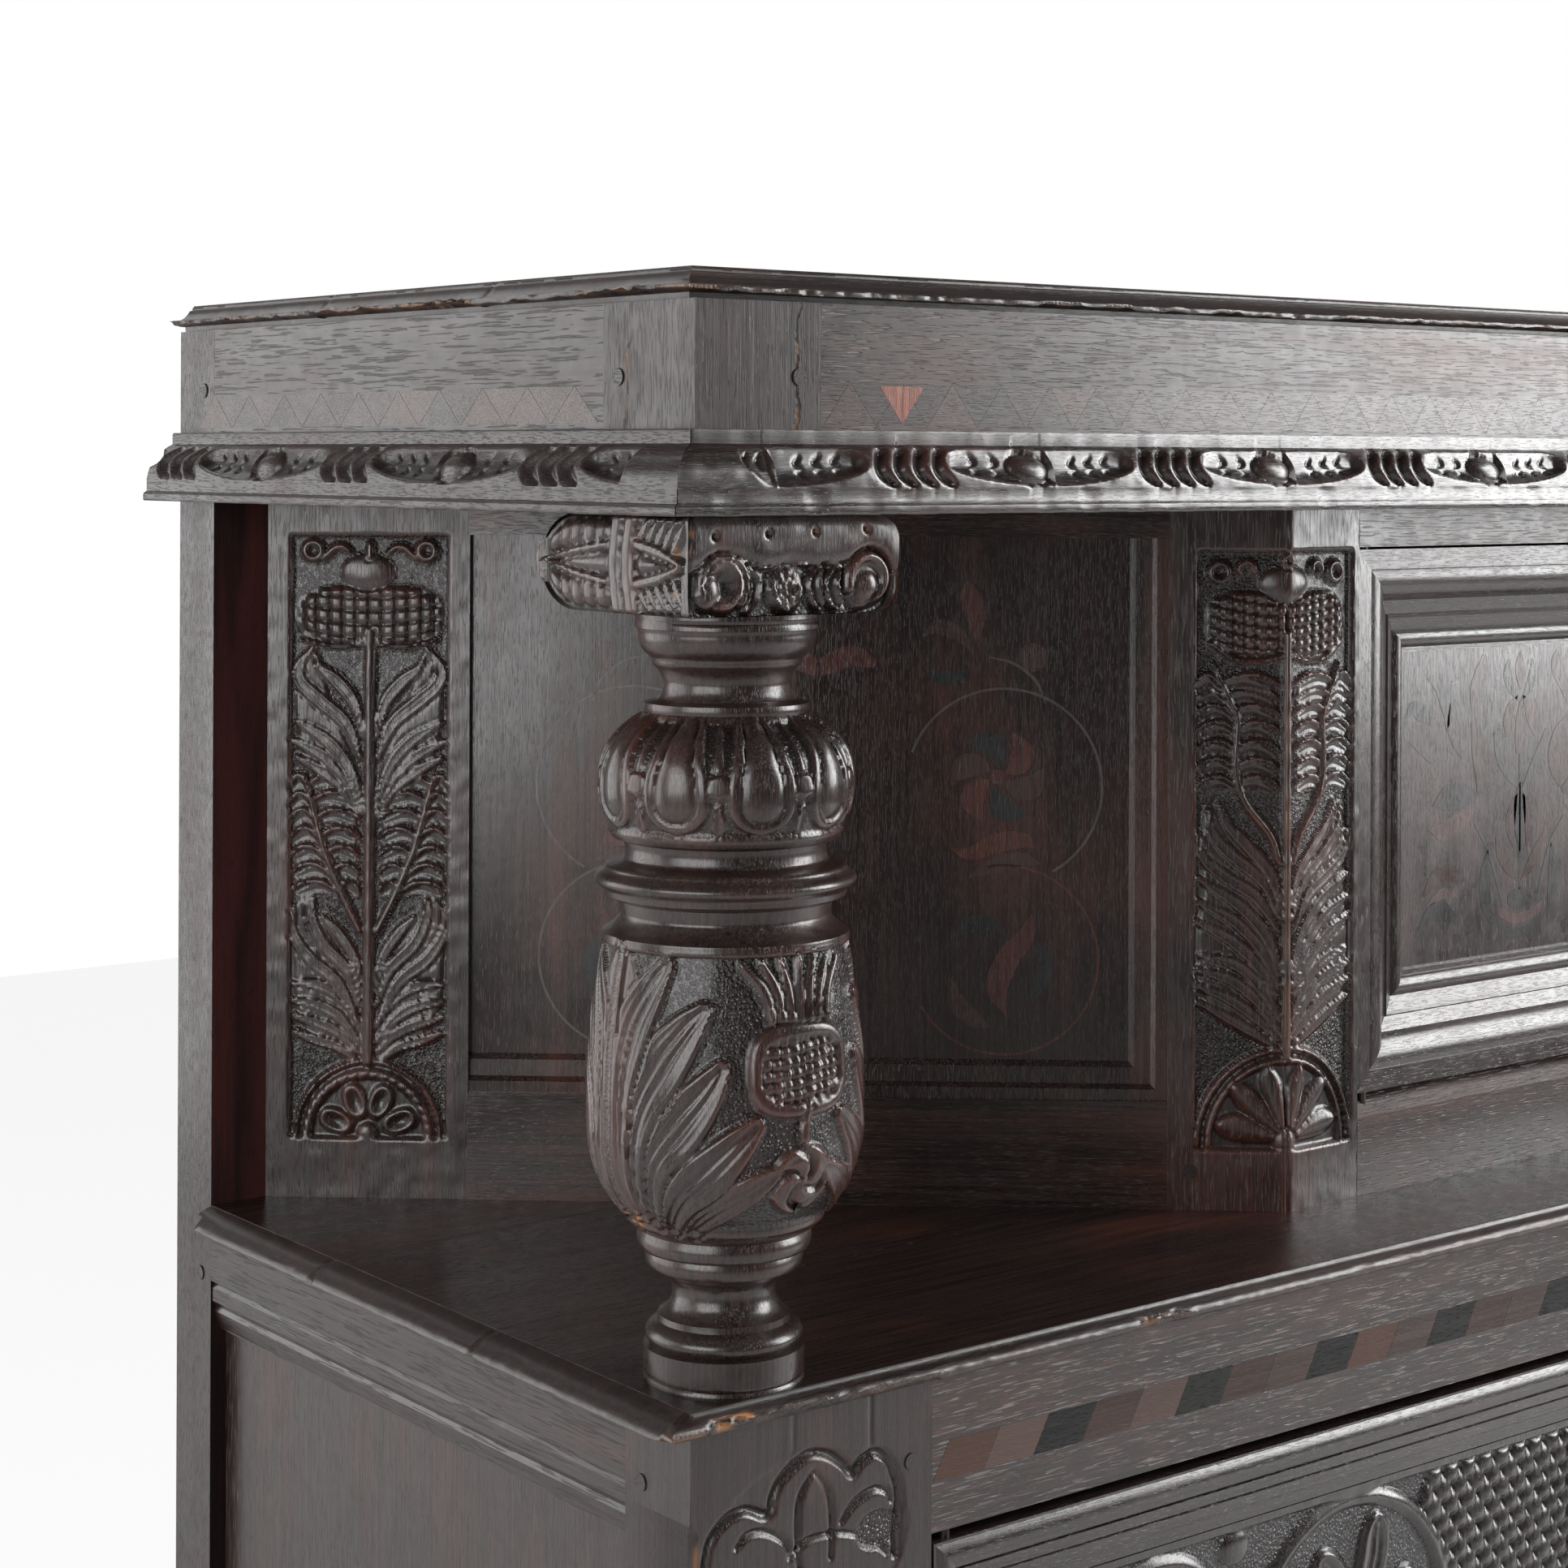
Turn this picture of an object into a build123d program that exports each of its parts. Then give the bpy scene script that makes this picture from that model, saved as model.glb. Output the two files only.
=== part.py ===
from build123d import *
import os
from math import hypot

# A joined oak court cupboard: two stages, an open display space behind a turned column on each side of a
# canted upper cupboard, and two doors below. Millimetres, +Z up, the front faces -Y, and the origin is on
# the floor under the middle of the whole object.

# ---- overall sizes -------------------------------------------------------------------------------------
carcass_width = 1590.0
carcass_depth = 560.0
shelf_top = 905.0
shelf_thickness = 12.0
column_height = 393.5
capital_height = 50.5
frieze_height = 108.0
top_thickness = 17.0

# ---- lower stage ---------------------------------------------------------------------------------------
front_post_width = 157.6
front_post_depth = 56.0
rear_post_width = 38.0
rear_post_depth = 47.0
front_rail_thickness = 30.0
middle_rail_height = 82.0
bottom_rail_height = 78.0
foot_height = 90.0
muntin_width = 80.0
side_rail_thickness = 28.0
side_top_rail_height = 67.0
back_rail_thickness = 26.0
back_middle_rail_low = 850.0
back_middle_rail_high = 960.0
back_top_rail_drop = 14.0
back_board_thickness = 10.0
back_board_inset = 18.0
back_tenon_inset = 16.0
back_board_count = 5
floor_board_thickness = 12.0
floor_drop = 18.0
floor_groove_depth = 6.0
side_panel_thickness = 10.0
panel_setback = 11.0

# ---- joinery -------------------------------------------------------------------------------------------
groove_depth = 9.0
fit = 0.2
seat = 0.3
tenon_thickness = 10.0
tenon_setback = 10.0
tenon_shoulder = 14.0
muntin_tenon_shoulder = 10.0
upper_tenon_thickness = 8.0
upper_tenon_lift = 5.0
upper_tenon_drop = 3.0
front_tenon_length = 35.0
side_tenon_length = 28.0
back_tenon_length = 25.0
short_tenon_length = 22.0
peg_radius = 4.5
peg_length = 24.0
peg_proud = 0.8
peg_inset = 14.0
frieze_peg_height = 70.0
plank_gap = 0.3

# ---- shelf and top edges -------------------------------------------------------------------------------
shelf_side_lip = 17.5
shelf_front_lip = 8.0
top_side_lip = 10.0
top_front_lip = 4.0
top_mould_width = 19.0
relief = 3.3
relief_inset = 3.0
plank_count = 3

# ---- frieze and cornice --------------------------------------------------------------------------------
corner_block_side = 80.0
frieze_rail_thickness = 30.0
cornice_height = 43.2
cornice_side_reach = 26.0
cornice_front_reach = 20.0
soffit_thickness = 10.0
soffit_rise = 3.0

# ---- column and capital --------------------------------------------------------------------------------
column_radius = 72.4
column_from_side = 51.0
column_from_front = 41.0
spigot_radius = 12.0
spigot_length = 9.0
capital_side_overhang = 8.0
capital_front_overhang = 7.0
capital_width = 135.0
capital_depth = 145.0
capital_edge_radius = 11.0

# ---- canted upper cupboard -----------------------------------------------------------------------------
upper_setback = 92.3
arris_from_side = 532.0
corner_stile_front = 65.0
corner_stile_canted = 76.0
corner_stile_thickness = 30.0
canted_thickness = 25.0
canted_stile_width = 129.5
canted_bottom_height = 68.0
canted_top_height = 24.0
canted_panel_thickness = 8.0
canted_panel_setback = 8.0
canted_mould_width = 24.0
canted_mould_reach = 6.0
upper_top_rail_height = 30.0
upper_bottom_rail_height = 63.2
upper_bottom_rail_weathering = 13.0

# ---- doors ---------------------------------------------------------------------------------------------
door_gap = 1.8
door_top_gap = 6.0
door_bottom_gap = 3.0
pivot_from_edge = 12.0
pivot_from_face = 6.0
pivot_pin_radius = 3.0
pivot_pin_depth = 16.0
pivot_clearance = 0.08
pivot_seat_clearance = 0.02
pivot_end_gap = 0.5
lower_frame_width = 41.0
lower_door_thickness = 28.0
lower_mould_crest = 2.0
lower_panel_face = 10.0
lower_panel_thickness = 12.0
lower_field_rise = 4.0
lower_field_margin = 2.0
upper_door_setback = 3.0
upper_door_thickness = 34.0
upper_frame_width = 69.5
upper_panel_face = 25.0
upper_panel_thickness = 7.0
upper_door_top_gap = 1.8
knob_reach = 28.0
knob_radius = 14.0
knob_neck_radius = 7.0
knob_flange_radius = 8.0
knob_flange_height = 4.0
knob_spigot_radius = 5.0
knob_from_edge = 10.0
upper_knob_sinking = 1.5

# ---- places worked out from the sizes ------------------------------------------------------------------
front_reach = column_radius - column_from_front
side = carcass_width / 2
front = front_reach - (carcass_depth + front_reach) / 2
back = front + carcass_depth
shelf_low = shelf_top - shelf_thickness
frieze_low = shelf_top + column_height + capital_height
frieze_high = frieze_low + frieze_height
post_inner = side - front_post_width
post_back = front + front_post_depth
rear_inner = side - rear_post_width
rear_front = back - rear_post_depth
back_rail_front = back - back_rail_thickness
middle_rail_low = shelf_low - middle_rail_height
bottom_rail_high = foot_height + bottom_rail_height
floor_high = bottom_rail_high - floor_drop
floor_low = floor_high - floor_board_thickness
side_top_rail_low = shelf_low - side_top_rail_height
soffit_low = frieze_low + soffit_rise
soffit_high = soffit_low + soffit_thickness
back_top_rail_low = frieze_low - back_top_rail_drop
upper_face = front + upper_setback
upper_door_low = shelf_top + upper_bottom_rail_height
upper_door_high = soffit_low - upper_top_rail_height
upper_height = soffit_low - shelf_top
arris_x = -(side - arris_from_side)
jamb_x = arris_x + corner_stile_front
canted_end_x = -rear_inner
canted_end_y = rear_front - seat
canted_length = hypot(canted_end_x - arris_x, canted_end_y - upper_face)
canted_direction = (canted_end_x - arris_x) / canted_length, (canted_end_y - upper_face) / canted_length
door_low = bottom_rail_high + door_bottom_gap
door_high = middle_rail_low - door_top_gap
column_x = -(side - column_from_side)
column_y = front + column_from_front

os.makedirs("parts", exist_ok=True)


def middle(span):
    """The middle of a (low, high) pair."""
    return (span[0] + span[1]) / 2


def length(span):
    """The length of a (low, high) pair."""
    return span[1] - span[0]


def grown(spans, clearance):
    """The same three spans with a clearance added at both ends of each."""
    return [(low - clearance, high + clearance) for low, high in spans]


def block(spans, mode=Mode.ADD):
    """A box between three (low, high) pairs, in the part that is being built."""
    with Locations((middle(spans[0]), middle(spans[1]), middle(spans[2]))):
        Box(length(spans[0]), length(spans[1]), length(spans[2]), mode=mode)


def save(piece, label):
    """Name a finished piece and write its STEP file."""
    piece.label = label
    export_step(piece, f"parts/{label}.step")


def timber(spans, cuts=(), extras=()):
    """A squared piece of oak, with tenons added and mortises, grooves and notches cut."""
    with BuildPart() as piece:
        block(spans)
        for extra in extras:
            block(extra)
        for cut in cuts:
            block(cut, mode=Mode.SUBTRACT)
    return piece.part


def bulged_middle(start, end, bulge):
    """The point that an arc from start to end passes, bulge to the right of the middle of its chord."""
    chord = hypot(end[0] - start[0], end[1] - start[1])
    return ((start[0] + end[0]) / 2 + bulge * (end[1] - start[1]) / chord,
            (start[1] + end[1]) / 2 - bulge * (end[0] - start[0]) / chord)


def outline(plane, rows):
    """A face from rows of (x, y) or (x, y, bulge); a bulge makes the edge that reaches the row an arc."""
    with BuildSketch(plane) as drawn:
        with BuildLine():
            start = rows[-1][:2]
            for row in rows:
                end = row[:2]
                if len(row) == 3:
                    ThreePointArc(start, bulged_middle(start, end, row[2]), end)
                else:
                    Line(start, end)
                start = end
        make_face()
    return drawn.sketch


def mirrored(piece):
    """The right-hand twin of a left-hand piece."""
    with BuildPart() as twin:
        mirror(piece, about=Plane.YZ)
    return twin.part


def drilled(piece, pegs):
    """A piece with its peg holes bored."""
    with BuildPart() as bored:
        add(piece)
        for place, direction in pegs:
            peg_cylinder(place, direction, fit / 2, Mode.SUBTRACT)
    return bored.part


def peg_cylinder(place, direction, clearance, mode):
    """A peg, or the hole for one: place is on the outer face, direction points into the wood."""
    inner = Vector(*place) + Vector(*direction) * peg_length
    outer = Vector(*place) - Vector(*direction) * peg_proud
    centre = (inner + outer) / 2
    with Locations(Plane(origin=centre, z_dir=direction)):
        Cylinder(peg_radius + clearance, peg_length + peg_proud + 2 * clearance, mode=mode)


def save_pair(piece, name):
    """Write a left-hand piece and its mirrored twin."""
    save(piece, f"{name}_left")
    save(mirrored(piece), f"{name}_right")


# ---- where the tenons, grooves and pegs are ------------------------------------------------------------
front_tenon_y = (front + tenon_setback, front + tenon_setback + tenon_thickness)
front_rail_y = (front, front + front_rail_thickness)
side_tenon_x = (-side + tenon_setback, -side + tenon_setback + tenon_thickness)
side_rail_x = (-side, -side + side_rail_thickness)
back_tenon_y = (back - back_tenon_inset, back - back_tenon_inset + tenon_thickness)
back_rail_y = (back_rail_front, back)
middle_rail_z = (middle_rail_low, shelf_low)
bottom_rail_z = (foot_height, bottom_rail_high)
side_top_rail_z = (side_top_rail_low, shelf_low)
frieze_z = (frieze_low, frieze_high)
back_rail_zs = {
    "back_bottom_rail": bottom_rail_z,
    "back_middle_rail": (back_middle_rail_low, back_middle_rail_high),
    "back_top_rail": (back_top_rail_low, frieze_high),
}


def shouldered(span):
    """The height of a tenon, in from the edges of its rail."""
    return (span[0] + tenon_shoulder, span[1] - tenon_shoulder)


front_tenons = [
    [(-post_inner - front_tenon_length, post_inner + front_tenon_length), front_tenon_y, shouldered(rail)]
    for rail in (middle_rail_z, bottom_rail_z)
]
side_tenons = [
    [side_tenon_x, (post_back - side_tenon_length, rear_front + side_tenon_length), shouldered(rail)]
    for rail in (side_top_rail_z, bottom_rail_z)
]
side_frieze_tenon = [
    side_tenon_x,
    (front + corner_block_side - side_tenon_length, rear_front + side_tenon_length),
    shouldered(frieze_z),
]
block_tenon_front = front + tenon_setback + tenon_thickness
front_frieze_tenon = [
    (-side + corner_block_side - side_tenon_length, side - corner_block_side + side_tenon_length),
    (block_tenon_front, block_tenon_front + upper_tenon_thickness),
    shouldered(frieze_z),
]
back_tenons = {
    name: [(-rear_inner - back_tenon_length, rear_inner + back_tenon_length), back_tenon_y, shouldered(rail)]
    for name, rail in back_rail_zs.items()
}
muntin_tenon = [
    (-muntin_width / 2 + muntin_tenon_shoulder, muntin_width / 2 - muntin_tenon_shoulder),
    front_tenon_y,
    (bottom_rail_high - short_tenon_length, middle_rail_low + short_tenon_length),
]

side_panel = [
    (-side + panel_setback, -side + panel_setback + side_panel_thickness),
    (post_back - groove_depth, rear_front + groove_depth),
    (bottom_rail_high - groove_depth, side_top_rail_low + groove_depth),
]
back_board_y = (back - back_board_inset, back - back_board_inset + back_board_thickness)
lower_back = [
    (-rear_inner - groove_depth, rear_inner + groove_depth),
    back_board_y,
    (bottom_rail_high - groove_depth, back_middle_rail_low + groove_depth),
]
upper_back = [
    (-rear_inner - groove_depth, rear_inner + groove_depth),
    back_board_y,
    (back_middle_rail_high - groove_depth, back_top_rail_low + groove_depth),
]
floor = [
    (-side + side_rail_thickness - floor_groove_depth, side - side_rail_thickness + floor_groove_depth),
    (front + front_rail_thickness - floor_groove_depth, back_rail_front + floor_groove_depth),
    (floor_low, floor_high),
]
soffit = [
    (-side + frieze_rail_thickness - groove_depth, side - frieze_rail_thickness + groove_depth),
    (front + frieze_rail_thickness - groove_depth, back_rail_front + groove_depth),
    (soffit_low, soffit_high),
]

post_peg_x = -post_inner - peg_inset
block_peg_x = -side + corner_block_side - peg_inset
front_pegs = [((post_peg_x, front, middle(rail)), (0, 1, 0)) for rail in (middle_rail_z, bottom_rail_z)]
block_pegs = [((block_peg_x, front, frieze_low + frieze_peg_height), (0, 1, 0))]
side_pegs = [((-side, y, middle(rail)), (1, 0, 0))
             for rail in (side_top_rail_z, bottom_rail_z)
             for y in (post_back - peg_inset, rear_front + peg_inset)]
frieze_side_pegs = [((-side, y, frieze_low + frieze_peg_height), (1, 0, 0))
                    for y in (front + corner_block_side - peg_inset, rear_front + peg_inset)]
left_pegs = front_pegs + block_pegs + side_pegs + frieze_side_pegs
muntin_pegs = [((0, front, middle_rail_low + peg_inset), (0, 1, 0)),
               ((0, front, bottom_rail_high - peg_inset), (0, 1, 0))]


def across(pegs):
    """Mirrored places and directions for the right-hand pegs."""
    return [((-place[0], place[1], place[2]), (-aim[0], aim[1], aim[2])) for place, aim in pegs]


both_pegs = left_pegs + across(left_pegs)

# ---- lower doors: places of the leaves and pivots ------------------------------------------------------
door_outer = -post_inner + door_gap
door_inner = -muntin_width / 2 - door_gap
lower_pivot = (door_outer + pivot_from_edge, front + pivot_from_face)
upper_door_face = upper_face + upper_door_setback
upper_door_outer = jamb_x + door_gap
upper_door_inner = -jamb_x - door_gap
upper_leaf_low = upper_door_low + upper_door_top_gap
upper_leaf_high = upper_door_high - upper_door_top_gap
upper_pivot = (upper_door_outer + pivot_from_edge, upper_door_face + pivot_from_face)


def pivot_holes(pivot, low, high, clearance):
    """Two upright holes for the pivot pins, across the joints at a door's bottom and top."""
    for z in (low, high):
        with Locations((pivot[0], pivot[1], z)):
            Cylinder(pivot_pin_radius + clearance, 2 * (pivot_pin_depth + pivot_end_gap), mode=Mode.SUBTRACT)


# ---- posts ---------------------------------------------------------------------------------------------
front_post_cuts = [grown(tenon, fit) for tenon in front_tenons + side_tenons] + [grown(side_panel, seat)]
with BuildPart() as front_post:
    block([(-side, -post_inner), (front, post_back), (0, shelf_low)])
    front_arris = front_post.edges().filter_by(Axis.Z).sort_by(Axis.Y)[:2].sort_by(Axis.X)[0]
    chamfer(front_arris, length=4.0)
    for cut in front_post_cuts:
        block(cut, mode=Mode.SUBTRACT)
save_pair(drilled(front_post.part, left_pegs), "front_post")

rear_post_cuts = [grown(tenon, fit) for tenon in side_tenons + [side_frieze_tenon]]
rear_post_cuts += [grown(tenon, fit) for tenon in back_tenons.values()]
rear_post_cuts += [grown(panel, seat) for panel in (side_panel, lower_back, upper_back)]
rear_post = timber([(-side, -rear_inner), (rear_front, back), (0, frieze_high)], rear_post_cuts)
save_pair(drilled(rear_post, left_pegs), "rear_post")

# ---- lower stage front ---------------------------------------------------------------------------------
middle_rail_cuts = [grown(muntin_tenon, fit)]
front_rail_x = (-post_inner, post_inner)
middle_rail = timber([front_rail_x, front_rail_y, middle_rail_z], middle_rail_cuts, front_tenons[:1])
bottom_rail_cuts = [grown(muntin_tenon, fit), grown(floor, seat)]
bottom_rail = timber([front_rail_x, front_rail_y, bottom_rail_z], bottom_rail_cuts, front_tenons[1:])
centre_muntin = timber(
    [(-muntin_width / 2, muntin_width / 2), front_rail_y, (bottom_rail_high, middle_rail_low)],
    extras=[muntin_tenon],
)


def with_pivots(piece, pivots, low, high):
    """A rail bored for the pivot pins of the doors beside it."""
    with BuildPart() as bored:
        add(piece)
        for pivot in pivots:
            pivot_holes(pivot, low, high, pivot_seat_clearance)
    return bored.part


lower_pivots = [lower_pivot, (-lower_pivot[0], lower_pivot[1])]
front_peg_set = both_pegs + muntin_pegs
for name, rail in (("middle_front_rail", middle_rail), ("bottom_front_rail", bottom_rail)):
    save(with_pivots(drilled(rail, front_peg_set), lower_pivots, door_low, door_high), name)
save(drilled(centre_muntin, muntin_pegs), "centre_muntin")

# ---- lower stage sides ---------------------------------------------------------------------------------
side_rail_profile = [
    (0.0, 67.0), (0.0, 31.5), (3.0, 30.0), (0.8, 27.0), (0.8, 19.0), (4.0, 15.0), (2.6, 12.0), (7.0, 1.0),
    (7.0, 0.0), (side_rail_thickness, 0.0), (side_rail_thickness, 67.0),
]
rail_section = Plane(origin=(-side, post_back, side_top_rail_low), x_dir=(1, 0, 0), z_dir=(0, -1, 0))
with BuildPart() as side_top_rail:
    extrude(outline(rail_section, side_rail_profile), amount=-(rear_front - post_back))
    block(side_tenons[0])
    block(grown(side_panel, seat), mode=Mode.SUBTRACT)
save_pair(drilled(side_top_rail.part, left_pegs), "side_top_rail")

side_bottom_rail = drilled(
    timber(
        [side_rail_x, (post_back, rear_front), bottom_rail_z],
        [grown(side_panel, seat), grown(floor, seat)],
        side_tenons[1:],
    ),
    left_pegs,
)
with BuildPart() as side_bottom_rails:
    add(side_bottom_rail)
    add(mirrored(side_bottom_rail))
save(side_bottom_rails.part, "side_bottom_rails")
save_pair(timber(side_panel), "side_panel")

# ---- back ----------------------------------------------------------------------------------------------
back_cuts = [grown(panel, seat) for panel in (lower_back, upper_back, floor, soffit)]
for name, rail_z in back_rail_zs.items():
    rail = timber([(-rear_inner, rear_inner), back_rail_y, rail_z], back_cuts, [back_tenons[name]])
    save(rail, name)


def planks(piece, count, low, high, axis_name):
    """Cut a wide board into planks with thin shrinkage gaps across one axis."""
    pitch = (high - low) / count
    with BuildPart() as split_board:
        add(piece)
        for index in range(1, count):
            cut = low + index * pitch
            gap = (cut - plank_gap / 2, cut + plank_gap / 2)
            far = (-2 * side, 2 * side)
            block([gap, far, far] if axis_name == "x" else [far, gap, far], mode=Mode.SUBTRACT)
    return split_board.part


for name, board in (("lower_back_boards", lower_back), ("upper_back_boards", upper_back)):
    save(planks(timber(board), back_board_count, -rear_inner, rear_inner, "x"), name)

# ---- floor of the lower cupboard -----------------------------------------------------------------------
rear_post_box = [(-side, -rear_inner), (rear_front, back), (0, frieze_high)]
rear_post_twin = [(rear_inner, side), (rear_front, back), (0, frieze_high)]
front_post_box = [(-side, -post_inner), (front, post_back), (0, shelf_low)]
front_post_twin = [(post_inner, side), (front, post_back), (0, shelf_low)]
post_boxes = [grown(post, seat) for post in (rear_post_box, rear_post_twin, front_post_box, front_post_twin)]
save(planks(timber(floor, post_boxes), plank_count, front, back, "y"), "floor_boards")

# ---- shelf between the stages --------------------------------------------------------------------------


def nosing_waste(lip):
    """What comes off the shelf's edge, over a cove and a roll: x runs out to the lip, y is the height."""
    return [(0, -1.5), (0.45 * lip, -5.0, 0.8), (lip, -8.0, -1.3), (lip + 5, -8.0), (lip + 5, 5), (0, 5)]


def top_waste(lip):
    """What comes off the top's edge, over a fillet, an ovolo and a thin lip."""
    return [(0, -1.0), (0.05 * lip, -1.2), (0.06 * lip, -2.6), (0.16 * lip, -3.0), (0.74 * lip, -10.0, -2.4),
            (lip + 5, -10.3), (lip + 5, 5), (0, 5)]


def moulded_board(low, high, half_width, front_edge, rear, side_waste, front_waste, side_lip, front_lip):
    """A board with moulded sides and front; each lip is how far the arris stands in from the edge."""
    with BuildPart() as board:
        block([(-half_width, half_width), (front_edge, rear), (low, high)])
        front_plane = Plane(origin=(0, front_edge + front_lip, high), x_dir=(0, -1, 0), z_dir=(-1, 0, 0))
        extrude(outline(front_plane, front_waste), amount=2 * side, both=True, mode=Mode.SUBTRACT)
        for sense in (-1, 1):
            arris = (sense * (half_width - side_lip), 0, high)
            side_plane = Plane(origin=arris, x_dir=(sense, 0, 0), z_dir=(0, -sense, 0))
            extrude(outline(side_plane, side_waste), amount=2 * side, both=True, mode=Mode.SUBTRACT)
    return board.part


shelf = moulded_board(
    shelf_low, shelf_top, side + shelf_side_lip, front - shelf_front_lip, back_rail_front,
    nosing_waste(shelf_side_lip), nosing_waste(shelf_front_lip), shelf_side_lip, shelf_front_lip,
)
shelf_notches = [
    [(-2 * side, -rear_inner + seat), (rear_front - seat, back), (0, frieze_high)],
    [(rear_inner - seat, 2 * side), (rear_front - seat, back), (0, frieze_high)],
]
with BuildPart() as notched_shelf:
    add(shelf)
    for notch in shelf_notches:
        block(notch, mode=Mode.SUBTRACT)
    for sense in (-1, 1):
        with Locations((sense * column_x, column_y, shelf_top)):
            Cylinder(spigot_radius + fit, 2 * (spigot_length + fit), mode=Mode.SUBTRACT)
save(planks(notched_shelf.part, plank_count, front, back, "y"), "shelf_boards")

# ---- columns -------------------------------------------------------------------------------------------
# Each row is a radius and a height above the shelf, with the bulge of the arc that reaches it where the
# profile is curved: to the right of the upward path, so a hollow is negative.
column_profile = [
    (0.0, 0.0), (41.7, 0.0), (41.7, 17.6), (38.0, 18.4), (37.4, 28.6, 3.2), (34.4, 30.2), (34.1, 33.4),
    (26.8, 46.9, -2.6), (33.0, 54.2, -1.6), (35.2, 56.6), (39.0, 57.4), (40.4, 66.5, 1.2), (43.6, 67.6),
    (44.2, 77.4, 1.4), (46.0, 78.6), (column_radius, 130.0, 6.5), (column_radius, 150.0), (64.9, 221.9, 1.6),
    (64.0, 230.3, 0.4), (54.2, 239.1, -1.2), (55.5, 246.0), (62.5, 249.0), (63.2, 252.4),
    (63.2, 261.8, 4.6), (62.0, 264.4), (53.4, 267.0), (53.0, 276.4, -1.0), (58.6, 278.4),
    (66.6, 298.1, 1.2), (42.6, 342.5, 9.5), (42.7, 347.2, 0.4), (36.0, 348.6), (32.9, 357.2, -0.8),
    (38.4, 366.4, -1.0), (39.4, 369.8, 0.4), (40.6, 371.0), (46.4, 383.4, 1.8), (47.0, 385.2), (48.2, 385.6),
    (48.2, column_height), (0.0, column_height),
]
column_foot = (column_x, column_y, shelf_top)
column_section = Plane(origin=column_foot, x_dir=(1, 0, 0), z_dir=(0, -1, 0))
with BuildPart() as column:
    revolve(outline(column_section, column_profile), axis=Axis(column_foot, (0, 0, 1)))
    for height in (-spigot_length / 2, column_height + spigot_length / 2):
        with Locations((column_x, column_y, shelf_top + height)):
            Cylinder(spigot_radius, spigot_length)
save_pair(column.part, "column")

# ---- capitals: a bolster across the column, with a roll along its front and leaf ends ------------------
capital_x = (-side - capital_side_overhang, -side - capital_side_overhang + capital_width)
capital_y = (front - capital_front_overhang, front - capital_front_overhang + capital_depth)
capital_low = frieze_low - capital_height
with BuildPart() as capital:
    block([capital_x, capital_y, (capital_low, frieze_low)])
    fillet(capital.edges().filter_by(Axis.Y), radius=capital_edge_radius)
    with Locations((column_x, column_y, capital_low)):
        Cylinder(spigot_radius + fit, 2 * (spigot_length + fit), mode=Mode.SUBTRACT)
save_pair(capital.part, "capital")

# ---- frieze --------------------------------------------------------------------------------------------
corner_block = timber(
    [(-side, -side + corner_block_side), (front, front + corner_block_side), frieze_z],
    [grown(side_frieze_tenon, fit), grown(front_frieze_tenon, fit)],
)
save_pair(drilled(corner_block, left_pegs), "corner_block")
frieze_front_x = (-side + corner_block_side, side - corner_block_side)
frieze_front_rail = timber(
    [frieze_front_x, (front, front + frieze_rail_thickness), frieze_z],
    [grown(soffit, seat)],
    [front_frieze_tenon],
)
save(drilled(frieze_front_rail, both_pegs), "frieze_front_rail")
frieze_side_rail = timber(
    [(-side, -side + frieze_rail_thickness), (front + corner_block_side, rear_front), frieze_z],
    [grown(soffit, seat)],
    [side_frieze_tenon],
)
save_pair(drilled(frieze_side_rail, left_pegs), "frieze_side_rail")

block_box = [(-side, -side + corner_block_side), (front, front + corner_block_side), frieze_z]
block_twin = [(side - corner_block_side, side), (front, front + corner_block_side), frieze_z]
soffit_notches = [grown(box, seat) for box in (block_box, block_twin, rear_post_box, rear_post_twin)]
save(planks(timber(soffit, soffit_notches), plank_count, front, back, "y"), "soffit_boards")

# ---- cornice: a fillet, an ovolo and a lower fillet, mitred at the corners -----------------------------


def cornice_profile(reach):
    """The cornice's outline for a given reach: x runs out from the frieze, y up from the frieze's foot."""
    rise = cornice_height
    return [
        (0, 0), (reach, 0), (reach, 0.104 * rise),
        (0.908 * reach, 0.144 * rise), (0.912 * reach, 0.3125 * rise),
        (0.342 * reach, 0.796 * rise, 0.08 * rise),
        (0.22 * reach, 0.83 * rise), (0.21 * reach, rise), (0, rise),
    ]


def beyond_mitre(sense):
    """Everything on the side's part of the mitre at a front corner, as one very large turned box."""
    mitre = hypot(cornice_side_reach, cornice_front_reach)
    mitre_direction = (sense * cornice_side_reach / mitre, -cornice_front_reach / mitre, 0)
    mitre_plane = Plane(origin=(sense * side, front, frieze_low), x_dir=mitre_direction, z_dir=(0, 0, 1))
    with BuildPart(mitre_plane) as beyond:
        Box(4 * side, 4 * side, 4 * cornice_height,
            align=(Align.CENTER, Align.MIN if sense > 0 else Align.MAX, Align.CENTER))
    return beyond.part


beyond_mitres = [beyond_mitre(sense) for sense in (-1, 1)]
front_section = Plane(origin=(0, front, frieze_low), x_dir=(0, -1, 0), z_dir=(-1, 0, 0))
with BuildPart() as cornice_front:
    front_face = outline(front_section, cornice_profile(cornice_front_reach))
    extrude(front_face, amount=side + cornice_side_reach, both=True)
    for beyond in beyond_mitres:
        add(beyond, mode=Mode.SUBTRACT)
save(cornice_front.part, "cornice_front")

side_section = Plane(origin=(-side, back, frieze_low), x_dir=(-1, 0, 0), z_dir=(0, 1, 0))
with BuildPart() as cornice_side:
    side_face = outline(side_section, cornice_profile(cornice_side_reach))
    extrude(side_face, amount=-(carcass_depth + cornice_front_reach))
    add(beyond_mitres[0], mode=Mode.INTERSECT)
save_pair(cornice_side.part, "cornice_side")

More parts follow.
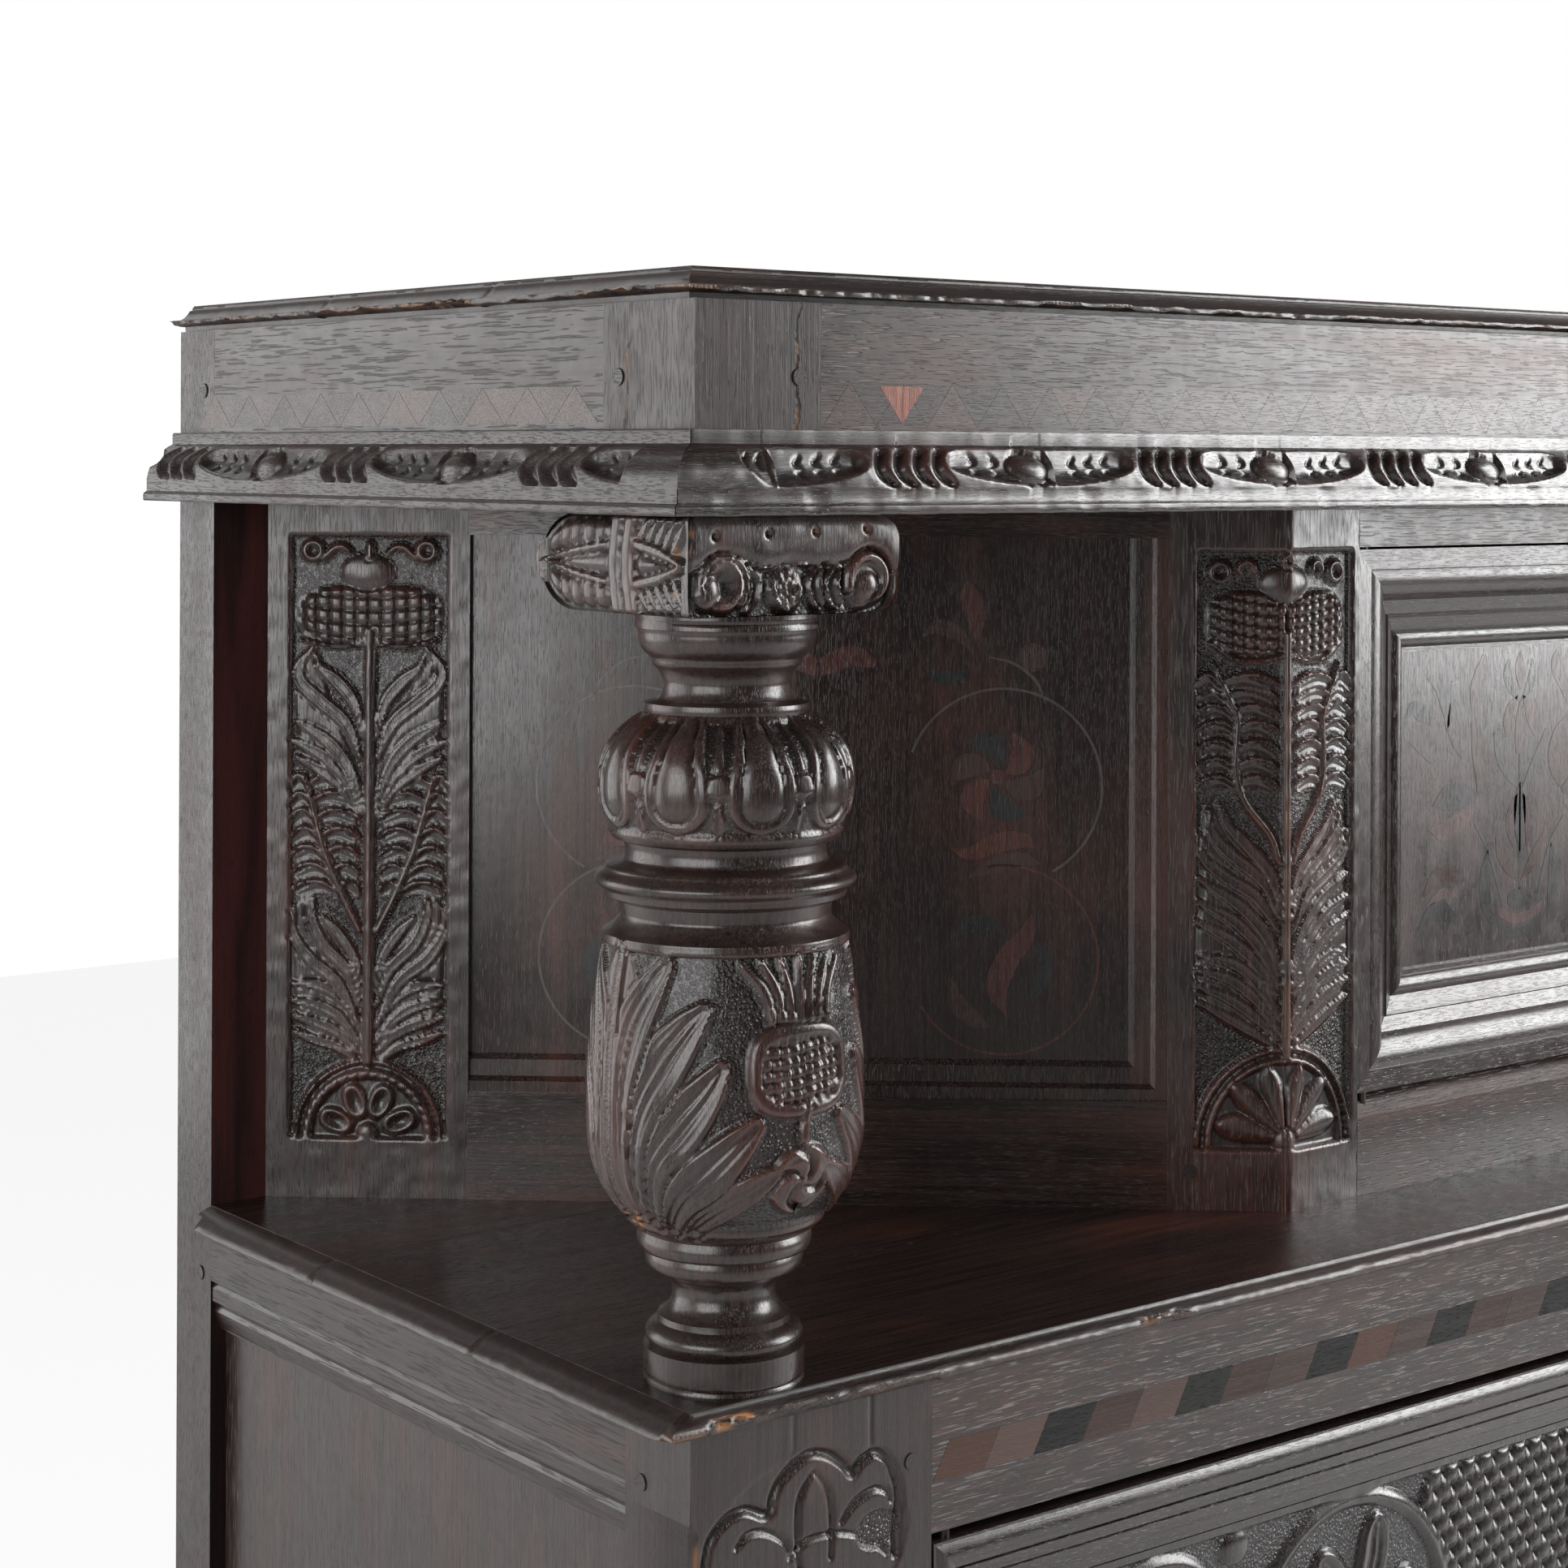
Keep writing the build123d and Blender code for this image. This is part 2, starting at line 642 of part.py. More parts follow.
# ---- top boards ----------------------------------------------------------------------------------------
top_high = frieze_high + top_thickness
top = moulded_board(
    frieze_high, top_high, side + top_side_lip, front - top_front_lip, back,
    top_waste(top_mould_width), top_waste(top_mould_width), top_mould_width, top_mould_width,
)
with BuildPart() as relieved_top:
    add(top)
    block([(-2 * side, 2 * side), (front - 3 * top_front_lip, front + relief_inset),
           (frieze_high - 1.0, frieze_high + relief)], mode=Mode.SUBTRACT)
    for sense in (-1, 1):
        edge = sorted((sense * (side - relief_inset), sense * (side + 2 * top_side_lip)))
        block([edge, (-2 * side, 2 * side), (frieze_high - 1.0, frieze_high + relief)], mode=Mode.SUBTRACT)
save(planks(relieved_top.part, plank_count, front, back, "y"), "top_boards")

# ---- corner stiles of the canted cupboard --------------------------------------------------------------
along = canted_direction
inward = (along[1], -along[0])


def canted_point(distance, depth):
    """A point of the plan: distance along the left canted wall from its arris, depth behind its face."""
    return (arris_x + distance * along[0] + depth * inward[0],
            upper_face + distance * along[1] + depth * inward[1])


inner_line = canted_point(0, corner_stile_thickness)
inner_step = (upper_face + corner_stile_thickness - inner_line[1]) / along[1]
inner_corner = (inner_line[0] + inner_step * along[0], upper_face + corner_stile_thickness)
stile_plan = [
    (arris_x, upper_face),
    (jamb_x, upper_face),
    (jamb_x, upper_face + corner_stile_thickness),
    inner_corner,
    canted_point(corner_stile_canted, corner_stile_thickness),
    canted_point(corner_stile_canted, 0),
]
front_upper_tenon_y = (upper_face + tenon_setback, upper_face + tenon_setback + upper_tenon_thickness)
upper_rail_zs = [(shelf_top, upper_door_low), (upper_door_high, soffit_low)]
front_upper_tenons = [
    [(jamb_x - short_tenon_length, -jamb_x + short_tenon_length), front_upper_tenon_y,
     (low + upper_tenon_lift, high - tenon_shoulder)]
    for low, high in upper_rail_zs
]

canted_plane = Plane(origin=(arris_x, upper_face, shelf_top), x_dir=(along[0], along[1], 0), z_dir=(0, 0, 1))
canted_near = corner_stile_canted
canted_far = canted_length - canted_stile_width
canted_tenon_y = (-tenon_setback - upper_tenon_thickness, -tenon_setback)
canted_rail_zs = [(0.0, canted_bottom_height), (upper_height - canted_top_height, upper_height)]
canted_tenon_zs = [
    (upper_tenon_lift, canted_bottom_height - tenon_shoulder),
    (upper_height - canted_top_height + tenon_shoulder, upper_height - upper_tenon_drop),
]
canted_tenons = [
    [(canted_near - short_tenon_length, canted_far + short_tenon_length), canted_tenon_y, tenon_z]
    for tenon_z in canted_tenon_zs
]
canted_panel = [
    (canted_near - groove_depth, canted_far + groove_depth),
    (-canted_panel_setback - canted_panel_thickness, -canted_panel_setback),
    (canted_bottom_height - groove_depth, upper_height - canted_top_height + groove_depth),
]
canted_peg_place = canted_point(corner_stile_canted - peg_inset, 0)
canted_peg_z = shelf_top + 0.36 * canted_bottom_height
canted_pegs = [((canted_peg_place[0], canted_peg_place[1], canted_peg_z), (inward[0], inward[1], 0))]

with BuildPart() as stile_blank:
    with BuildSketch(Plane.XY.offset(shelf_top)):
        with BuildLine():
            Polyline(*stile_plan, close=True)
        make_face()
    extrude(amount=upper_height)
    for tenon in front_upper_tenons:
        block(grown(tenon, fit), mode=Mode.SUBTRACT)
with BuildPart() as corner_stile:
    add(stile_blank.part)
    with Locations(canted_plane):
        for cut in [grown(tenon, fit) for tenon in canted_tenons] + [grown(canted_panel, seat)]:
            block(cut, mode=Mode.SUBTRACT)
save_pair(drilled(corner_stile.part, canted_pegs), "corner_stile")


def canted_timber(spans, cuts=(), extras=()):
    """A piece of the left canted wall, in the wall's own frame: x back along it, y outwards, z up."""
    with BuildPart(canted_plane) as piece:
        block(spans)
        for extra in extras:
            block(extra)
        for cut in cuts:
            block(cut, mode=Mode.SUBTRACT)
    return piece.part


canted_y = (-canted_thickness, 0.0)
canted_stile = canted_timber(
    [(canted_far, canted_length), canted_y, (0.0, upper_height)],
    [grown(tenon, fit) for tenon in canted_tenons] + [grown(canted_panel, seat)],
)
save_pair(canted_stile, "canted_stile")
canted_bottom_rail = canted_timber(
    [(canted_near, canted_far), canted_y, canted_rail_zs[0]], [grown(canted_panel, seat)], canted_tenons[:1]
)
save_pair(drilled(canted_bottom_rail, canted_pegs), "canted_bottom_rail")
canted_top_rail = canted_timber(
    [(canted_near, canted_far), canted_y, canted_rail_zs[1]], [grown(canted_panel, seat)], canted_tenons[1:]
)
with BuildPart() as canted_top_rails:
    add(canted_top_rail)
    add(mirrored(canted_top_rail))
save(canted_top_rails.part, "canted_top_rails")
save_pair(canted_timber(canted_panel), "canted_panel")

# The panel's mouldings: one on the bottom rail and one beside the corner stile, mitred where they meet.
mould_back = -canted_panel_setback
mould_low = canted_bottom_height
mould_high = upper_height - canted_top_height
mould_section = [
    (0.0, mould_back),
    (0.0, mould_back + canted_mould_reach),
    (0.3 * canted_mould_width, mould_back + canted_mould_reach),
    (0.42 * canted_mould_width, mould_back + 0.5 * canted_mould_reach),
    (0.85 * canted_mould_width, mould_back + 0.45 * canted_mould_reach),
    (canted_mould_width, mould_back),
]


mould_corner = canted_plane.from_local_coords(Vector(canted_near, 0, mould_low))
wall_face = Plane(origin=mould_corner, x_dir=canted_plane.x_dir, z_dir=(inward[0], inward[1], 0))
level_section = Plane(origin=mould_corner, x_dir=(0, 0, 1), z_dir=canted_plane.x_dir * -1)
upright_section = Plane(origin=mould_corner, x_dir=canted_plane.x_dir, z_dir=(0, 0, 1))


def canted_strip(section_plane, run, far_corner):
    """One strip of the panel moulding, run straight and then cut to the mitre at its lower near corner."""
    with BuildPart() as strip:
        extrude(outline(section_plane, mould_section), amount=run)
        keep = outline(wall_face, [(0, 0), far_corner, (canted_length, canted_length)])
        extrude(keep, amount=2 * canted_thickness, both=True, mode=Mode.INTERSECT)
    return strip.part


strips = [
    canted_strip(level_section, -(canted_far - canted_near), (canted_length, 0)),
    canted_strip(upright_section, mould_high - mould_low, (0, canted_length)),
]
with BuildPart() as canted_mouldings:
    for strip in strips:
        add(strip)
        add(mirrored(strip))
save(canted_mouldings.part, "canted_panel_mouldings")

# ---- upper front rails ---------------------------------------------------------------------------------
upper_rail_y = (upper_face, upper_face + corner_stile_thickness)
upper_rails = [
    timber([(jamb_x, -jamb_x), upper_rail_y, rail_z], extras=[tenon])
    for rail_z, tenon in zip(upper_rail_zs, front_upper_tenons)
]
with BuildPart() as weathered_rail:
    add(upper_rails[0])
    sill_arris = weathered_rail.edges().filter_by(Axis.X).group_by(Axis.Z)[-1].sort_by(Axis.Y)[0]
    chamfer(sill_arris, length=upper_bottom_rail_weathering)
for name, rail in (("upper_bottom_rail", weathered_rail.part), ("upper_top_rail", upper_rails[1])):
    save(with_pivots(rail, [upper_pivot], upper_leaf_low, upper_leaf_high), name)

# ---- doors ---------------------------------------------------------------------------------------------


# The sections of the door frames: x runs in from the door's edge, y back from its face.
upper_frame_profile = [
    (0, 0), (13.0, 0), (13.6, 0.9), (33.0, 8.0, 3.2), (34.0, 10.0), (43.0, 13.5), (44.0, 12.6), (46.0, 14.0),
    (53.0, 17.5), (54.5, 18.4), (66.0, 20.0, 2.6), (66.4, 21.6), (upper_frame_width, 21.6),
    (upper_frame_width, upper_door_thickness), (0, upper_door_thickness),
]
lower_frame_profile = [
    (0, 0), (1.5, 0), (16.0, 0.6, 2.3), (17.0, 3.6), (18.0, 1.8), (24.0, 2.2), (25.0, 4.6), (26.0, 3.4),
    (32.0, 3.6), (33.0, 5.0), (lower_frame_width, 6.4), (lower_frame_width, lower_door_thickness),
    (0, lower_door_thickness),
]


def mitred_frame(profile, width, span_x, span_z, face, panel):
    """The two stiles and two rails of a door: the section run along each edge, mitred at the corners."""
    half_width, half_height = length(span_x) / 2, length(span_z) / 2
    centre = Vector(middle(span_x), face, middle(span_z))
    members = {"stiles": [], "rails": []}
    for kind, inwards, reach, run in (
        ("stiles", Vector(1, 0, 0), half_width, half_height),
        ("stiles", Vector(-1, 0, 0), half_width, half_height),
        ("rails", Vector(0, 0, 1), half_height, half_width),
        ("rails", Vector(0, 0, -1), half_height, half_width),
    ):
        edge = centre - inwards * reach
        section_plane = Plane(origin=edge, x_dir=inwards, z_dir=inwards.cross(Vector(0, 1, 0)))
        face_plane = Plane(origin=edge, x_dir=inwards, z_dir=(0, 1, 0))
        tip = 1.2 * width
        with BuildPart() as member:
            extrude(outline(section_plane, profile), amount=run, both=True)
            mitres = outline(face_plane, [(0, -run), (tip, tip - run), (tip, run - tip), (0, run)])
            extrude(mitres, amount=2 * upper_door_thickness, both=True, mode=Mode.INTERSECT)
            block(grown(panel, seat), mode=Mode.SUBTRACT)
        members[kind].append(member.part)
    return members


def save_leaf_frame(name, members, pivot, span_z, knob_place):
    """Bore a door's stiles and rails for its pivots and knob, and write them."""
    for kind, parts in members.items():
        with BuildPart() as pair:
            for part in parts:
                add(part)
            pivot_holes(pivot, span_z[0], span_z[1], pivot_clearance)
            with Locations(Plane(origin=knob_place, z_dir=(0, 1, 0))):
                Cylinder(knob_spigot_radius + fit / 2, 2 * upper_door_thickness + 2, mode=Mode.SUBTRACT)
                Cylinder(knob_flange_radius + fit / 2, knob_flange_height, mode=Mode.SUBTRACT,
                         align=(Align.CENTER, Align.CENTER, Align.MAX))
        save(pair.part, f"{name}_{kind}")


def turned_knob(place, door_thickness):
    """A turned knob on a flange let into a door's stile, with its spigot through to the back."""
    ball_foot = knob_flange_height + 4.0
    ball_middle = ball_foot + 0.475 * (knob_reach - ball_foot)
    rows = [
        (0, 0), (knob_flange_radius, 0), (knob_flange_radius, knob_flange_height),
        (knob_neck_radius, knob_flange_height + 1.5), (knob_neck_radius, ball_foot),
        (knob_radius, ball_middle, 2.4), (1.5, knob_reach, 2.2), (0, knob_reach),
    ]
    with BuildPart() as knob:
        section_plane = Plane(origin=place, x_dir=(1, 0, 0), z_dir=(0, 0, -1))
        revolve(outline(section_plane, rows), axis=Axis(place, (0, 1, 0)))
        with Locations(Plane(origin=place, z_dir=(0, 1, 0))):
            Cylinder(knob_spigot_radius, door_thickness, align=(Align.CENTER, Align.CENTER, Align.MIN))
    return knob.part


lower_door_x = (door_outer, door_inner)
lower_door_z = (door_low, door_high)
lower_panel = [
    (door_outer + lower_frame_width - groove_depth, door_inner - lower_frame_width + groove_depth),
    (front + lower_panel_face, front + lower_panel_face + lower_panel_thickness),
    (door_low + lower_frame_width - groove_depth, door_high - lower_frame_width + groove_depth),
]
field_inset = lower_frame_width + lower_field_margin
lower_field = [
    (door_outer + field_inset, door_inner - field_inset),
    (front + lower_panel_face - lower_field_rise, front + lower_panel_face),
    (door_low + field_inset, door_high - field_inset),
]
lower_knob_place = (door_inner - knob_from_edge, front, middle(lower_door_z))
lower_members = mitred_frame(
    lower_frame_profile, lower_frame_width, lower_door_x, lower_door_z, front, lower_panel
)
right_members = {kind: [mirrored(part) for part in parts] for kind, parts in lower_members.items()}
right_knob_place = (-lower_knob_place[0], lower_knob_place[1], lower_knob_place[2])
save_leaf_frame("lower_door_left", lower_members, lower_pivots[0], lower_door_z, lower_knob_place)
save_leaf_frame("lower_door_right", right_members, lower_pivots[1], lower_door_z, right_knob_place)
lower_panel_board = timber(lower_panel, extras=[lower_field])
lower_knob = turned_knob(lower_knob_place, lower_door_thickness)
for name, piece in (("panel", lower_panel_board), ("knob", lower_knob)):
    save(piece, f"lower_door_left_{name}")
    save(mirrored(piece), f"lower_door_right_{name}")

upper_door_x = (upper_door_outer, upper_door_inner)
upper_door_z = (upper_leaf_low, upper_leaf_high)
upper_panel = [
    (upper_door_outer + upper_frame_width - groove_depth,
     upper_door_inner - upper_frame_width + groove_depth),
    (upper_door_face + upper_panel_face, upper_door_face + upper_panel_face + upper_panel_thickness),
    (upper_leaf_low + upper_frame_width - groove_depth, upper_leaf_high - upper_frame_width + groove_depth),
]
upper_knob_place = (
    upper_door_inner - knob_from_edge, upper_door_face + upper_knob_sinking, middle(upper_door_z)
)
upper_members = mitred_frame(
    upper_frame_profile, upper_frame_width, upper_door_x, upper_door_z, upper_door_face, upper_panel
)
save_leaf_frame("upper_door", upper_members, upper_pivot, upper_door_z, upper_knob_place)
save(timber(upper_panel), "upper_door_panel")
save(turned_knob(upper_knob_place, upper_door_thickness - upper_knob_sinking), "upper_door_knob")

# ---- pegs and pivot pins -------------------------------------------------------------------------------
canted_peg_pair = canted_pegs + across(canted_pegs)
with BuildPart() as joint_pegs:
    for place, direction in both_pegs + muntin_pegs + canted_peg_pair:
        peg_cylinder(place, direction, 0.0, Mode.ADD)
save(joint_pegs.part, "joint_pegs")

with BuildPart() as pivot_pins:
    for pivot in lower_pivots:
        for z in (door_low, door_high):
            with Locations((pivot[0], pivot[1], z)):
                Cylinder(pivot_pin_radius, 2 * pivot_pin_depth)
    for z in (upper_leaf_low, upper_leaf_high):
        with Locations((upper_pivot[0], upper_pivot[1], z)):
            Cylinder(pivot_pin_radius, 2 * pivot_pin_depth)
save(pivot_pins.part, "door_pivot_pins")
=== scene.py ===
"""The looks of a joined oak court cupboard: carved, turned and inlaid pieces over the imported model."""
from __future__ import annotations

import logging
import math
from dataclasses import dataclass, field, replace
from enum import Enum
from typing import Callable, Iterable, Sequence

import bmesh
import bpy
import numpy as np
from mathutils import Matrix, Vector


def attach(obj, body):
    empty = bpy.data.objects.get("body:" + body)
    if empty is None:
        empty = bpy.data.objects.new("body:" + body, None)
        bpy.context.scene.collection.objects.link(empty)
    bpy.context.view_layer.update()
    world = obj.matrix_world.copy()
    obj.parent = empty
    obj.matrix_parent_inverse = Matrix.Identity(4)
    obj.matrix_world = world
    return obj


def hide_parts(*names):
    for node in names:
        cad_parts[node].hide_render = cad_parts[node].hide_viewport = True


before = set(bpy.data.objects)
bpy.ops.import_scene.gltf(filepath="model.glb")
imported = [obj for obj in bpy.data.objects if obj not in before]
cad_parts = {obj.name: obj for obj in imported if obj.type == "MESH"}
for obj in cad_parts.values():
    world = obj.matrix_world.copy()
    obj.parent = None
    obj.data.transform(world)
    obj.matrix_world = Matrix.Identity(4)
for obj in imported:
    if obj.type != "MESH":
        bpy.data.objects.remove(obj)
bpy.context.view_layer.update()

LOG = logging.getLogger("court_cupboard")
MM = 0.001
Triple = tuple[float, float, float]
Colour = Triple
Array = np.ndarray
Rows = Sequence[Sequence[float]]
Table = tuple[tuple[float, ...], ...]

# Places shared with the construction, in millimetres.
SIDE = 795.0
FRONT = -264.3
BACK = 295.7
SHELF = 905.0
TOP = 1474.0
FRIEZE_LOW = 1349.0
ARRIS = (-263.0, -172.0)
ALONG = (-0.76152, 0.64814)
INWARD = (0.64814, 0.76152)

# Colours that several finishes share.
DUST = (0.19, 0.16, 0.145)
CRACK_DARK = (0.004, 0.003, 0.003)
CRACK_PALE = (0.13, 0.075, 0.04)
# Painted reflection: dark reds that stand for the canted wall reflected in the rear posts' inner part.
PAINTED_REFLECTION_DARK = (0.009, 0.0045, 0.0045)
PAINTED_REFLECTION_RED = (0.040, 0.0115, 0.0105)
RAW_OAK = (0.44, 0.19, 0.062)


# ---- node graphs ----
class Sock:
    """An output socket that adds Math nodes to its graph when it is used in an expression."""

    def __init__(self, graph: "Graph", socket: bpy.types.NodeSocket) -> None:
        """Keep the graph and the socket that this stands for."""
        self.graph = graph
        self.socket = socket

    def __add__(self, other: "Value") -> "Sock":
        """Add."""
        return self.graph.maths("ADD", self, other)

    def __sub__(self, other: "Value") -> "Sock":
        """Subtract."""
        return self.graph.maths("SUBTRACT", self, other)

    def __rsub__(self, other: "Value") -> "Sock":
        """Subtract this from a number."""
        return self.graph.maths("SUBTRACT", other, self)

    def __mul__(self, other: "Value") -> "Sock":
        """Multiply."""
        return self.graph.maths("MULTIPLY", self, other)

    def __lt__(self, other: "Value") -> "Sock":
        """One where this is less, otherwise nought."""
        return self.graph.maths("LESS_THAN", self, other)

    __radd__ = __add__
    __rmul__ = __mul__

    def other(self, output: int | str) -> "Sock":
        """Another output of the same node, by its number or name."""
        return Sock(self.graph, self.socket.node.outputs[output])

    def ramp(self, low: float, high: float, start: float = 0.0, end: float = 1.0) -> "Sock":
        """Map the span low to high smoothly on to start to end, held outside it.

        Args:
            low: The value that gives start.
            high: The value that gives end.
            start: The result at low.
            end: The result at high.

        Returns:
            The mapped value.
        """
        return self.graph.node("ShaderNodeMapRange", {"interpolation_type": "SMOOTHSTEP"},
                               {0: self, 1: low, 2: high, 3: start, 4: end})


Value = Sock | float | int


class Graph:
    """A node tree with one method that makes any node, and short names for the usual ones."""

    def __init__(self, tree: bpy.types.NodeTree) -> None:
        """Clear the tree and keep it."""
        self.tree = tree
        tree.nodes.clear()

    def node(self, kind: str, settings: dict | None = None, inputs: dict | None = None, output: int = 0) -> Sock:
        """Make a node.

        Args:
            kind: The node's type name.
            settings: Properties that are set first.
            inputs: Values or sockets by the name or number of the input.
            output: Which output to return.

        Returns:
            The chosen output.
        """
        made = self.tree.nodes.new(kind)
        for name, value in (settings or {}).items():
            setattr(made, name, value)
        for key, value in (inputs or {}).items():
            socket = made.inputs[key]
            if isinstance(value, Sock):
                self.tree.links.new(value.socket, socket)
            elif isinstance(value, tuple) and len(value) == 3 and socket.type == "RGBA":
                socket.default_value = (*value, 1.0)
            else:
                socket.default_value = value
        return Sock(self, made.outputs[output] if len(made.outputs) else None)

    def maths(self, operation: str, *values: Value) -> Sock:
        """A Math node on numbers or sockets."""
        return self.node("ShaderNodeMath", {"operation": operation}, dict(enumerate(values)))

    def mix(self, factor: Value, low: Sock | Colour, high: Sock | Colour) -> Sock:
        """Mix two colours by a factor."""
        return self.node("ShaderNodeMix", {"data_type": "RGBA", "clamp_factor": True},
                         {0: factor, 6: low, 7: high}, output=2)

    def noise(self, place: Sock, scale: float, detail: float, roughness: float = 0.5, warp: float = 0.0) -> Sock:
        """A noise value from 0 to 1 at a place."""
        return self.node("ShaderNodeTexNoise", {"noise_dimensions": "3D"}, {
            "Vector": place, "Scale": scale, "Detail": detail, "Roughness": roughness, "Distortion": warp})

    def placed(self, place: Sock, scale: Triple = (1, 1, 1), turn: Triple = (0, 0, 0)) -> Sock:
        """A place that is turned and scaled by a Mapping node."""
        return self.node("ShaderNodeMapping", {"vector_type": "POINT"},
                         {"Vector": place, "Rotation": turn, "Scale": scale})

    def attribute(self, name: str, output: int = 0) -> Sock:
        """A mesh attribute's colour (0) or value (2)."""
        return self.node("ShaderNodeAttribute", {"attribute_type": "GEOMETRY", "attribute_name": name}, output=output)


# ---- finishes ----
class Grain(Enum):
    """Which way the grain runs; the value turns it on to the pattern's long axis."""

    ACROSS = (0.0, 0.0, 0.0)
    DEEP = (0.0, 0.0, math.pi / 2)
    UPRIGHT = (0.0, math.pi / 2, 0.0)
    CANTED_LEFT = (0.0, 0.0, math.radians(40.4))
    CANTED_RIGHT = (0.0, 0.0, math.radians(-40.4))


ACROSS, DEEP, UPRIGHT, CANTED_LEFT, CANTED_RIGHT = Grain


@dataclass(frozen=True)
class OakFinish:
    """Old oak under dark wax: streaks and open pores along the grain, warm rubbed patches, dents.

    Attributes:
        name: The material's name.
        grain: Which way the grain runs.
        deep: The colour in pores, and the painted shade in carved hollows.
        body: The main colour.
        warm: The colour where the wax is rubbed thin, and on carved ridges partly a painted highlight.
        warmth: How much of the warm colour shows, 0 to 1.
        gloss: The least roughness, on rubbed places.
        matte: The greatest roughness.
        pores: How deep the pores are, 0 to 1.
        dents: How knocked and uneven the surface is, 0 to 1.
        fleck: How strongly the rays of quartered oak show, 0 to 1.
        coat: The weight of the wax coat.
        carved: Whether the mesh carries a relief attribute: height for painted shade, stippled ground, ridges and
            rawness.
        tooth: How rough to the touch the grain is, 0 to 1.
        painted_reflection_depth: The depth before which a dark red reflection is painted on, in metres; nought for
            none.
        coarse: How many times larger than usual the pores are.
        sheen: The specular level.
        cracks: Rows of (axis, place, lean) of long shrinkage cracks, in metres, across x (0) or y (1).
        filler: How much pale dust and wax has settled in the pores, 0 to 1.
        stipple: How deep the punched ground of a carving is.
    """

    name: str
    grain: Grain = ACROSS
    deep: Colour = (0.0078, 0.0044, 0.0040)
    body: Colour = (0.027, 0.0160, 0.0138)
    warm: Colour = (0.085, 0.0255, 0.0150)
    warmth: float = 0.35
    gloss: float = 0.26
    matte: float = 0.52
    pores: float = 0.5
    dents: float = 0.4
    fleck: float = 0.0
    coat: float = 0.25
    carved: bool = False
    tooth: float = 1.0
    painted_reflection_depth: float = 0.0
    coarse: float = 1.0
    sheen: float = 0.5
    cracks: tuple[tuple[int, float, float], ...] = ()
    filler: float = 0.0
    stipple: float = 3.3

    def make(self) -> bpy.types.Material:
        """Build the material.

        Returns:
            The new material.
        """
        material = bpy.data.materials.new(self.name)
        material.use_nodes = True
        graph = Graph(material.node_tree)
        place = graph.node("ShaderNodeTexCoord", output=3)
        grained = graph.placed(place, turn=self.grain.value)
        streaks = graph.noise(graph.placed(grained, (12, 520, 520)), 1.0, 3.0, 0.65, 0.2)
        broad = graph.noise(graph.placed(grained, (2.2, 30, 30)), 1.0, 3.0, 0.55, 0.4)
        fine = 1600 / self.coarse
        dashes = graph.noise(graph.placed(grained, (130 / self.coarse ** 1.8, fine, fine)), 1.0, 1.0, 0.5, 0.3)
        blotch = graph.noise(place, 6.0, 3.0, 0.6, 0.3)
        knocks = graph.noise(place, 75.0, 2.0, 0.6, 0.5)
        pore = dashes.ramp(0.56, 0.66) * self.pores
        rubbed = (blotch * 0.55 + broad * 0.45).ramp(0.46, 0.68) * self.warmth
        colour = graph.mix(streaks.ramp(0.32, 0.68), self.deep, self.body)
        colour = graph.mix(rubbed * streaks.ramp(0.25, 0.75, 0.35, 1.0), colour, self.warm)
        if self.fleck:
            rays = graph.noise(graph.placed(place, (150, 150, 420), (0.0, 0.5, 0.3)), 1.0, 1.0, 0.6, 1.2)
            colour = graph.mix(rays.ramp(0.58, 0.70) * self.fleck, colour, self.warm)
        colour = graph.mix(pore * 0.45, colour, self.deep)
        if self.filler:
            pale = dashes.ramp(0.60, 0.68) * blotch.ramp(0.38, 0.55, 0.25, 1.0) * self.filler
            colour = graph.mix(pale, colour, DUST)
        cracked = None
        for axis, spot, lean in self.cracks:
            across = graph.node("ShaderNodeSeparateXYZ", inputs={0: place})
            line = across.other(axis) - spot + (across.other(2) - 1.4) * lean
            line = line + (graph.noise(place, 70.0, 3.0, 0.6) - 0.5) * 0.012
            mark = graph.maths("ABSOLUTE", line).ramp(0.0003, 0.0014, 1.0, 0.0) * blotch.ramp(0.34, 0.46)
            colour = graph.mix(mark, colour, graph.mix(knocks.ramp(0.45, 0.6), CRACK_DARK, CRACK_PALE))
            cracked = mark if cracked is None else cracked + mark
        height = (streaks * 0.45 - pore * 1.1 * self.coarse) * self.tooth
        height = height + knocks * self.dents * 0.7 + blotch * self.dents * 1.6
        shine = (blotch * 0.3 + knocks * 0.3 + broad * 0.4).ramp(0.3, 0.7, self.gloss, self.matte) + pore * 0.35
        # Painted reflection: before the depth the colour turns to a dark red that stands for the canted wall reflected
        # there.
        if self.painted_reflection_depth:
            hidden = self.hidden(graph, place)
            colour = graph.mix(hidden * 0.9, colour, graph.mix(broad.ramp(0.4, 0.6), PAINTED_REFLECTION_DARK, PAINTED_REFLECTION_RED))
            shine = shine + hidden * 0.4
        if cracked is not None:
            height, shine = height - cracked * 2.5, shine + cracked * 0.4
        if self.carved:
            split = graph.node("ShaderNodeSeparateColor", inputs={0: graph.attribute("relief")})
            ground, ridge = split.other(1), split.other(2)
            raw = graph.attribute("raw", output=2)
            pits = graph.node("ShaderNodeTexVoronoi", inputs={"Vector": place, "Scale": 400.0}).ramp(0.15, 0.62)
            pits = pits * 0.6 + graph.noise(place, 800.0, 1.0) * 0.5
            # Painted shade: the low places of a carving are darkened towards the pore colour.
            colour = graph.mix(split.ramp(0.0, 0.8, 0.85, 0.0), colour, self.deep)
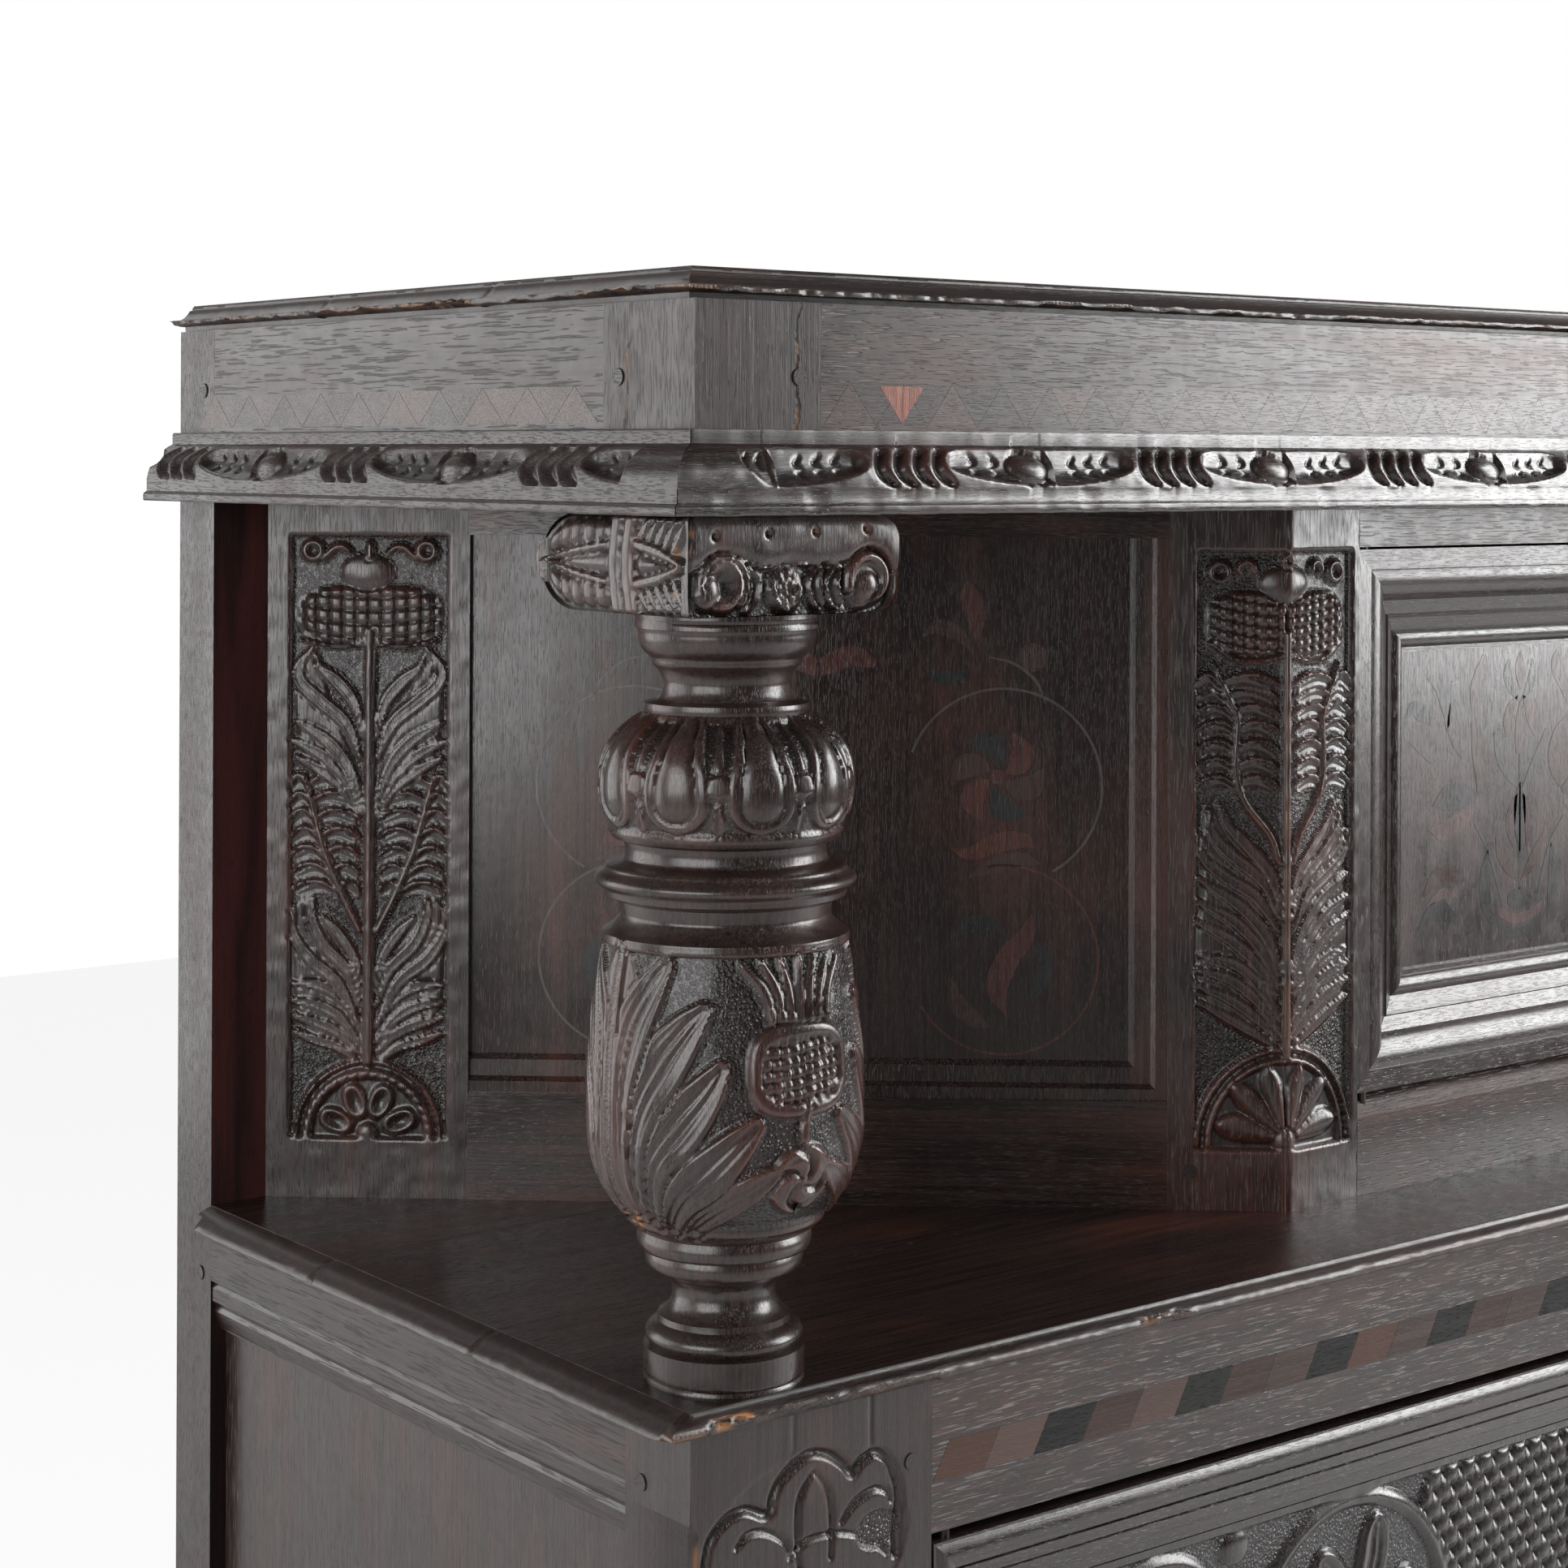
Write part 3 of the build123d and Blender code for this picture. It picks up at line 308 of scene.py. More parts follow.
            # Ridges take the warm rubbed colour: rubbed wear, and partly a painted highlight.
            colour = graph.mix(ridge * rubbed.ramp(0.0, 0.3, 0.10, 0.55), colour, self.warm)
            colour = graph.mix(raw, colour, RAW_OAK)
            height = height + ground * pits * self.stipple
            shine = shine - ridge * 0.08 + raw * 0.3 - ground * 0.06
        bump = graph.node("ShaderNodeBump", inputs={"Strength": 0.75, "Distance": 0.00045, "Height": height})
        self.surface(graph, colour, shine, bump)
        return material

    def hidden(self, graph: Graph, place: Sock) -> Sock:
        """One where the painted dark red reflection goes, otherwise nought."""
        return graph.node("ShaderNodeSeparateXYZ", inputs={0: place}, output=1) < self.painted_reflection_depth

    def surface(self, graph: Graph, colour: Sock, shine: Sock, bump: Sock) -> None:
        """Join colour, roughness and bump to a Principled shader and the output.

        Args:
            graph: The material's graph.
            colour: The base colour.
            shine: The roughness.
            bump: The bumped normal.
        """
        shader = graph.node("ShaderNodeBsdfPrincipled", inputs={
            "Base Color": colour, "Roughness": shine, "Normal": bump, "Specular IOR Level": self.sheen,
            "Coat Weight": self.coat, "Coat Roughness": 0.2})
        # Where the reflection is painted, a dull shader with little specular is mixed in.
        if self.painted_reflection_depth:
            hidden = self.hidden(graph, graph.node("ShaderNodeTexCoord", output=3))
            dull = graph.node("ShaderNodeBsdfPrincipled", inputs={
                "Base Color": colour, "Roughness": shine, "Normal": bump, "Specular IOR Level": 0.08})
            shader = graph.node("ShaderNodeMixShader", inputs={0: hidden, 1: shader, 2: dull})
        graph.node("ShaderNodeOutputMaterial", inputs={"Surface": shader})


# ---- carving ----
class Section(Enum):
    """How a carved stroke is shaped across its width."""

    ROUND = "round"
    HOLLOW = "hollow"
    FLAT = "flat"
    TENT = "tent"


ROUND, HOLLOW, FLAT, TENT = Section


def smooth(value: Array) -> Array:
    """An S-shaped step from 0 to 1 on a value that is held between them."""
    held = np.clip(value, 0.0, 1.0)
    return held * held * (3.0 - 2.0 * held)


def curve(points: Rows, count: int = 8) -> Array:
    """Run a smooth curve through rows of numbers.

    Args:
        points: The rows that it passes; any columns, such as x, y and width.
        count: How many steps there are between neighbours.

    Returns:
        The rows along the curve.
    """
    rows = np.array(points, float)
    rows = np.vstack([2 * rows[0] - rows[1], rows, 2 * rows[-1] - rows[-2]])
    share = np.linspace(0.0, 1.0, count, endpoint=False)[:, None]
    runs = [0.5 * (2 * b + (c - a) * share + (2 * a - 5 * b + 4 * c - d) * share ** 2
                   + (3 * b - a - 3 * c + d) * share ** 3)
            for a, b, c, d in zip(rows, rows[1:], rows[2:], rows[3:])]
    return np.vstack([*runs, rows[-2:-1]])


def waver(shape: tuple[int, int], cell: int, seed: int) -> Array:
    """Slow seeded unevenness over a grid, about -1 to 1.

    Args:
        shape: The grid's rows and columns.
        cell: How many grid steps there are between the random values.
        seed: The seed.

    Returns:
        The uneven grid.
    """
    rows, columns = shape[0] // cell + 4, shape[1] // cell + 4
    values = np.random.default_rng(seed).uniform(-1, 1, (rows, columns))
    across, down = np.arange(shape[1]) / cell + 1, np.arange(shape[0]) / cell + 1
    i, j = down.astype(int)[:, None], across.astype(int)[None, :]
    s, t = smooth(down - down.astype(int))[:, None], smooth(across - across.astype(int))[None, :]
    return ((values[i, j] * (1 - t) + values[i, j + 1] * t) * (1 - s)
            + (values[i + 1, j] * (1 - t) + values[i + 1, j + 1] * t) * s)


def arc(x: float, y: float, wide: float, high: float, width: float, angles: Array) -> list[Triple]:
    """Rows of (x, y, half width) on an oval.

    Args:
        x: The oval's middle across.
        y: Its middle up.
        wide: Its half width.
        high: Its half height.
        width: The half width of the stroke that follows it.
        angles: Where the rows are, in radians.

    Returns:
        The rows.
    """
    return [(x + wide * math.cos(a), y + high * math.sin(a), width) for a in angles]


def uncarved(shape: tuple[int, ...]) -> dict[str, Array]:
    """The relief and raw attributes of a plain surface."""
    return {"relief": np.tile([1.0, 0.0, 0.0, 1.0], (*shape, 1)), "raw": np.zeros(shape)}


class Relief:
    """A carved height field in millimetres: nought at the old face, negative where it is cut down.

    Twin strokes are mirrored about x = 0.
    """

    def __init__(self, across: Array, up: Array) -> None:
        """Start from a flat face.

        Args:
            across: The columns' places.
            up: The rows' places.
        """
        self.x, self.y = np.meshgrid(across, up)
        self.h = np.zeros(self.x.shape)
        self.ground = np.zeros(self.x.shape)
        self.raw = np.zeros(self.x.shape)

    def sink(self, inside: Array, depth: float, matted: float = 1.0) -> None:
        """Cut a field down to a stippled ground where the mask is one."""
        self.h = np.where(inside > 0, np.minimum(self.h, -depth * smooth(inside)), self.h)
        self.ground = np.maximum(self.ground, smooth(inside) * matted)

    def fill(self, inside: Array, height: Array | float) -> None:
        """Set the height where the mask is true, with no stipple there."""
        self.h = np.where(inside, height, self.h)
        self.ground = np.where(inside, 0.0, self.ground)

    def window(self, low: Array, high: Array) -> tuple[slice, slice]:
        """Find the part of the grid that a box touches.

        Args:
            low: The box's low corner (x, y).
            high: Its high corner.

        Returns:
            The rows and the columns.
        """
        rows = np.nonzero((self.y[:, 0] >= low[1]) & (self.y[:, 0] <= high[1]))[0]
        columns = np.nonzero((self.x[0] >= low[0]) & (self.x[0] <= high[0]))[0]
        if not len(rows) or not len(columns):
            return slice(0, 0), slice(0, 0)
        return slice(rows[0], rows[-1] + 1), slice(columns[0], columns[-1] + 1)

    def lay(self, place: tuple[slice, slice], inner: Array, top: float, floor: float, section: Section,
            edge: float, scoop: float, over: bool) -> None:
        """Set the heights of one stroke.

        Args:
            place: The window that inner covers.
            inner: How far inside the stroke each point is, 0 at its edge and 1 at its middle.
            top: The height of the stroke's crest.
            floor: The height at its edge.
            section: The shape across it.
            edge: The share of the half width that the edge takes up.
            scoop: How far a hollow goes down again from the crest, as a share of its rise.
            over: Whether the stroke cuts into what is under it, and doesn't only stand on it.
        """
        inside = inner > 0
        part = np.clip(inner, 0.0, 1.0)
        if section is ROUND:
            rise = np.sqrt(1.0 - (1.0 - part) ** 2)
        elif section is TENT:
            rise = part ** 0.75
        elif section is FLAT:
            rise = smooth(part / edge)
        else:
            rise = smooth(part / edge) * (1.0 - scoop * smooth((part - 0.6 * edge) / (1.0 - 0.6 * edge)))
        height = floor + (top - floor) * rise
        before = self.h[place]
        self.h[place] = np.where(inside, height if over else np.maximum(before, height), before)
        self.ground[place] = np.where(inside, 0.0, self.ground[place])

    def stroke(self, points: Rows, top: float, floor: float, section: Section = HOLLOW, edge: float = 0.4,
               scoop: float = 0.6, over: bool = True, twin: bool = False) -> None:
        """Carve a stroke along a smooth path.

        Args:
            points: Rows of (x, y, half width).
            top: The height of its crest.
            floor: The height at its edge.
            section: The shape across it.
            edge: The share of the half width that the edge takes up.
            scoop: How far a hollow goes down again.
            over: Whether it cuts into what is under it.
            twin: Whether the same stroke is also carved mirrored.
        """
        place, inner = self.along(points)
        self.lay(place, inner, top, floor, section, edge, scoop, over)
        if twin:
            self.stroke([(-row[0], *row[1:]) for row in points], top, floor, section, edge, scoop, over)

    def along(self, points: Rows) -> tuple[tuple[slice, slice], Array]:
        """Measure how far inside a tapered path the grid's points are.

        Args:
            points: Rows of (x, y, half width).

        Returns:
            The window that the path touches, and 1 on the path to 0 at its edge for each point there.
        """
        rows = curve(points)
        reach = rows[:, 2].max() + 1.0
        place = self.window(rows[:, :2].min(0) - reach, rows[:, :2].max(0) + reach)
        x, y = self.x[place], self.y[place]
        best = np.full(x.shape, -9.0)
        for (x0, y0, w0), (x1, y1, w1) in zip(rows, rows[1:]):
            dx, dy = x1 - x0, y1 - y0
            share = np.clip(((x - x0) * dx + (y - y0) * dy) / max(dx * dx + dy * dy, 1e-9), 0, 1)
            width = np.maximum(w0 + (w1 - w0) * share, 0.05)
            best = np.maximum(best, 1.0 - np.hypot(x - x0 - share * dx, y - y0 - share * dy) / width)
        return place, best

    def gouge(self, points: Rows, depth: float) -> None:
        """Cut a tapered groove along a smooth path of (x, y, half width) rows."""
        place, inner = self.along(points)
        self.h[place] -= depth * smooth(inner)

    def oval(self, x: float, y: float, wide: float, high: float, top: float, floor: float,
             section: Section = ROUND, edge: float = 0.4, scoop: float = 0.6, turn: float = 0.0,
             power: float = 2.0) -> None:
        """Carve an oval, or with a higher power a rounded square.

        Args:
            x: Its middle across.
            y: Its middle up.
            wide: Its half width.
            high: Its half height.
            top: The height of its crest.
            floor: The height at its edge.
            section: The shape from its edge to its middle.
            edge: The share that the edge takes up.
            scoop: How far a hollow goes down again.
            turn: Its turn in degrees.
            power: 2 for an oval, more for a squarer form.
        """
        reach = max(wide, high) + 1.0
        place = self.window(np.array([x - reach, y - reach]), np.array([x + reach, y + reach]))
        cos, sin = math.cos(math.radians(turn)), math.sin(math.radians(turn))
        dx, dy = self.x[place] - x, self.y[place] - y
        far = ((np.abs(dx * cos + dy * sin) / wide) ** power
               + (np.abs(dy * cos - dx * sin) / high) ** power) ** (1 / power)
        self.lay(place, 1.0 - far, top, floor, section, edge, scoop, over=True)

    def ring(self, x: float, y: float, radius: float, width: float, top: float, floor: float,
             start: float = 0.0, end: float = 360.0, twin: bool = False) -> None:
        """Carve a round moulding on part of a circle.

        Args:
            x: The circle's middle across.
            y: Its middle up.
            radius: Its radius.
            width: The moulding's half width.
            top: The height of its crest.
            floor: The height at its edges.
            start: Where it starts, in degrees.
            end: Where it ends.
            twin: Whether the same ring is also carved mirrored.
        """
        angles = np.radians(np.linspace(start, end, max(5, int(abs(end - start) / 24))))
        self.stroke(arc(x, y, radius, radius, width, angles), top, floor, ROUND, twin=twin)

    def lattice(self, inside: Array, pitch: float, width: float, depth: float, turn: float = 0.0,
                bend: Array | float = 0.0) -> None:
        """Cut a net of crossing grooves that leaves small studs.

        Args:
            inside: The mask of where it is cut.
            pitch: The distance between grooves.
            width: The half width of a groove.
            depth: Its depth.
            turn: The turn of the first set in degrees.
            bend: How far the net is pulled up at each point.
        """
        for angle in (turn, turn + 90.0):
            cos, sin = math.cos(math.radians(angle)), math.sin(math.radians(angle))
            phase = (self.x * cos + (self.y + bend) * sin) / pitch
            near = np.abs(phase - np.round(phase)) * pitch
            self.h -= depth * smooth(1.0 - near / width) * smooth(inside * 3.0)

    def soften(self) -> None:
        """Take the sharpness off, as wear and wax do."""
        padded = np.pad(self.h, 1, mode="edge")
        near = padded[:-2, 1:-1] + padded[2:, 1:-1] + padded[1:-1, :-2] + padded[1:-1, 2:]
        self.h = 0.5 * self.h + 0.125 * near

    def data(self, deepest: float) -> dict[str, Array]:
        """The mesh attributes for a carved finish.

        Args:
            deepest: The depth that counts as the bottom of a hollow.

        Returns:
            The relief colour (height, ground, ridge) and the raw wood mask.
        """
        padded = np.pad(self.h, 2, mode="edge")
        around = (padded[:-4, 2:-2] + padded[4:, 2:-2] + padded[2:-2, :-4] + padded[2:-2, 4:]) / 4
        # The ridge feeds the warm colour on crests, which is partly a painted highlight.
        ridge = np.clip((self.h - around) * 1.1, 0.0, 1.0)
        # The height, pulled towards its neighbours, feeds the painted shade in hollows.
        height = np.clip(1.0 + (self.h + 0.8 * (around - self.h)) / deepest, 0.0, 1.0)
        return {"relief": np.stack([height, self.ground, ridge, np.ones(self.h.shape)], -1), "raw": self.raw}


# ---- meshes ----
class Solid:
    """A closed mesh that is put together from grids, strips and caps, in millimetres."""

    def __init__(self) -> None:
        """Start empty."""
        self.points: list[Array] = []
        self.faces: list[Array] = []
        self.caps: list[list[int]] = []
        self.values: dict[str, list[Array]] = {"relief": [], "raw": []}
        self.count = 0

    def vertices(self, points: Array, data: dict[str, Array] | None = None) -> Array:
        """Add points of any grid shape, with their attribute values.

        Args:
            points: An array whose last axis is x, y, z.
            data: Attribute arrays of the same grid, or none for a plain surface.

        Returns:
            The new points' numbers, in the grid's shape.
        """
        flat = points.reshape(-1, 3)
        numbers = np.arange(self.count, self.count + len(flat)).reshape(points.shape[:-1])
        self.points.append(flat)
        self.count += len(flat)
        given = data or uncarved((len(flat),))
        self.values["relief"].append(given["relief"].reshape(-1, 4))
        self.values["raw"].append(given["raw"].reshape(-1))
        return numbers

    def quads(self, numbers: Array, around: bool = False) -> None:
        """Join a grid of points with four-sided faces.

        Args:
            numbers: The points' numbers.
            around: Whether the last column is joined to the first.
        """
        grid = np.hstack([numbers, numbers[:, :1]]) if around else numbers
        corners = [grid[:-1, :-1], grid[:-1, 1:], grid[1:, 1:], grid[1:, :-1]]
        self.faces.append(np.stack(corners, -1).reshape(-1, 4))

    def cap(self, ring: Iterable[int]) -> None:
        """Close a ring of points with one face."""
        self.caps.append([int(number) for number in ring])

    def plate(self, front: Array, back: Array, data: dict[str, Array] | None = None) -> None:
        """A carved face on a flat back.

        Args:
            front: The grid of points of the face.
            back: The grid's border carried to the back, in the order of border().
            data: The face's attributes.
        """
        numbers = self.vertices(front, data)
        self.quads(numbers)
        ring = border(numbers)
        rear = self.vertices(back)
        self.quads(np.stack([ring, rear], 0), around=True)
        self.cap(rear)

    def tube(self, rings: Array, data: dict[str, Array] | None = None) -> None:
        """A skin round rows of rings, with its ends closed.

        Args:
            rings: The grid of points, one row for each ring.
            data: Their attributes.
        """
        numbers = self.vertices(rings, data)
        self.quads(numbers, around=True)
        self.cap(numbers[0])
        self.cap(numbers[-1])

    def mesh(self, name: str, sharp: float = 50.0) -> bpy.types.Mesh:
        """Make the Blender mesh, in metres, with its faces outwards.

        Args:
            name: The mesh's name.
            sharp: The angle in degrees past which an edge is shaded sharp.

        Returns:
            The mesh.
        """
        mesh = bpy.data.meshes.new(name)
        faces = [list(map(int, row)) for row in np.vstack(self.faces)]
        mesh.from_pydata((np.vstack(self.points) * MM).tolist(), [], faces + self.caps)
        relief = mesh.attributes.new("relief", "FLOAT_COLOR", "POINT")
        relief.data.foreach_set("color", np.vstack(self.values["relief"]).astype(np.float32).ravel())
        raw = mesh.attributes.new("raw", "FLOAT", "POINT")
        raw.data.foreach_set("value", np.hstack(self.values["raw"]).astype(np.float32))
        tidy_mesh(mesh, sharp)
        return mesh


def border(grid: Array) -> Array:
    """The border of a grid, once round."""
    return np.concatenate([grid[0, :-1], grid[:-1, -1], grid[-1, :0:-1], grid[:0:-1, 0]])


def tidy_mesh(mesh: bpy.types.Mesh, sharp: float = 50.0) -> None:
    """Turn a mesh's faces outwards and shade it smooth, but for its sharp edges.

    Args:
        mesh: The mesh.
        sharp: The angle in degrees past which an edge is shaded sharp.
    """
    work = bmesh.new()
    work.from_mesh(mesh)
    bmesh.ops.remove_doubles(work, verts=work.verts, dist=1e-6)
    bmesh.ops.recalc_face_normals(work, faces=work.faces)
    work.to_mesh(mesh)
    work.free()
    mesh.shade_smooth()
    mesh.set_sharp_from_angle(angle=math.radians(sharp))


def steps(low: float, high: float, size: float) -> Array:
    """Even places from low to high, about size apart."""
    return np.linspace(low, high, max(2, int(round(abs(high - low) / size)) + 1))


@dataclass
class Piece:
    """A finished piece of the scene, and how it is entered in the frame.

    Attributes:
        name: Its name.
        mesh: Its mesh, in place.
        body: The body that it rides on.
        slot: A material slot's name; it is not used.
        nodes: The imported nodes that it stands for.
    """

    name: str
    mesh: bpy.types.Mesh
    body: str = "carcass"
    slot: str = "frame_oak"
    nodes: tuple[str, ...] = ()

    def enter(self, *materials: bpy.types.Material) -> None:
        """Make the object and tell the frame about it.

        Args:
            materials: Its materials, if the mesh has none yet.
        """
        for material in materials:
            self.mesh.materials.append(material)
        piece = bpy.data.objects.new(self.name, self.mesh)
        bpy.context.scene.collection.objects.link(piece)
        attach(piece, self.body)
        if self.nodes:
            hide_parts(*self.nodes)
        LOG.info("%s: %d faces on %s", self.name, len(self.mesh.polygons), self.body)

    def twin(self, *materials: bpy.types.Material) -> None:
        """Enter this left-hand piece, and its mirrored right-hand twin with left changed to right.

        Args:
            materials: The pair's material, if the mesh has none yet.
        """
        other = self.mesh.copy()
        places = np.empty(len(other.vertices) * 3, np.float32)
        other.vertices.foreach_get("co", places)
        places[0::3] *= -1
        other.vertices.foreach_set("co", places)
        other.flip_normals()
        names = [text.replace("left", "right") for text in (self.name, self.body, *self.nodes)]
        self.enter(*materials)
        Piece(names[0], other, names[1], self.slot, tuple(names[2:])).enter(*materials)


def to_canted(along: Array, out: Array, up: Array) -> Array:
    """Places on the left canted wall: along it from its arris, out from its face, up from the shelf."""
    return np.stack([ARRIS[0] + along * ALONG[0] - out * INWARD[0], ARRIS[1] + along * ALONG[1] - out * INWARD[1],
                     SHELF + up + 0 * along], -1)


# ---- repeats made by geometry nodes ----
class RepeatTree:
    """A geometry node tree that repeats a unit along a line or round an upright axis."""

    INPUTS: tuple[tuple[str, str], ...] = (
        ("Unit", "NodeSocketObject"), ("Count", "NodeSocketInt"), ("Start", "NodeSocketVector"),
        ("Step", "NodeSocketVector"), ("Turn", "NodeSocketVector"), ("Flip", "NodeSocketVector"),
        ("Seed", "NodeSocketInt"), ("Finish", "NodeSocketMaterial"))

    def __init__(self) -> None:
        """Build the tree once."""
        self.tree = bpy.data.node_groups.new("repeat_unit", "GeometryNodeTree")
        graph = Graph(self.tree)
        self.keys: dict[str, str] = {}
        for name, kind in self.INPUTS:
            self.keys[name] = self.tree.interface.new_socket(name, in_out="INPUT", socket_type=kind).identifier
        self.tree.interface.new_socket("Mesh", in_out="OUTPUT", socket_type="NodeSocketGeometry")
        given = self.tree.nodes.new("NodeGroupInput")
        value = {name: Sock(graph, given.outputs[name]) for name, _ in self.INPUTS}
        line = graph.node("GeometryNodeMeshLine", {"mode": "OFFSET", "count_mode": "TOTAL"}, {
            "Count": value["Count"], "Start Location": value["Start"], "Offset": value["Step"]})
        unit = graph.node("GeometryNodeObjectInfo", {"transform_space": "ORIGINAL"}, {
            "Object": value["Unit"], "As Instance": True}, output=4)
        index = graph.node("GeometryNodeInputIndex")
        odd = graph.maths("MODULO", index, 2)
        turned = graph.node("ShaderNodeVectorMath", {"operation": "SCALE"}, {0: value["Turn"], "Scale": index})
        flipped = graph.node("ShaderNodeVectorMath", {"operation": "SCALE"}, {0: value["Flip"], "Scale": odd})
        facing = graph.node("ShaderNodeVectorMath", {"operation": "ADD"}, {0: turned, 1: flipped})
        copies = graph.node("GeometryNodeInstanceOnPoints", inputs={
            "Points": line, "Instance": unit, "Rotation": facing})
        tone = graph.node("FunctionNodeRandomValue", {"data_type": "FLOAT"}, {
            "ID": index, "Seed": value["Seed"]}, output=1)
        toned = graph.node("GeometryNodeStoreNamedAttribute", {"data_type": "FLOAT", "domain": "INSTANCE"}, {
            "Geometry": copies, "Name": "tone", "Value": tone})
        real = graph.node("GeometryNodeRealizeInstances", inputs={"Geometry": toned})
        joined = graph.node("GeometryNodeMergeByDistance", inputs={"Geometry": real, "Distance": 2e-5})
        finished = graph.node("GeometryNodeSetMaterial", inputs={"Geometry": joined, "Material": value["Finish"]})
        graph.node("NodeGroupOutput", inputs={"Mesh": finished})

    def run(self, name: str, unit: bpy.types.Mesh, finish: bpy.types.Material, count: int, start: Triple,
            step: Triple = (0, 0, 0), turn: Triple = (0, 0, 0), flip: Triple = (0, 0, 0),
            seed: int = 1) -> bpy.types.Mesh:
        """Repeat a unit and return the result as a plain mesh.

        Args:
            name: The name of the mesh.
            unit: The unit's mesh, in metres.
            finish: The material of the result.
            count: How many copies.
            start: Where the first copy's origin is, in millimetres.
            step: From one copy to the next, in millimetres.
            turn: The rotation from one copy to the next, in radians.
            flip: The extra rotation of every second copy, in radians.
            seed: The seed of each copy's random tone.

        Returns:
            The finished mesh.
        """
        source = bpy.data.objects.new(f"{name}_unit", unit)
        carrier = bpy.data.objects.new(f"{name}_carrier", bpy.data.meshes.new(f"{name}_carrier"))
        for piece in (source, carrier):
            bpy.context.scene.collection.objects.link(piece)
        modifier = carrier.modifiers.new("repeat", "NODES")
        modifier.node_group = self.tree
        settings = {"Unit": source, "Count": count, "Start": [v * MM for v in start], "Step": [v * MM for v in step],
                    "Turn": list(map(float, turn)), "Flip": list(map(float, flip)), "Seed": seed, "Finish": finish}
        for key, value in settings.items():
            modifier[self.keys[key]] = value
        bpy.context.view_layer.update()
        depsgraph = bpy.context.evaluated_depsgraph_get()
        mesh = bpy.data.meshes.new_from_object(carrier.evaluated_get(depsgraph), depsgraph=depsgraph)
        mesh.name = name
        carrier.modifiers.remove(modifier)
        for piece in (source, carrier):
            bpy.data.objects.remove(piece)
        return mesh


@dataclass
class Shop:
    """What every sub-assembly works with: the finishes that are made so far, and the repeat tree."""

    repeats: RepeatTree = field(default_factory=RepeatTree)
    made: dict[str, bpy.types.Material] = field(default_factory=dict)

    def finish(self, finish: OakFinish) -> bpy.types.Material:
        """Get a finish's material, which is made once.

        Args:
            finish: The finish.

        Returns:
            Its material.
        """
        if finish.name not in self.made:
            self.made[finish.name] = finish.make()
        return self.made[finish.name]

    def dress(self, finish: OakFinish, *nodes: str) -> None:
        """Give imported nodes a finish.

        Args:
            finish: The finish.
            nodes: The nodes' names.
        """
        for node in nodes:
            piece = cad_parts[node]
            piece.data.materials.clear()
            piece.data.materials.append(self.finish(finish))
            LOG.info("%s dressed in %s", node, finish.name)


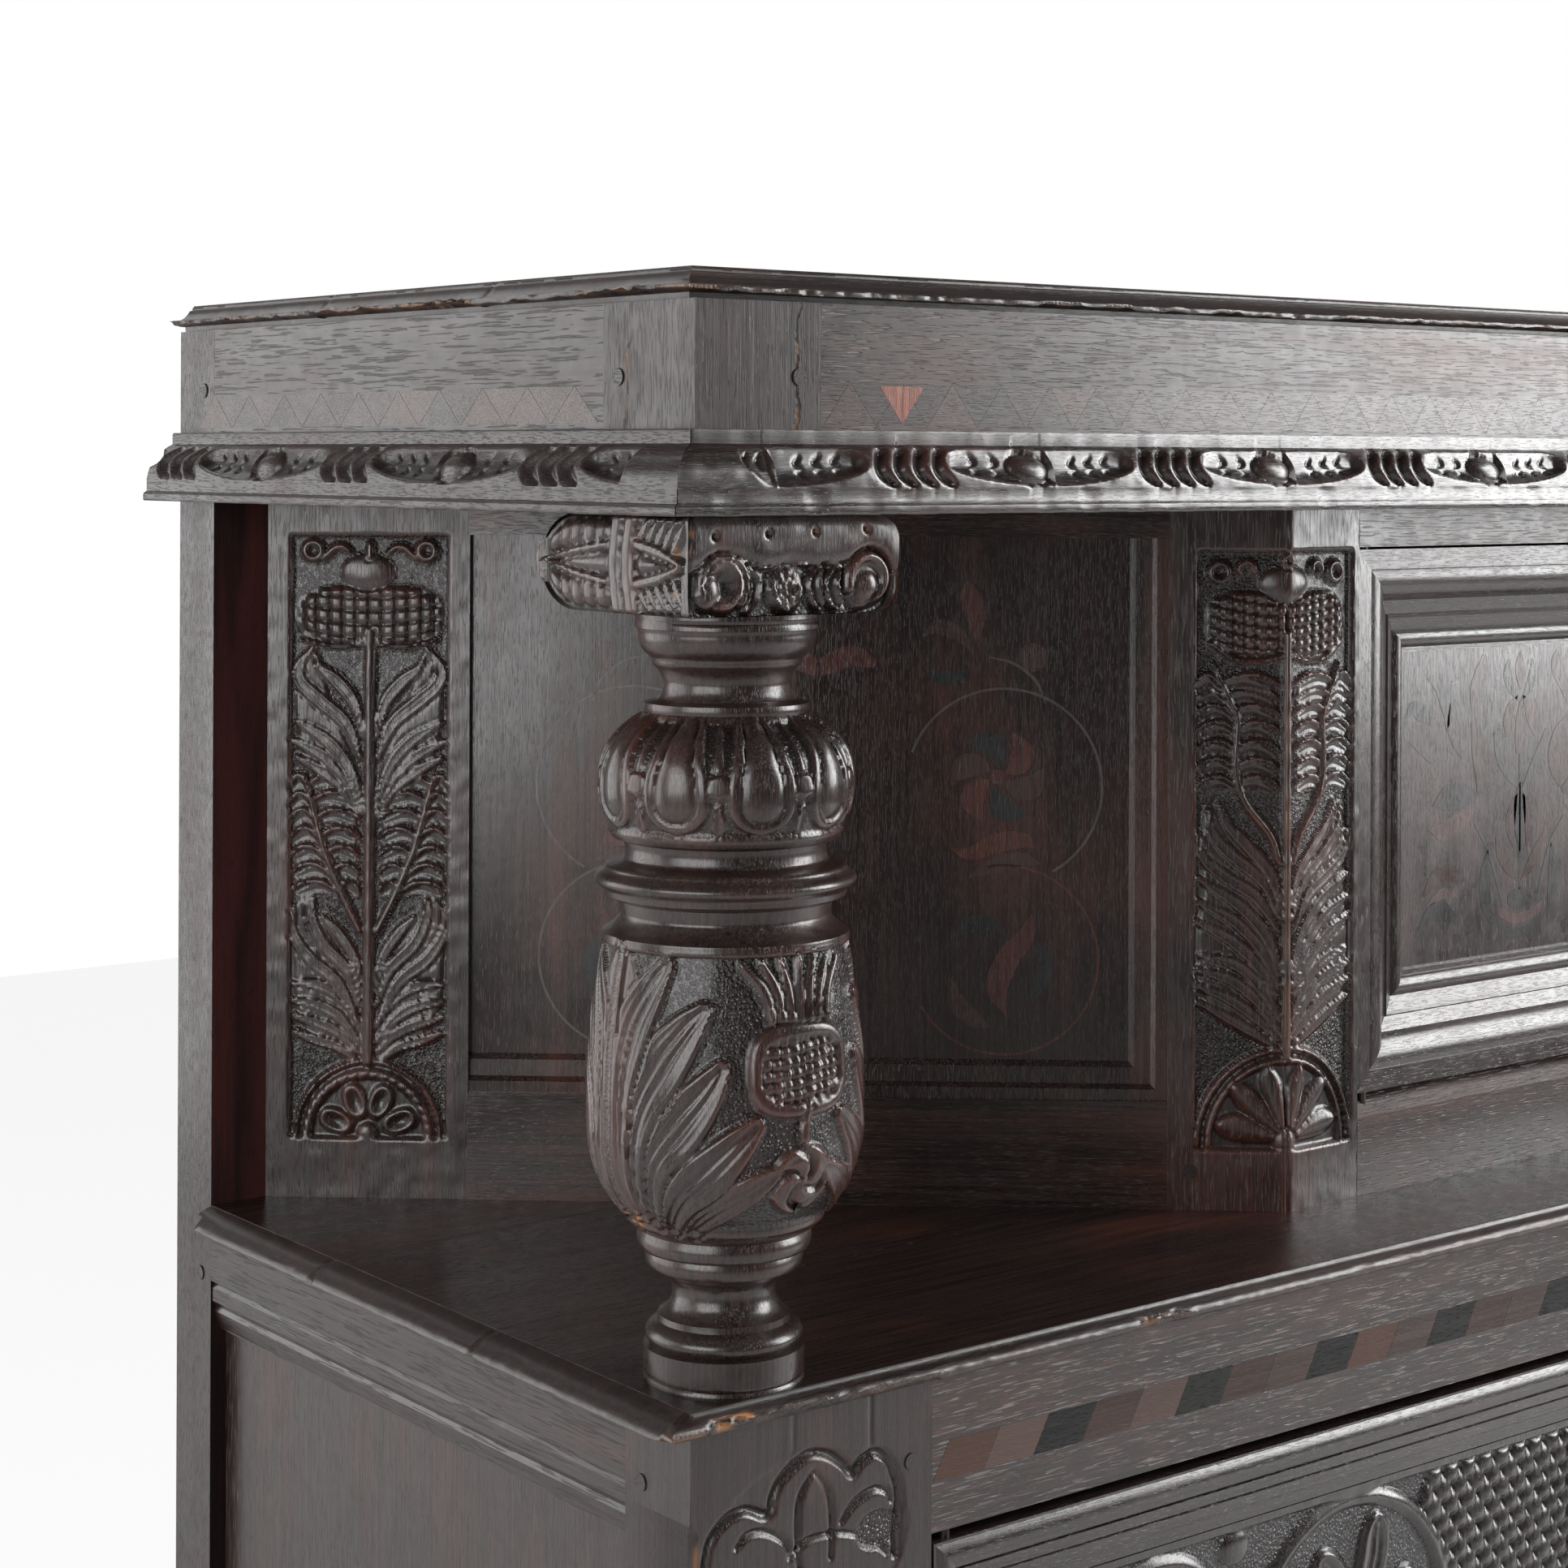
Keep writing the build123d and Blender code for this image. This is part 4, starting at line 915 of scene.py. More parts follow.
# ---- the cup-and-cover columns ----
@dataclass
class Column:
    """A turned column with a carved cup and a gadrooned cover."""

    shop: Shop
    x: float = -744.0
    y: float = FRONT + 41.0
    leaf_facing: float = 178.0
    lobes: int = 9
    ground_depth: float = 3.6
    thistle_place: float = 113.7
    leaf_edge: Table = ((84, 110, 124, 144, 159, 175, 193, 205, 222),
                                                (60, 60, 66, 58, 47, 42, 34, 24, 12))
    profile: Table = (
        (0, 0), (41.7, 0), (41.7, 17.6), (38, 18.4), (37.4, 28.6, 3.2), (34.4, 30.2), (34.1, 33.4),
        (26.8, 46.9, -2.6), (33, 54.2, -1.6), (35.2, 56.6), (39, 57.4), (40.4, 66.5, 1.2), (43.6, 67.6),
        (44.2, 77.4, 1.4), (46, 78.6), (72.4, 130, 6.5), (72.4, 150), (64.9, 221.9, 1.6), (64, 230.3, .4),
        (54.2, 239.1, -1.2), (55.5, 246), (62.5, 249), (63.2, 252.4), (63.2, 261.8, 4.6), (62, 264.4), (53.4, 267),
        (53, 276.4, -1), (58.6, 278.4), (66.6, 298.1, 1.2), (42.6, 342.5, 9.5), (42.7, 347.2, .4), (36, 348.6),
        (32.9, 357.2, -.8), (38.4, 366.4, -1), (39.4, 369.8, .4), (40.6, 371), (46.4, 383.4, 1.8), (47, 385.2),
        (48.2, 385.6), (48.2, 393.5), (0, 393.5))

    def outline(self, first: int, last: int, size: float) -> Array:
        """The turned outline between two rows of the profile.

        Args:
            first: The first row.
            last: The last row.
            size: The longest step.

        Returns:
            Rows of (radius, height).
        """
        rows = [np.array([self.profile[first][:2]], float)]
        for before, row in zip(self.profile[first:last], self.profile[first + 1:last + 1]):
            start, end = np.array(before[:2], float), np.array(row[:2], float)
            chord = float(np.hypot(*(end - start)))
            share = steps(0, 1, size / chord)[1:, None]
            bulge = row[2] if len(row) == 3 else 0.0
            out = np.array([end[1] - start[1], start[0] - end[0]]) / chord
            rows.append(start + (end - start) * share + out * bulge * 4 * share * (1 - share))
        return np.vstack(rows)

    def turned(self, rows: Array, angles: Array, cut: Array | None = None) -> Array:
        """Turn an outline, cut in along its own slope.

        Args:
            rows: Rows of (radius, height).
            angles: The angles of its columns, in radians.
            cut: How far each point stands out, or none for a plain skin.

        Returns:
            The grid of points, in millimetres about the foot.
        """
        slope = np.gradient(rows, axis=0)
        length = np.maximum(np.hypot(slope[:, 0], slope[:, 1]), 1e-6)
        out = np.stack([slope[:, 1], -slope[:, 0]], -1) / length[:, None]
        depth = np.zeros((len(rows), len(angles))) if cut is None else cut
        radius = rows[:, :1] + out[:, :1] * depth
        height = rows[:, 1:] + out[:, 1:] * depth
        return np.stack([radius * np.cos(angles)[None], radius * np.sin(angles)[None], height], -1)

    def cup(self) -> bpy.types.Mesh:
        """Carve half of the cup's skin, with a leaf in the middle and half a thistle at each side.

        Returns:
            Its mesh.
        """
        rows = self.outline(14, 18, 1.15)
        degrees = np.linspace(-90, 90, 181)
        carve = Relief(degrees * 1.2636, rows[:, 1])
        field_mask = np.minimum(smooth((carve.y - 84.0) / 3), smooth((226.0 - carve.y) / 1.5))
        carve.sink(field_mask, self.ground_depth)
        for sense in (-1, 1):
            self.thistle(carve, sense, field_mask)
        self.leaf(carve)
        for height in (85.0, 224.5, 227.5):
            carve.h -= 0.9 * smooth(1 - np.abs(carve.y - height) / 1.1)
        carve.h += 0.25 * waver(carve.h.shape, 14, 5) * smooth(-carve.h + 0.4)
        carve.h = np.minimum(carve.h, 0.0)
        carve.h[:, 0] = carve.h[:, -1] = 0.5 * (carve.h[:, 0] + carve.h[:, -1])
        carve.soften()
        mouth = np.exp(-((carve.x + 8) / 26) ** 2 - ((carve.y - 86) / 8) ** 2)
        carve.raw = smooth((mouth * (0.8 + 0.5 * waver(carve.h.shape, 3, 9)) - 0.62) * 4) * 0.8
        solid = Solid()
        solid.quads(solid.vertices(self.turned(rows, np.radians(degrees), carve.h), carve.data(4.0)))
        return solid.mesh("cup_half")

    def thistle(self, carve: Relief, sense: int, field_mask: Array) -> None:
        """Carve half a thistle at one side: its crown, netted head, stem and whorled foot.

        Args:
            carve: The cup's relief.
            sense: The side, -1 or 1.
            field_mask: One where the cup is carved.
        """
        middle = sense * self.thistle_place
        for index, shift in enumerate(np.linspace(-27, 27, 7)):
            carve.stroke([(middle + 0.62 * shift, 190, 3.4), (middle + 0.80 * shift, 208, 4.0),
                          (middle + 1.28 * shift, 225 - abs(index - 3) * 1.1, 2.2)], 0.0, -3.0, TENT)
        carve.oval(middle, 169, 33, 24.5, 0.4, -3.4, FLAT, 0.13, power=3.1)
        inner = ((np.abs(carve.x - middle) / 26.5) ** 3.1 + (np.abs(carve.y - 169) / 18) ** 3.1) ** (1 / 3.1)
        carve.h -= 1.7 * smooth((1 - inner) / 0.10) * (field_mask > 0)
        carve.h += 0.9 * np.sqrt(np.clip(1 - inner ** 2, 0, 1))
        carve.lattice(np.clip((0.96 - inner) * 6, 0, 1), 5.6, 1.25, 1.7, 4.0)
        carve.stroke([(middle + 2, 152, 2.2), (middle, 141, 2.6), (middle, 130, 3.2)], 0.2, -3.0, ROUND)
        carve.oval(middle, 113, 21, 20, -0.2, -3.6, FLAT, 0.16)
        for spoke in range(4):
            turn = math.radians(spoke * 90 + 30)
            arm = [(middle + radius * math.cos(turn + swing), 113 + radius * math.sin(turn + swing), width)
                   for radius, swing, width in ((3, 0, 1.2), (8, 0.35, 2.6), (13, 0.75, 3.6), (18.5, 1.35, 2.2))]
            carve.gouge(arm, 3.0)
        carve.gouge(arc(middle, 113, 14, 13.5, 1.2, np.radians(np.linspace(0, 360, 15))), 0.7)

    def leaf(self, carve: Relief) -> None:
        """Carve the leaf: a body with five long hollow lobes at each side of a stippled midrib.

        Args:
            carve: The cup's relief.
        """
        reach = np.interp(carve.y, *self.leaf_edge)
        body = smooth((reach - np.abs(carve.x)) / 3) * (carve.y > 84) * (carve.y < 224)
        carve.h = np.where(body > 0, np.maximum(carve.h, 2.0 * body - self.ground_depth), carve.h)
        carve.ground *= 1 - body
        for path in (((48, 86, 6), (60, 95, 8.5), (74, 104, 9), (87, 112, 7.5), (97, 118, 4.0)),
                     ((34, 88, 7), (46, 104, 11), (60, 117, 13.5), (75, 132, 10), (86, 143, 5.0)),
                     ((22, 90, 7), (30, 120, 11), (45, 141, 15), (59, 158, 11), (68, 171, 5.5)),
                     ((14, 92, 6), (20, 140, 11), (35, 170, 15), (48, 188, 11), (58, 199, 5.5)),
                     ((8, 95, 5), (9, 150, 9), (15, 186, 14), (26, 207, 10.5), (35, 220, 5.5))):
            carve.stroke(path, 0.0, -3.1, HOLLOW, 0.17, 0.75, twin=True)
            for share in (-0.42, 0.0, 0.42):
                rows = np.array(path, float)
                slope = np.gradient(rows[:, :2], axis=0)
                out = np.stack([slope[:, 1], -slope[:, 0]], -1) / np.hypot(*slope.T)[:, None]
                places = rows[:, :2] + out * rows[:, 2:] * share
                carve.stroke(np.column_stack([places, (0.6, 1.5, 1.8, 1.5, 0.5)]), -0.2, -2.0, TENT,
                             over=False, twin=True)
        carve.stroke(((0, 84, 4.4), (0, 150, 4.8), (0, 226, 5.4)), 0.1, -2.6, FLAT, 0.3)
        carve.stroke(((0, 84, 2.8), (0, 150, 3.1), (0, 226, 3.6)), -1.4, -0.1, FLAT, 0.35)
        carve.ground = np.where((np.abs(carve.x) < 2.8) & (carve.y < 224), 0.7, carve.ground)

    def cover(self) -> bpy.types.Mesh:
        """Carve one lobe of the cover's skin, with half a disc and half a leaf tip at each side.

        Returns:
            Its mesh.
        """
        rows = self.outline(27, 29, 1.15)
        half = 180.0 / self.lobes
        degrees = np.linspace(-half, half, 43)
        run = np.concatenate([[0], np.cumsum(np.hypot(*np.diff(rows, axis=0).T))])
        carve = Relief(degrees * 1.082, run)
        edge, total = half * 1.082, run[-1]
        carve.sink(np.minimum(smooth((carve.y - 5) / 2), smooth((total - 1.5 - carve.y) / 2)), 3.4, 0.5)
        for sense in (-1, 1):
            side = sense * edge
            carve.oval(side, 33, 7.0, 7.0, -0.9, -3.2, FLAT, 0.16)
            carve.stroke(((side, 42, 2.6), (side, 60, 1.9), (side, total - 3, 1.2)), -1.6, -3.2, FLAT, 0.3)
            carve.stroke(((side, 25, 0.6), (side, 17, 3.0), (side, 10.5, 4.6)), -1.0, -3.2)
        spine = ((0, 23.5), (0, 35), (0, 46), (0, total + 2))
        for widths, top, floor, section, share in (((17.4, 17.0, 14.8, 11.2), -0.8, -3.3, FLAT, 0.07),
                                                   ((12.0, 11.5, 9.5, 7.0), -3.4, -0.9, FLAT, 0.09),
                                                   ((11.0, 10.6, 8.6, 6.2), 0.0, -3.4, ROUND, 0.4)):
            path = [(*place, width) for place, width in zip(spine, widths)]
            carve.stroke(path, top, floor, section, share)
        still = np.cos(np.pi * carve.x / (2 * edge))
        carve.h = np.minimum(carve.h + 0.12 * waver(carve.h.shape, 9, 3) * still, 0)
        carve.h *= smooth((total - carve.y) / 2.0)
        carve.soften()
        solid = Solid()
        solid.quads(solid.vertices(self.turned(rows, np.radians(degrees), carve.h), carve.data(4.0)))
        return solid.mesh("cover_lobe")

    def plain(self, first: int, last: int) -> bpy.types.Mesh:
        """Turn a plain length, closed at its ends.

        Args:
            first: The first row of the profile.
            last: The last row.

        Returns:
            Its mesh, in place.
        """
        rows = self.outline(first, last, 1.2)
        rows = rows[rows[:, 0] > 0.5]
        angles = np.linspace(0, 2 * math.pi, 128, endpoint=False)
        carve = Relief(np.degrees(angles), rows[:, 1])
        uneven = waver((len(rows), 129), 8, first + 3)[:, :128]
        carve.h = 0.10 * uneven * np.sin(angles / 2)[None] - 0.10
        for height in (3.0, 389.5):
            carve.h -= 0.8 * smooth(1 - np.abs(carve.y - height - 0.6 * np.sin(angles)[None]) / 0.9)
        solid = Solid()
        solid.tube(self.turned(rows, angles, carve.h) + np.array([self.x, self.y, SHELF]), carve.data(3.0))
        return solid.mesh(f"turning_{first}")

    def build(self) -> None:
        """Make both columns: turned lengths, a cup of two halves and a cover of nine lobes."""
        oak = self.shop.finish(TURNED)
        foot = (self.x, self.y, SHELF)
        facing = math.radians(self.leaf_facing)
        cup, cover = self.cup(), self.cover()
        cup.transform(Matrix.Rotation(facing, 4, "Z"))
        cover.transform(Matrix.Rotation(math.radians(self.leaf_facing + 32), 4, "Z"))
        pieces = {
            "cup": self.shop.repeats.run("column_left_cup", cup, oak, 2, foot, turn=(0, 0, math.pi)),
            "cover": self.shop.repeats.run("column_left_cover", cover, oak, self.lobes, foot,
                                           turn=(0, 0, 2 * math.pi / self.lobes)),
        }
        for name, mesh in pieces.items():
            close_rings(mesh)
            Piece(f"column_left_{name}", mesh, slot="turned_oak").twin()
        spans = {"base": (0, 14), "waist": (18, 27), "neck": (29, 40)}
        for name, span in spans.items():
            nodes = ("column_left",) if name == "base" else ()
            Piece(f"column_left_{name}", self.plain(*span), slot="turned_oak", nodes=nodes).twin(oak)


def close_rings(mesh: bpy.types.Mesh) -> None:
    """Close the open rings of a mesh with flat faces, and turn its faces outwards.

    Args:
        mesh: The mesh.
    """
    work = bmesh.new()
    work.from_mesh(mesh)
    bmesh.ops.remove_doubles(work, verts=work.verts, dist=2e-5)
    bmesh.ops.holes_fill(work, edges=[edge for edge in work.edges if edge.is_boundary], sides=0)
    work.to_mesh(mesh)
    work.free()
    tidy_mesh(mesh)


# ---- the capitals ----
@dataclass
class Capital:
    """A bolster over a column: a rolled band and scrolls on its front, tapering leaves on its sides."""

    shop: Shop
    low: Triple = (-SIDE - 8.0, FRONT - 7.0, FRIEZE_LOW - 50.5)
    size: Triple = (135.0, 145.0, 50.5)
    taper_from: float = 104.0
    depth: float = 5.5
    band_edge: Table = (
        (-67.5, -60, -52, -44, -33, -20, -4, 12, 35, 42, 49, 57, 62, 67.5),
        (22, 25, 30, 31, 28.5, 24, 26, 25, 25, 29.5, 31.5, 29, 22, 18))

    def front(self, across: Array, up: Array) -> Relief:
        """Carve the front.

        Args:
            across: The places across, from its middle.
            up: The places up from its foot.

        Returns:
            The relief.
        """
        carve = Relief(across, up)
        lower = np.interp(carve.x, *self.band_edge)
        carve.sink(smooth((lower - carve.y) / 1.6), self.depth, 0.35)
        carve.oval(-44.5, 16, 14.5, 15.5, 0.0, -self.depth, HOLLOW, 0.28, 1.2)
        carve.oval(-54, 12, 8, 9.5, 0.4, -self.depth, ROUND, turn=-14)
        carve.ring(-44.5, 16, 14.5, 2.3, 0.1, -4.6, -40, 205)
        for x, lean, width in ((-26, 5, 4.4), (15.5, -6, 5.6), (27, -7, 5.8)):
            carve.stroke(((x - lean * 0.7, 25.5, 0.8), (x + lean * 0.3, 17, width), (x + lean * 0.1, 9, width),
                          (x - lean * 0.9, 1.5, 1.2)), 0.2, -self.depth, HOLLOW, 0.34, 0.85)
        carve.oval(-4.6, 13.3, 12.4, 13.0, -0.9, -self.depth, ROUND)
        for turn in (-58, -29, 0, 29, 58):
            tip = math.radians(90 + turn)
            across, up = math.cos(tip), math.sin(tip)
            carve.stroke(((-4.6, 3, 1.4), (-4.6 + 6.5 * across, 4 + 9 * up, 3.0),
                          (-4.6 + 11.5 * across, 4 + 18.5 * up, 0.9)), 0.4, -3.4, HOLLOW, 0.4)
        carve.oval(49, 17, 16, 16.5, -3.4, -self.depth, FLAT, 0.2)
        turns = np.radians(np.linspace(195, -95, 10))
        carve.stroke([(49 + r * math.cos(a), 16.5 + 1.04 * r * math.sin(a), 3.6 - 0.1 * n)
                      for n, (a, r) in enumerate(zip(turns, np.linspace(13.4, 9.0, 10)))], 0.3, -4.4, ROUND)
        carve.oval(48, 13.5, 7.4, 8.2, 0.2, -4.4, turn=-20)
        for x, y in ((21.5, 24), (33.5, 24.5), (-17.5, 23)):
            carve.gouge(((x, y + 2.5, 0.6), (x, y - 0.5, 1.7), (x - 0.8, y - 3.5, 0.6)), 2.6)
        for x, y in ((-51, 40), (-17.6, 41), (12.6, 41.7), (46.8, 42.7)):
            far = np.hypot(carve.x - x, carve.y - y)
            carve.h -= 4.0 * smooth((1.9 - far) / 0.9)
            carve.raw += 0.22 * smooth((2.6 - far) / 1.4) * (x > 0)
        part = np.clip((carve.y - lower) / (self.size[2] - lower), 0, 1)
        carve.h -= 2.4 * np.abs(2 * part - 1) ** 2.6 * (carve.y > lower)
        chips = smooth((carve.x + self.size[0] / 2 - 3.2 - 2.4 * waver(carve.h.shape, 5, 21)) / -2.5)
        carve.h -= 2.2 * chips
        carve.raw += chips * smooth(waver(carve.h.shape, 4, 4) * 2 - 0.4) * 0.45
        carve.h += 0.3 * waver(carve.h.shape, 8, 2) - 0.3
        carve.h = np.clip(carve.h, -6.5, 0)
        carve.soften()
        return carve

    def leaf_side(self, across: Array, up: Array) -> Relief:
        """Carve a side.

        Args:
            across: The places back from the front edge.
            up: The places up from the foot.

        Returns:
            The relief.
        """
        carve = Relief(across, up)
        carve.sink(smooth((carve.x - 3) / 2) * smooth((142 - carve.x) / 3), 4.2, 0.2)
        middle = 25.3
        for sense in (-1, 1):
            for index in range(5):
                base, reach = 11 + 7.6 * index, 0.6 * index
                carve.stroke(((base + 6, middle + sense * (6.5 + index), 1.6),
                              (base + 2, middle + sense * (13 + reach), 3.2),
                              (base - 4, middle + sense * (21.5 + reach * 0.5), 1.5)), 0.2, -4.0, HOLLOW, 0.45)
            for index in range(5):
                place = 80 + 11.5 * index
                high = 25.0 * math.sqrt(max(0.1, 1 - (max(place - 100, 0) / 44) ** 2))
                carve.oval(place, middle + sense * high * 0.60, 9.0, high * 0.30, -0.1, -4.4, turn=-24 * sense)
            carve.stroke(((47, middle + sense * 10, 3.4), (28, middle + sense * 6.5, 3.4), (7, middle, 1.6)),
                         0.3, -3.8, FLAT, 0.35)
            carve.stroke(((73, middle + sense * 9.5, 2.6), (104, middle + sense * 5.5, 2.6), (141, middle, 1.4)),
                         0.3, -3.8, FLAT, 0.4)
        carve.stroke(((76, middle, 5.5), (92, middle, 5.0), (120, middle, 0.8)), -0.8, -3.6, TENT)
        carve.stroke(((44, middle, 5.5), (36, middle, 4.0), (22, middle, 0.8)), -0.8, -3.6, TENT)
        for place in (53.5, 65.0):
            carve.stroke(((place - 2, -2, 5.2), (place + 2.5, middle, 5.6), (place - 2, 53, 5.2)), 0.4, -3.0,
                         ROUND)
        carve.h = np.minimum(carve.h + 0.25 * waver(carve.h.shape, 7, 11), 0)
        carve.raw = 0.25 * smooth(waver(carve.h.shape, 5, 8) * 2 - 1.1) * (carve.x < 30)
        carve.soften()
        return carve

    def build(self) -> None:
        """Make both capitals as a carved front that runs on into a carved tube."""
        wide, deep, high = self.size
        across, up = steps(-wide / 2, wide / 2, 1.15), steps(0, high, 1.15)
        front = self.front(across, up)
        half = high / 2
        radius = np.where(front.x < 0, 2.5, 13.0)
        beyond = np.clip(np.abs(front.y - half) - (half - radius), 0, radius)
        narrow = wide / 2 - radius + np.sqrt(np.maximum(radius ** 2 - beyond ** 2, 0))
        x = front.x * narrow / (wide / 2) + self.low[0] + wide / 2
        face = np.stack([x, self.low[1] - front.h, self.low[2] + front.y], -1)
        solid = Solid()
        numbers = solid.vertices(face, front.data(6.0))
        solid.quads(numbers)
        back = steps(0, deep, 1.25)[1:]
        ring, ring_up = border(x), border(front.y)
        side = self.leaf_side(back, up)
        cut = np.zeros((len(back), len(ring)))
        left, right = slice(len(ring) - len(up) + 1, len(ring)), slice(len(across) - 1, len(across) + len(up) - 2)
        cut[:, left] = side.h.T[:, :0:-1]
        cut[:, right] = side.h.T[:, :-1]
        data, carved = uncarved(cut.shape), side.data(4.6)
        data["relief"][:, left] = carved["relief"].transpose(1, 0, 2)[:, :0:-1]
        data["raw"][:, left] = carved["raw"].T[:, :0:-1]
        data["relief"][:, right] = carved["relief"].transpose(1, 0, 2)[:, :-1]
        share = np.clip((back - self.taper_from) / (deep - self.taper_from), 0, 0.995)[:, None]
        centre = self.low[0] + wide / 2
        outwards = np.sign(ring - centre)[None]
        x_tube = ring[None] * (1 - 0.08 * share) + centre * 0.08 * share + outwards * cut
        z_tube = self.low[2] + half + (ring_up[None] - half) * np.sqrt(1 - share ** 2)
        y_tube = self.low[1] + back[:, None] + 0 * x_tube
        tube = solid.vertices(np.stack([x_tube, y_tube, z_tube], -1), data)
        solid.quads(np.vstack([border(numbers)[None], tube]), around=True)
        solid.cap(tube[-1])
        Piece("capital_left", solid.mesh("capital_left", 55), slot="turned_oak", nodes=("capital_left",)).twin(
            self.shop.finish(CARVED))


# ---- the carved cornice ----
@dataclass
class Cornice:
    """The cornice: an ovolo between two fillets, cut with lunettes, eggs and groups of crescents."""

    shop: Shop
    rise: float = 43.2
    side_reach: float = 26.0
    front_reach: float = 20.0
    front_stop: float = 757.2
    side_stop: float = 27.0
    plain_end: float = -773.5
    front_bay: Triple = (62.0, 52.3, 75.0)
    side_bay: Triple = (72.0, 54.0, 86.0)
    depth: float = 4.6

    def outline(self, reach: float) -> tuple[Array, Array, Array]:
        """The section for a reach.

        Args:
            reach: How far it stands out.

        Returns:
            The points (out, up), their outward normals, and how far each is along the ovolo, or -1.
        """
        low, high = np.array([0.912 * reach, 0.3125 * self.rise]), np.array([0.342 * reach, 0.796 * self.rise])
        share = np.linspace(0, 1, 27)[:, None]
        run = high - low
        out = np.array([run[1], -run[0]]) / np.hypot(*run)
        ovolo = low + run * share + out * 0.08 * self.rise * 4 * share * (1 - share)
        start = [[0, 0], [reach * 0.5, 0], [reach - 0.6, 0], [reach, 0.6], [reach, 0.09 * self.rise],
                 [0.985 * reach, 0.112 * self.rise], [0.908 * reach, 0.144 * self.rise],
                 [0.905 * reach, 0.29 * self.rise]]
        end = [[0.22 * reach, 0.83 * self.rise], [0.22 * reach, 0.97 * self.rise],
               [0.19 * reach, self.rise], [0, self.rise]]
        points = np.vstack([start, ovolo, end])
        slope = np.gradient(points, axis=0)
        normals = np.stack([slope[:, 1], -slope[:, 0]], -1) / np.hypot(*slope.T)[:, None]
        length = float(np.sum(np.hypot(*np.diff(ovolo, axis=0).T)))
        along = np.full(len(points), -1.0)
        along[len(start):len(start) + 27] = share[:, 0] * length
        return points, normals, along

    def carve(self, run: Array, along: Array, bays: Sequence[float], sizes: Triple,
              bend: float, crescents: int, stop: float, seed: int) -> Relief:
        """Cut the ornament into a stretch of the ovolo.

        Args:
            run: The places along the stretch.
            along: The places up the ovolo.
            bays: Where the ridges of the lunettes are.
            sizes: From a ridge to its lunette's end, the crescents' stretch, and from there to the next ridge.
            bend: Which way the crescents bulge.
            crescents: How many crescents are in a group.
            stop: The place before which the ovolo is left plain.
            seed: The seed of the unevenness.

        Returns:
            The relief over run and along.
        """
        carve = Relief(run, along)
        top = along[-1]
        after, between, before = sizes
        middle = 0.58 * top
        for ridge in bays:
            for sense, reach in ((1, after), (-1, before)):
                share = (carve.x - ridge) * sense / reach
                held = np.clip(share, 0, 1)
                floor = middle - (middle - 1.0) * np.sqrt(1 - held ** 2)
                roof = middle + (top - 0.9 - middle) * np.sqrt(1 - np.clip((held - 0.72) / 0.28, 0, 1) ** 2)
                inside = (share >= 0) & (share < 1) & (carve.y > floor) & (carve.y < roof)
                part = np.clip((carve.y - floor) / np.maximum(roof - floor, 0.5), 0, 1)
                edge = smooth((1 - held) * reach / 7.0) * smooth((roof - carve.y) / 1.1)
                bowl = np.clip(np.sin(math.pi * part ** 0.85), 0, 1) ** 0.75
                carve.h = np.where(inside, -(self.depth + 0.6) * edge * bowl, carve.h)
                for index in range(3):
                    x = ridge + sense * reach * (0.30 + 0.2 * index)
                    if x < stop + 4 or (sense < 0 and index == 0):
                        continue
                    for low, high in ((0.50, 0.84), (0.20, 0.46)):
                        y0, y1 = low * top + 1.2 * index, high * top + 0.3 * index
                        carve.gouge(((x + 3 * sense, y1, 0.5), (x - 1.0 * sense, (y0 + y1) / 2, 2.3),
                                     (x + 3.6 * sense, y0, 0.5)), 2.2)
            carve.oval(ridge - 15.5, top * 0.49, 14.5, top * 0.46, 0.3, -4.8, ROUND, turn=-24, power=2.1)
            carve.gouge([(ridge - back, top * high, half)
                         for back, high, half in ((26, 0.7, 0.6), (20, 0.74, 1.0), (15, 0.72, 0.6))], 0.8)
            self.ridge(carve, ridge, top)
            for index in range(crescents):
                x = ridge + after + between * (index + 0.62) / crescents
                wide = 0.36 * between / crescents
                carve.stroke(((x + 0.9 * wide * bend, top - 1.6, 0.7 * wide), (x - 0.5 * wide * bend, top * 0.62, wide),
                              (x - 0.6 * wide * bend, top * 0.30, 1.08 * wide),
                              (x + 1.5 * wide * bend, 1.7, 0.4 * wide)), -0.2, -0.2, HOLLOW, 0.2, 0.0)
                carve.gouge(((x + 1.1 * wide * bend, top - 1.9, 0.9 * wide), (x + 0.1 * bend, top * 0.6, 1.05 * wide),
                             (x + 0.1 * bend, top * 0.32, 1.15 * wide), (x + 1.6 * wide * bend, 1.6, 0.5 * wide)),
                            0.9 * self.depth)
        carve.h *= smooth((carve.x - stop - 5 * np.sqrt(np.clip(1 - (carve.y / top - 0.3) ** 2, 0, 1))) / 1.5)
        carve.h += 0.16 * waver(carve.h.shape, 6, seed) - 0.16
        carve.h = np.clip(carve.h, -6.0, 0.0)
        if stop < 0:
            carve.h[:, 0] = carve.h[:, -1] = 0.5 * (carve.h[:, 0] + carve.h[:, -1])
        carve.h[0] = carve.h[-1] = 0
        carve.soften()
        return carve

    def ridge(self, carve: Relief, place: float, top: float) -> None:
        """Leave an upright ridge standing between two lunettes."""
        carve.stroke(((place, 0.8, 1.2), (place, top * 0.5, 1.7), (place, top - 1.0, 1.2)), 0.0, -3.4, TENT, over=False)

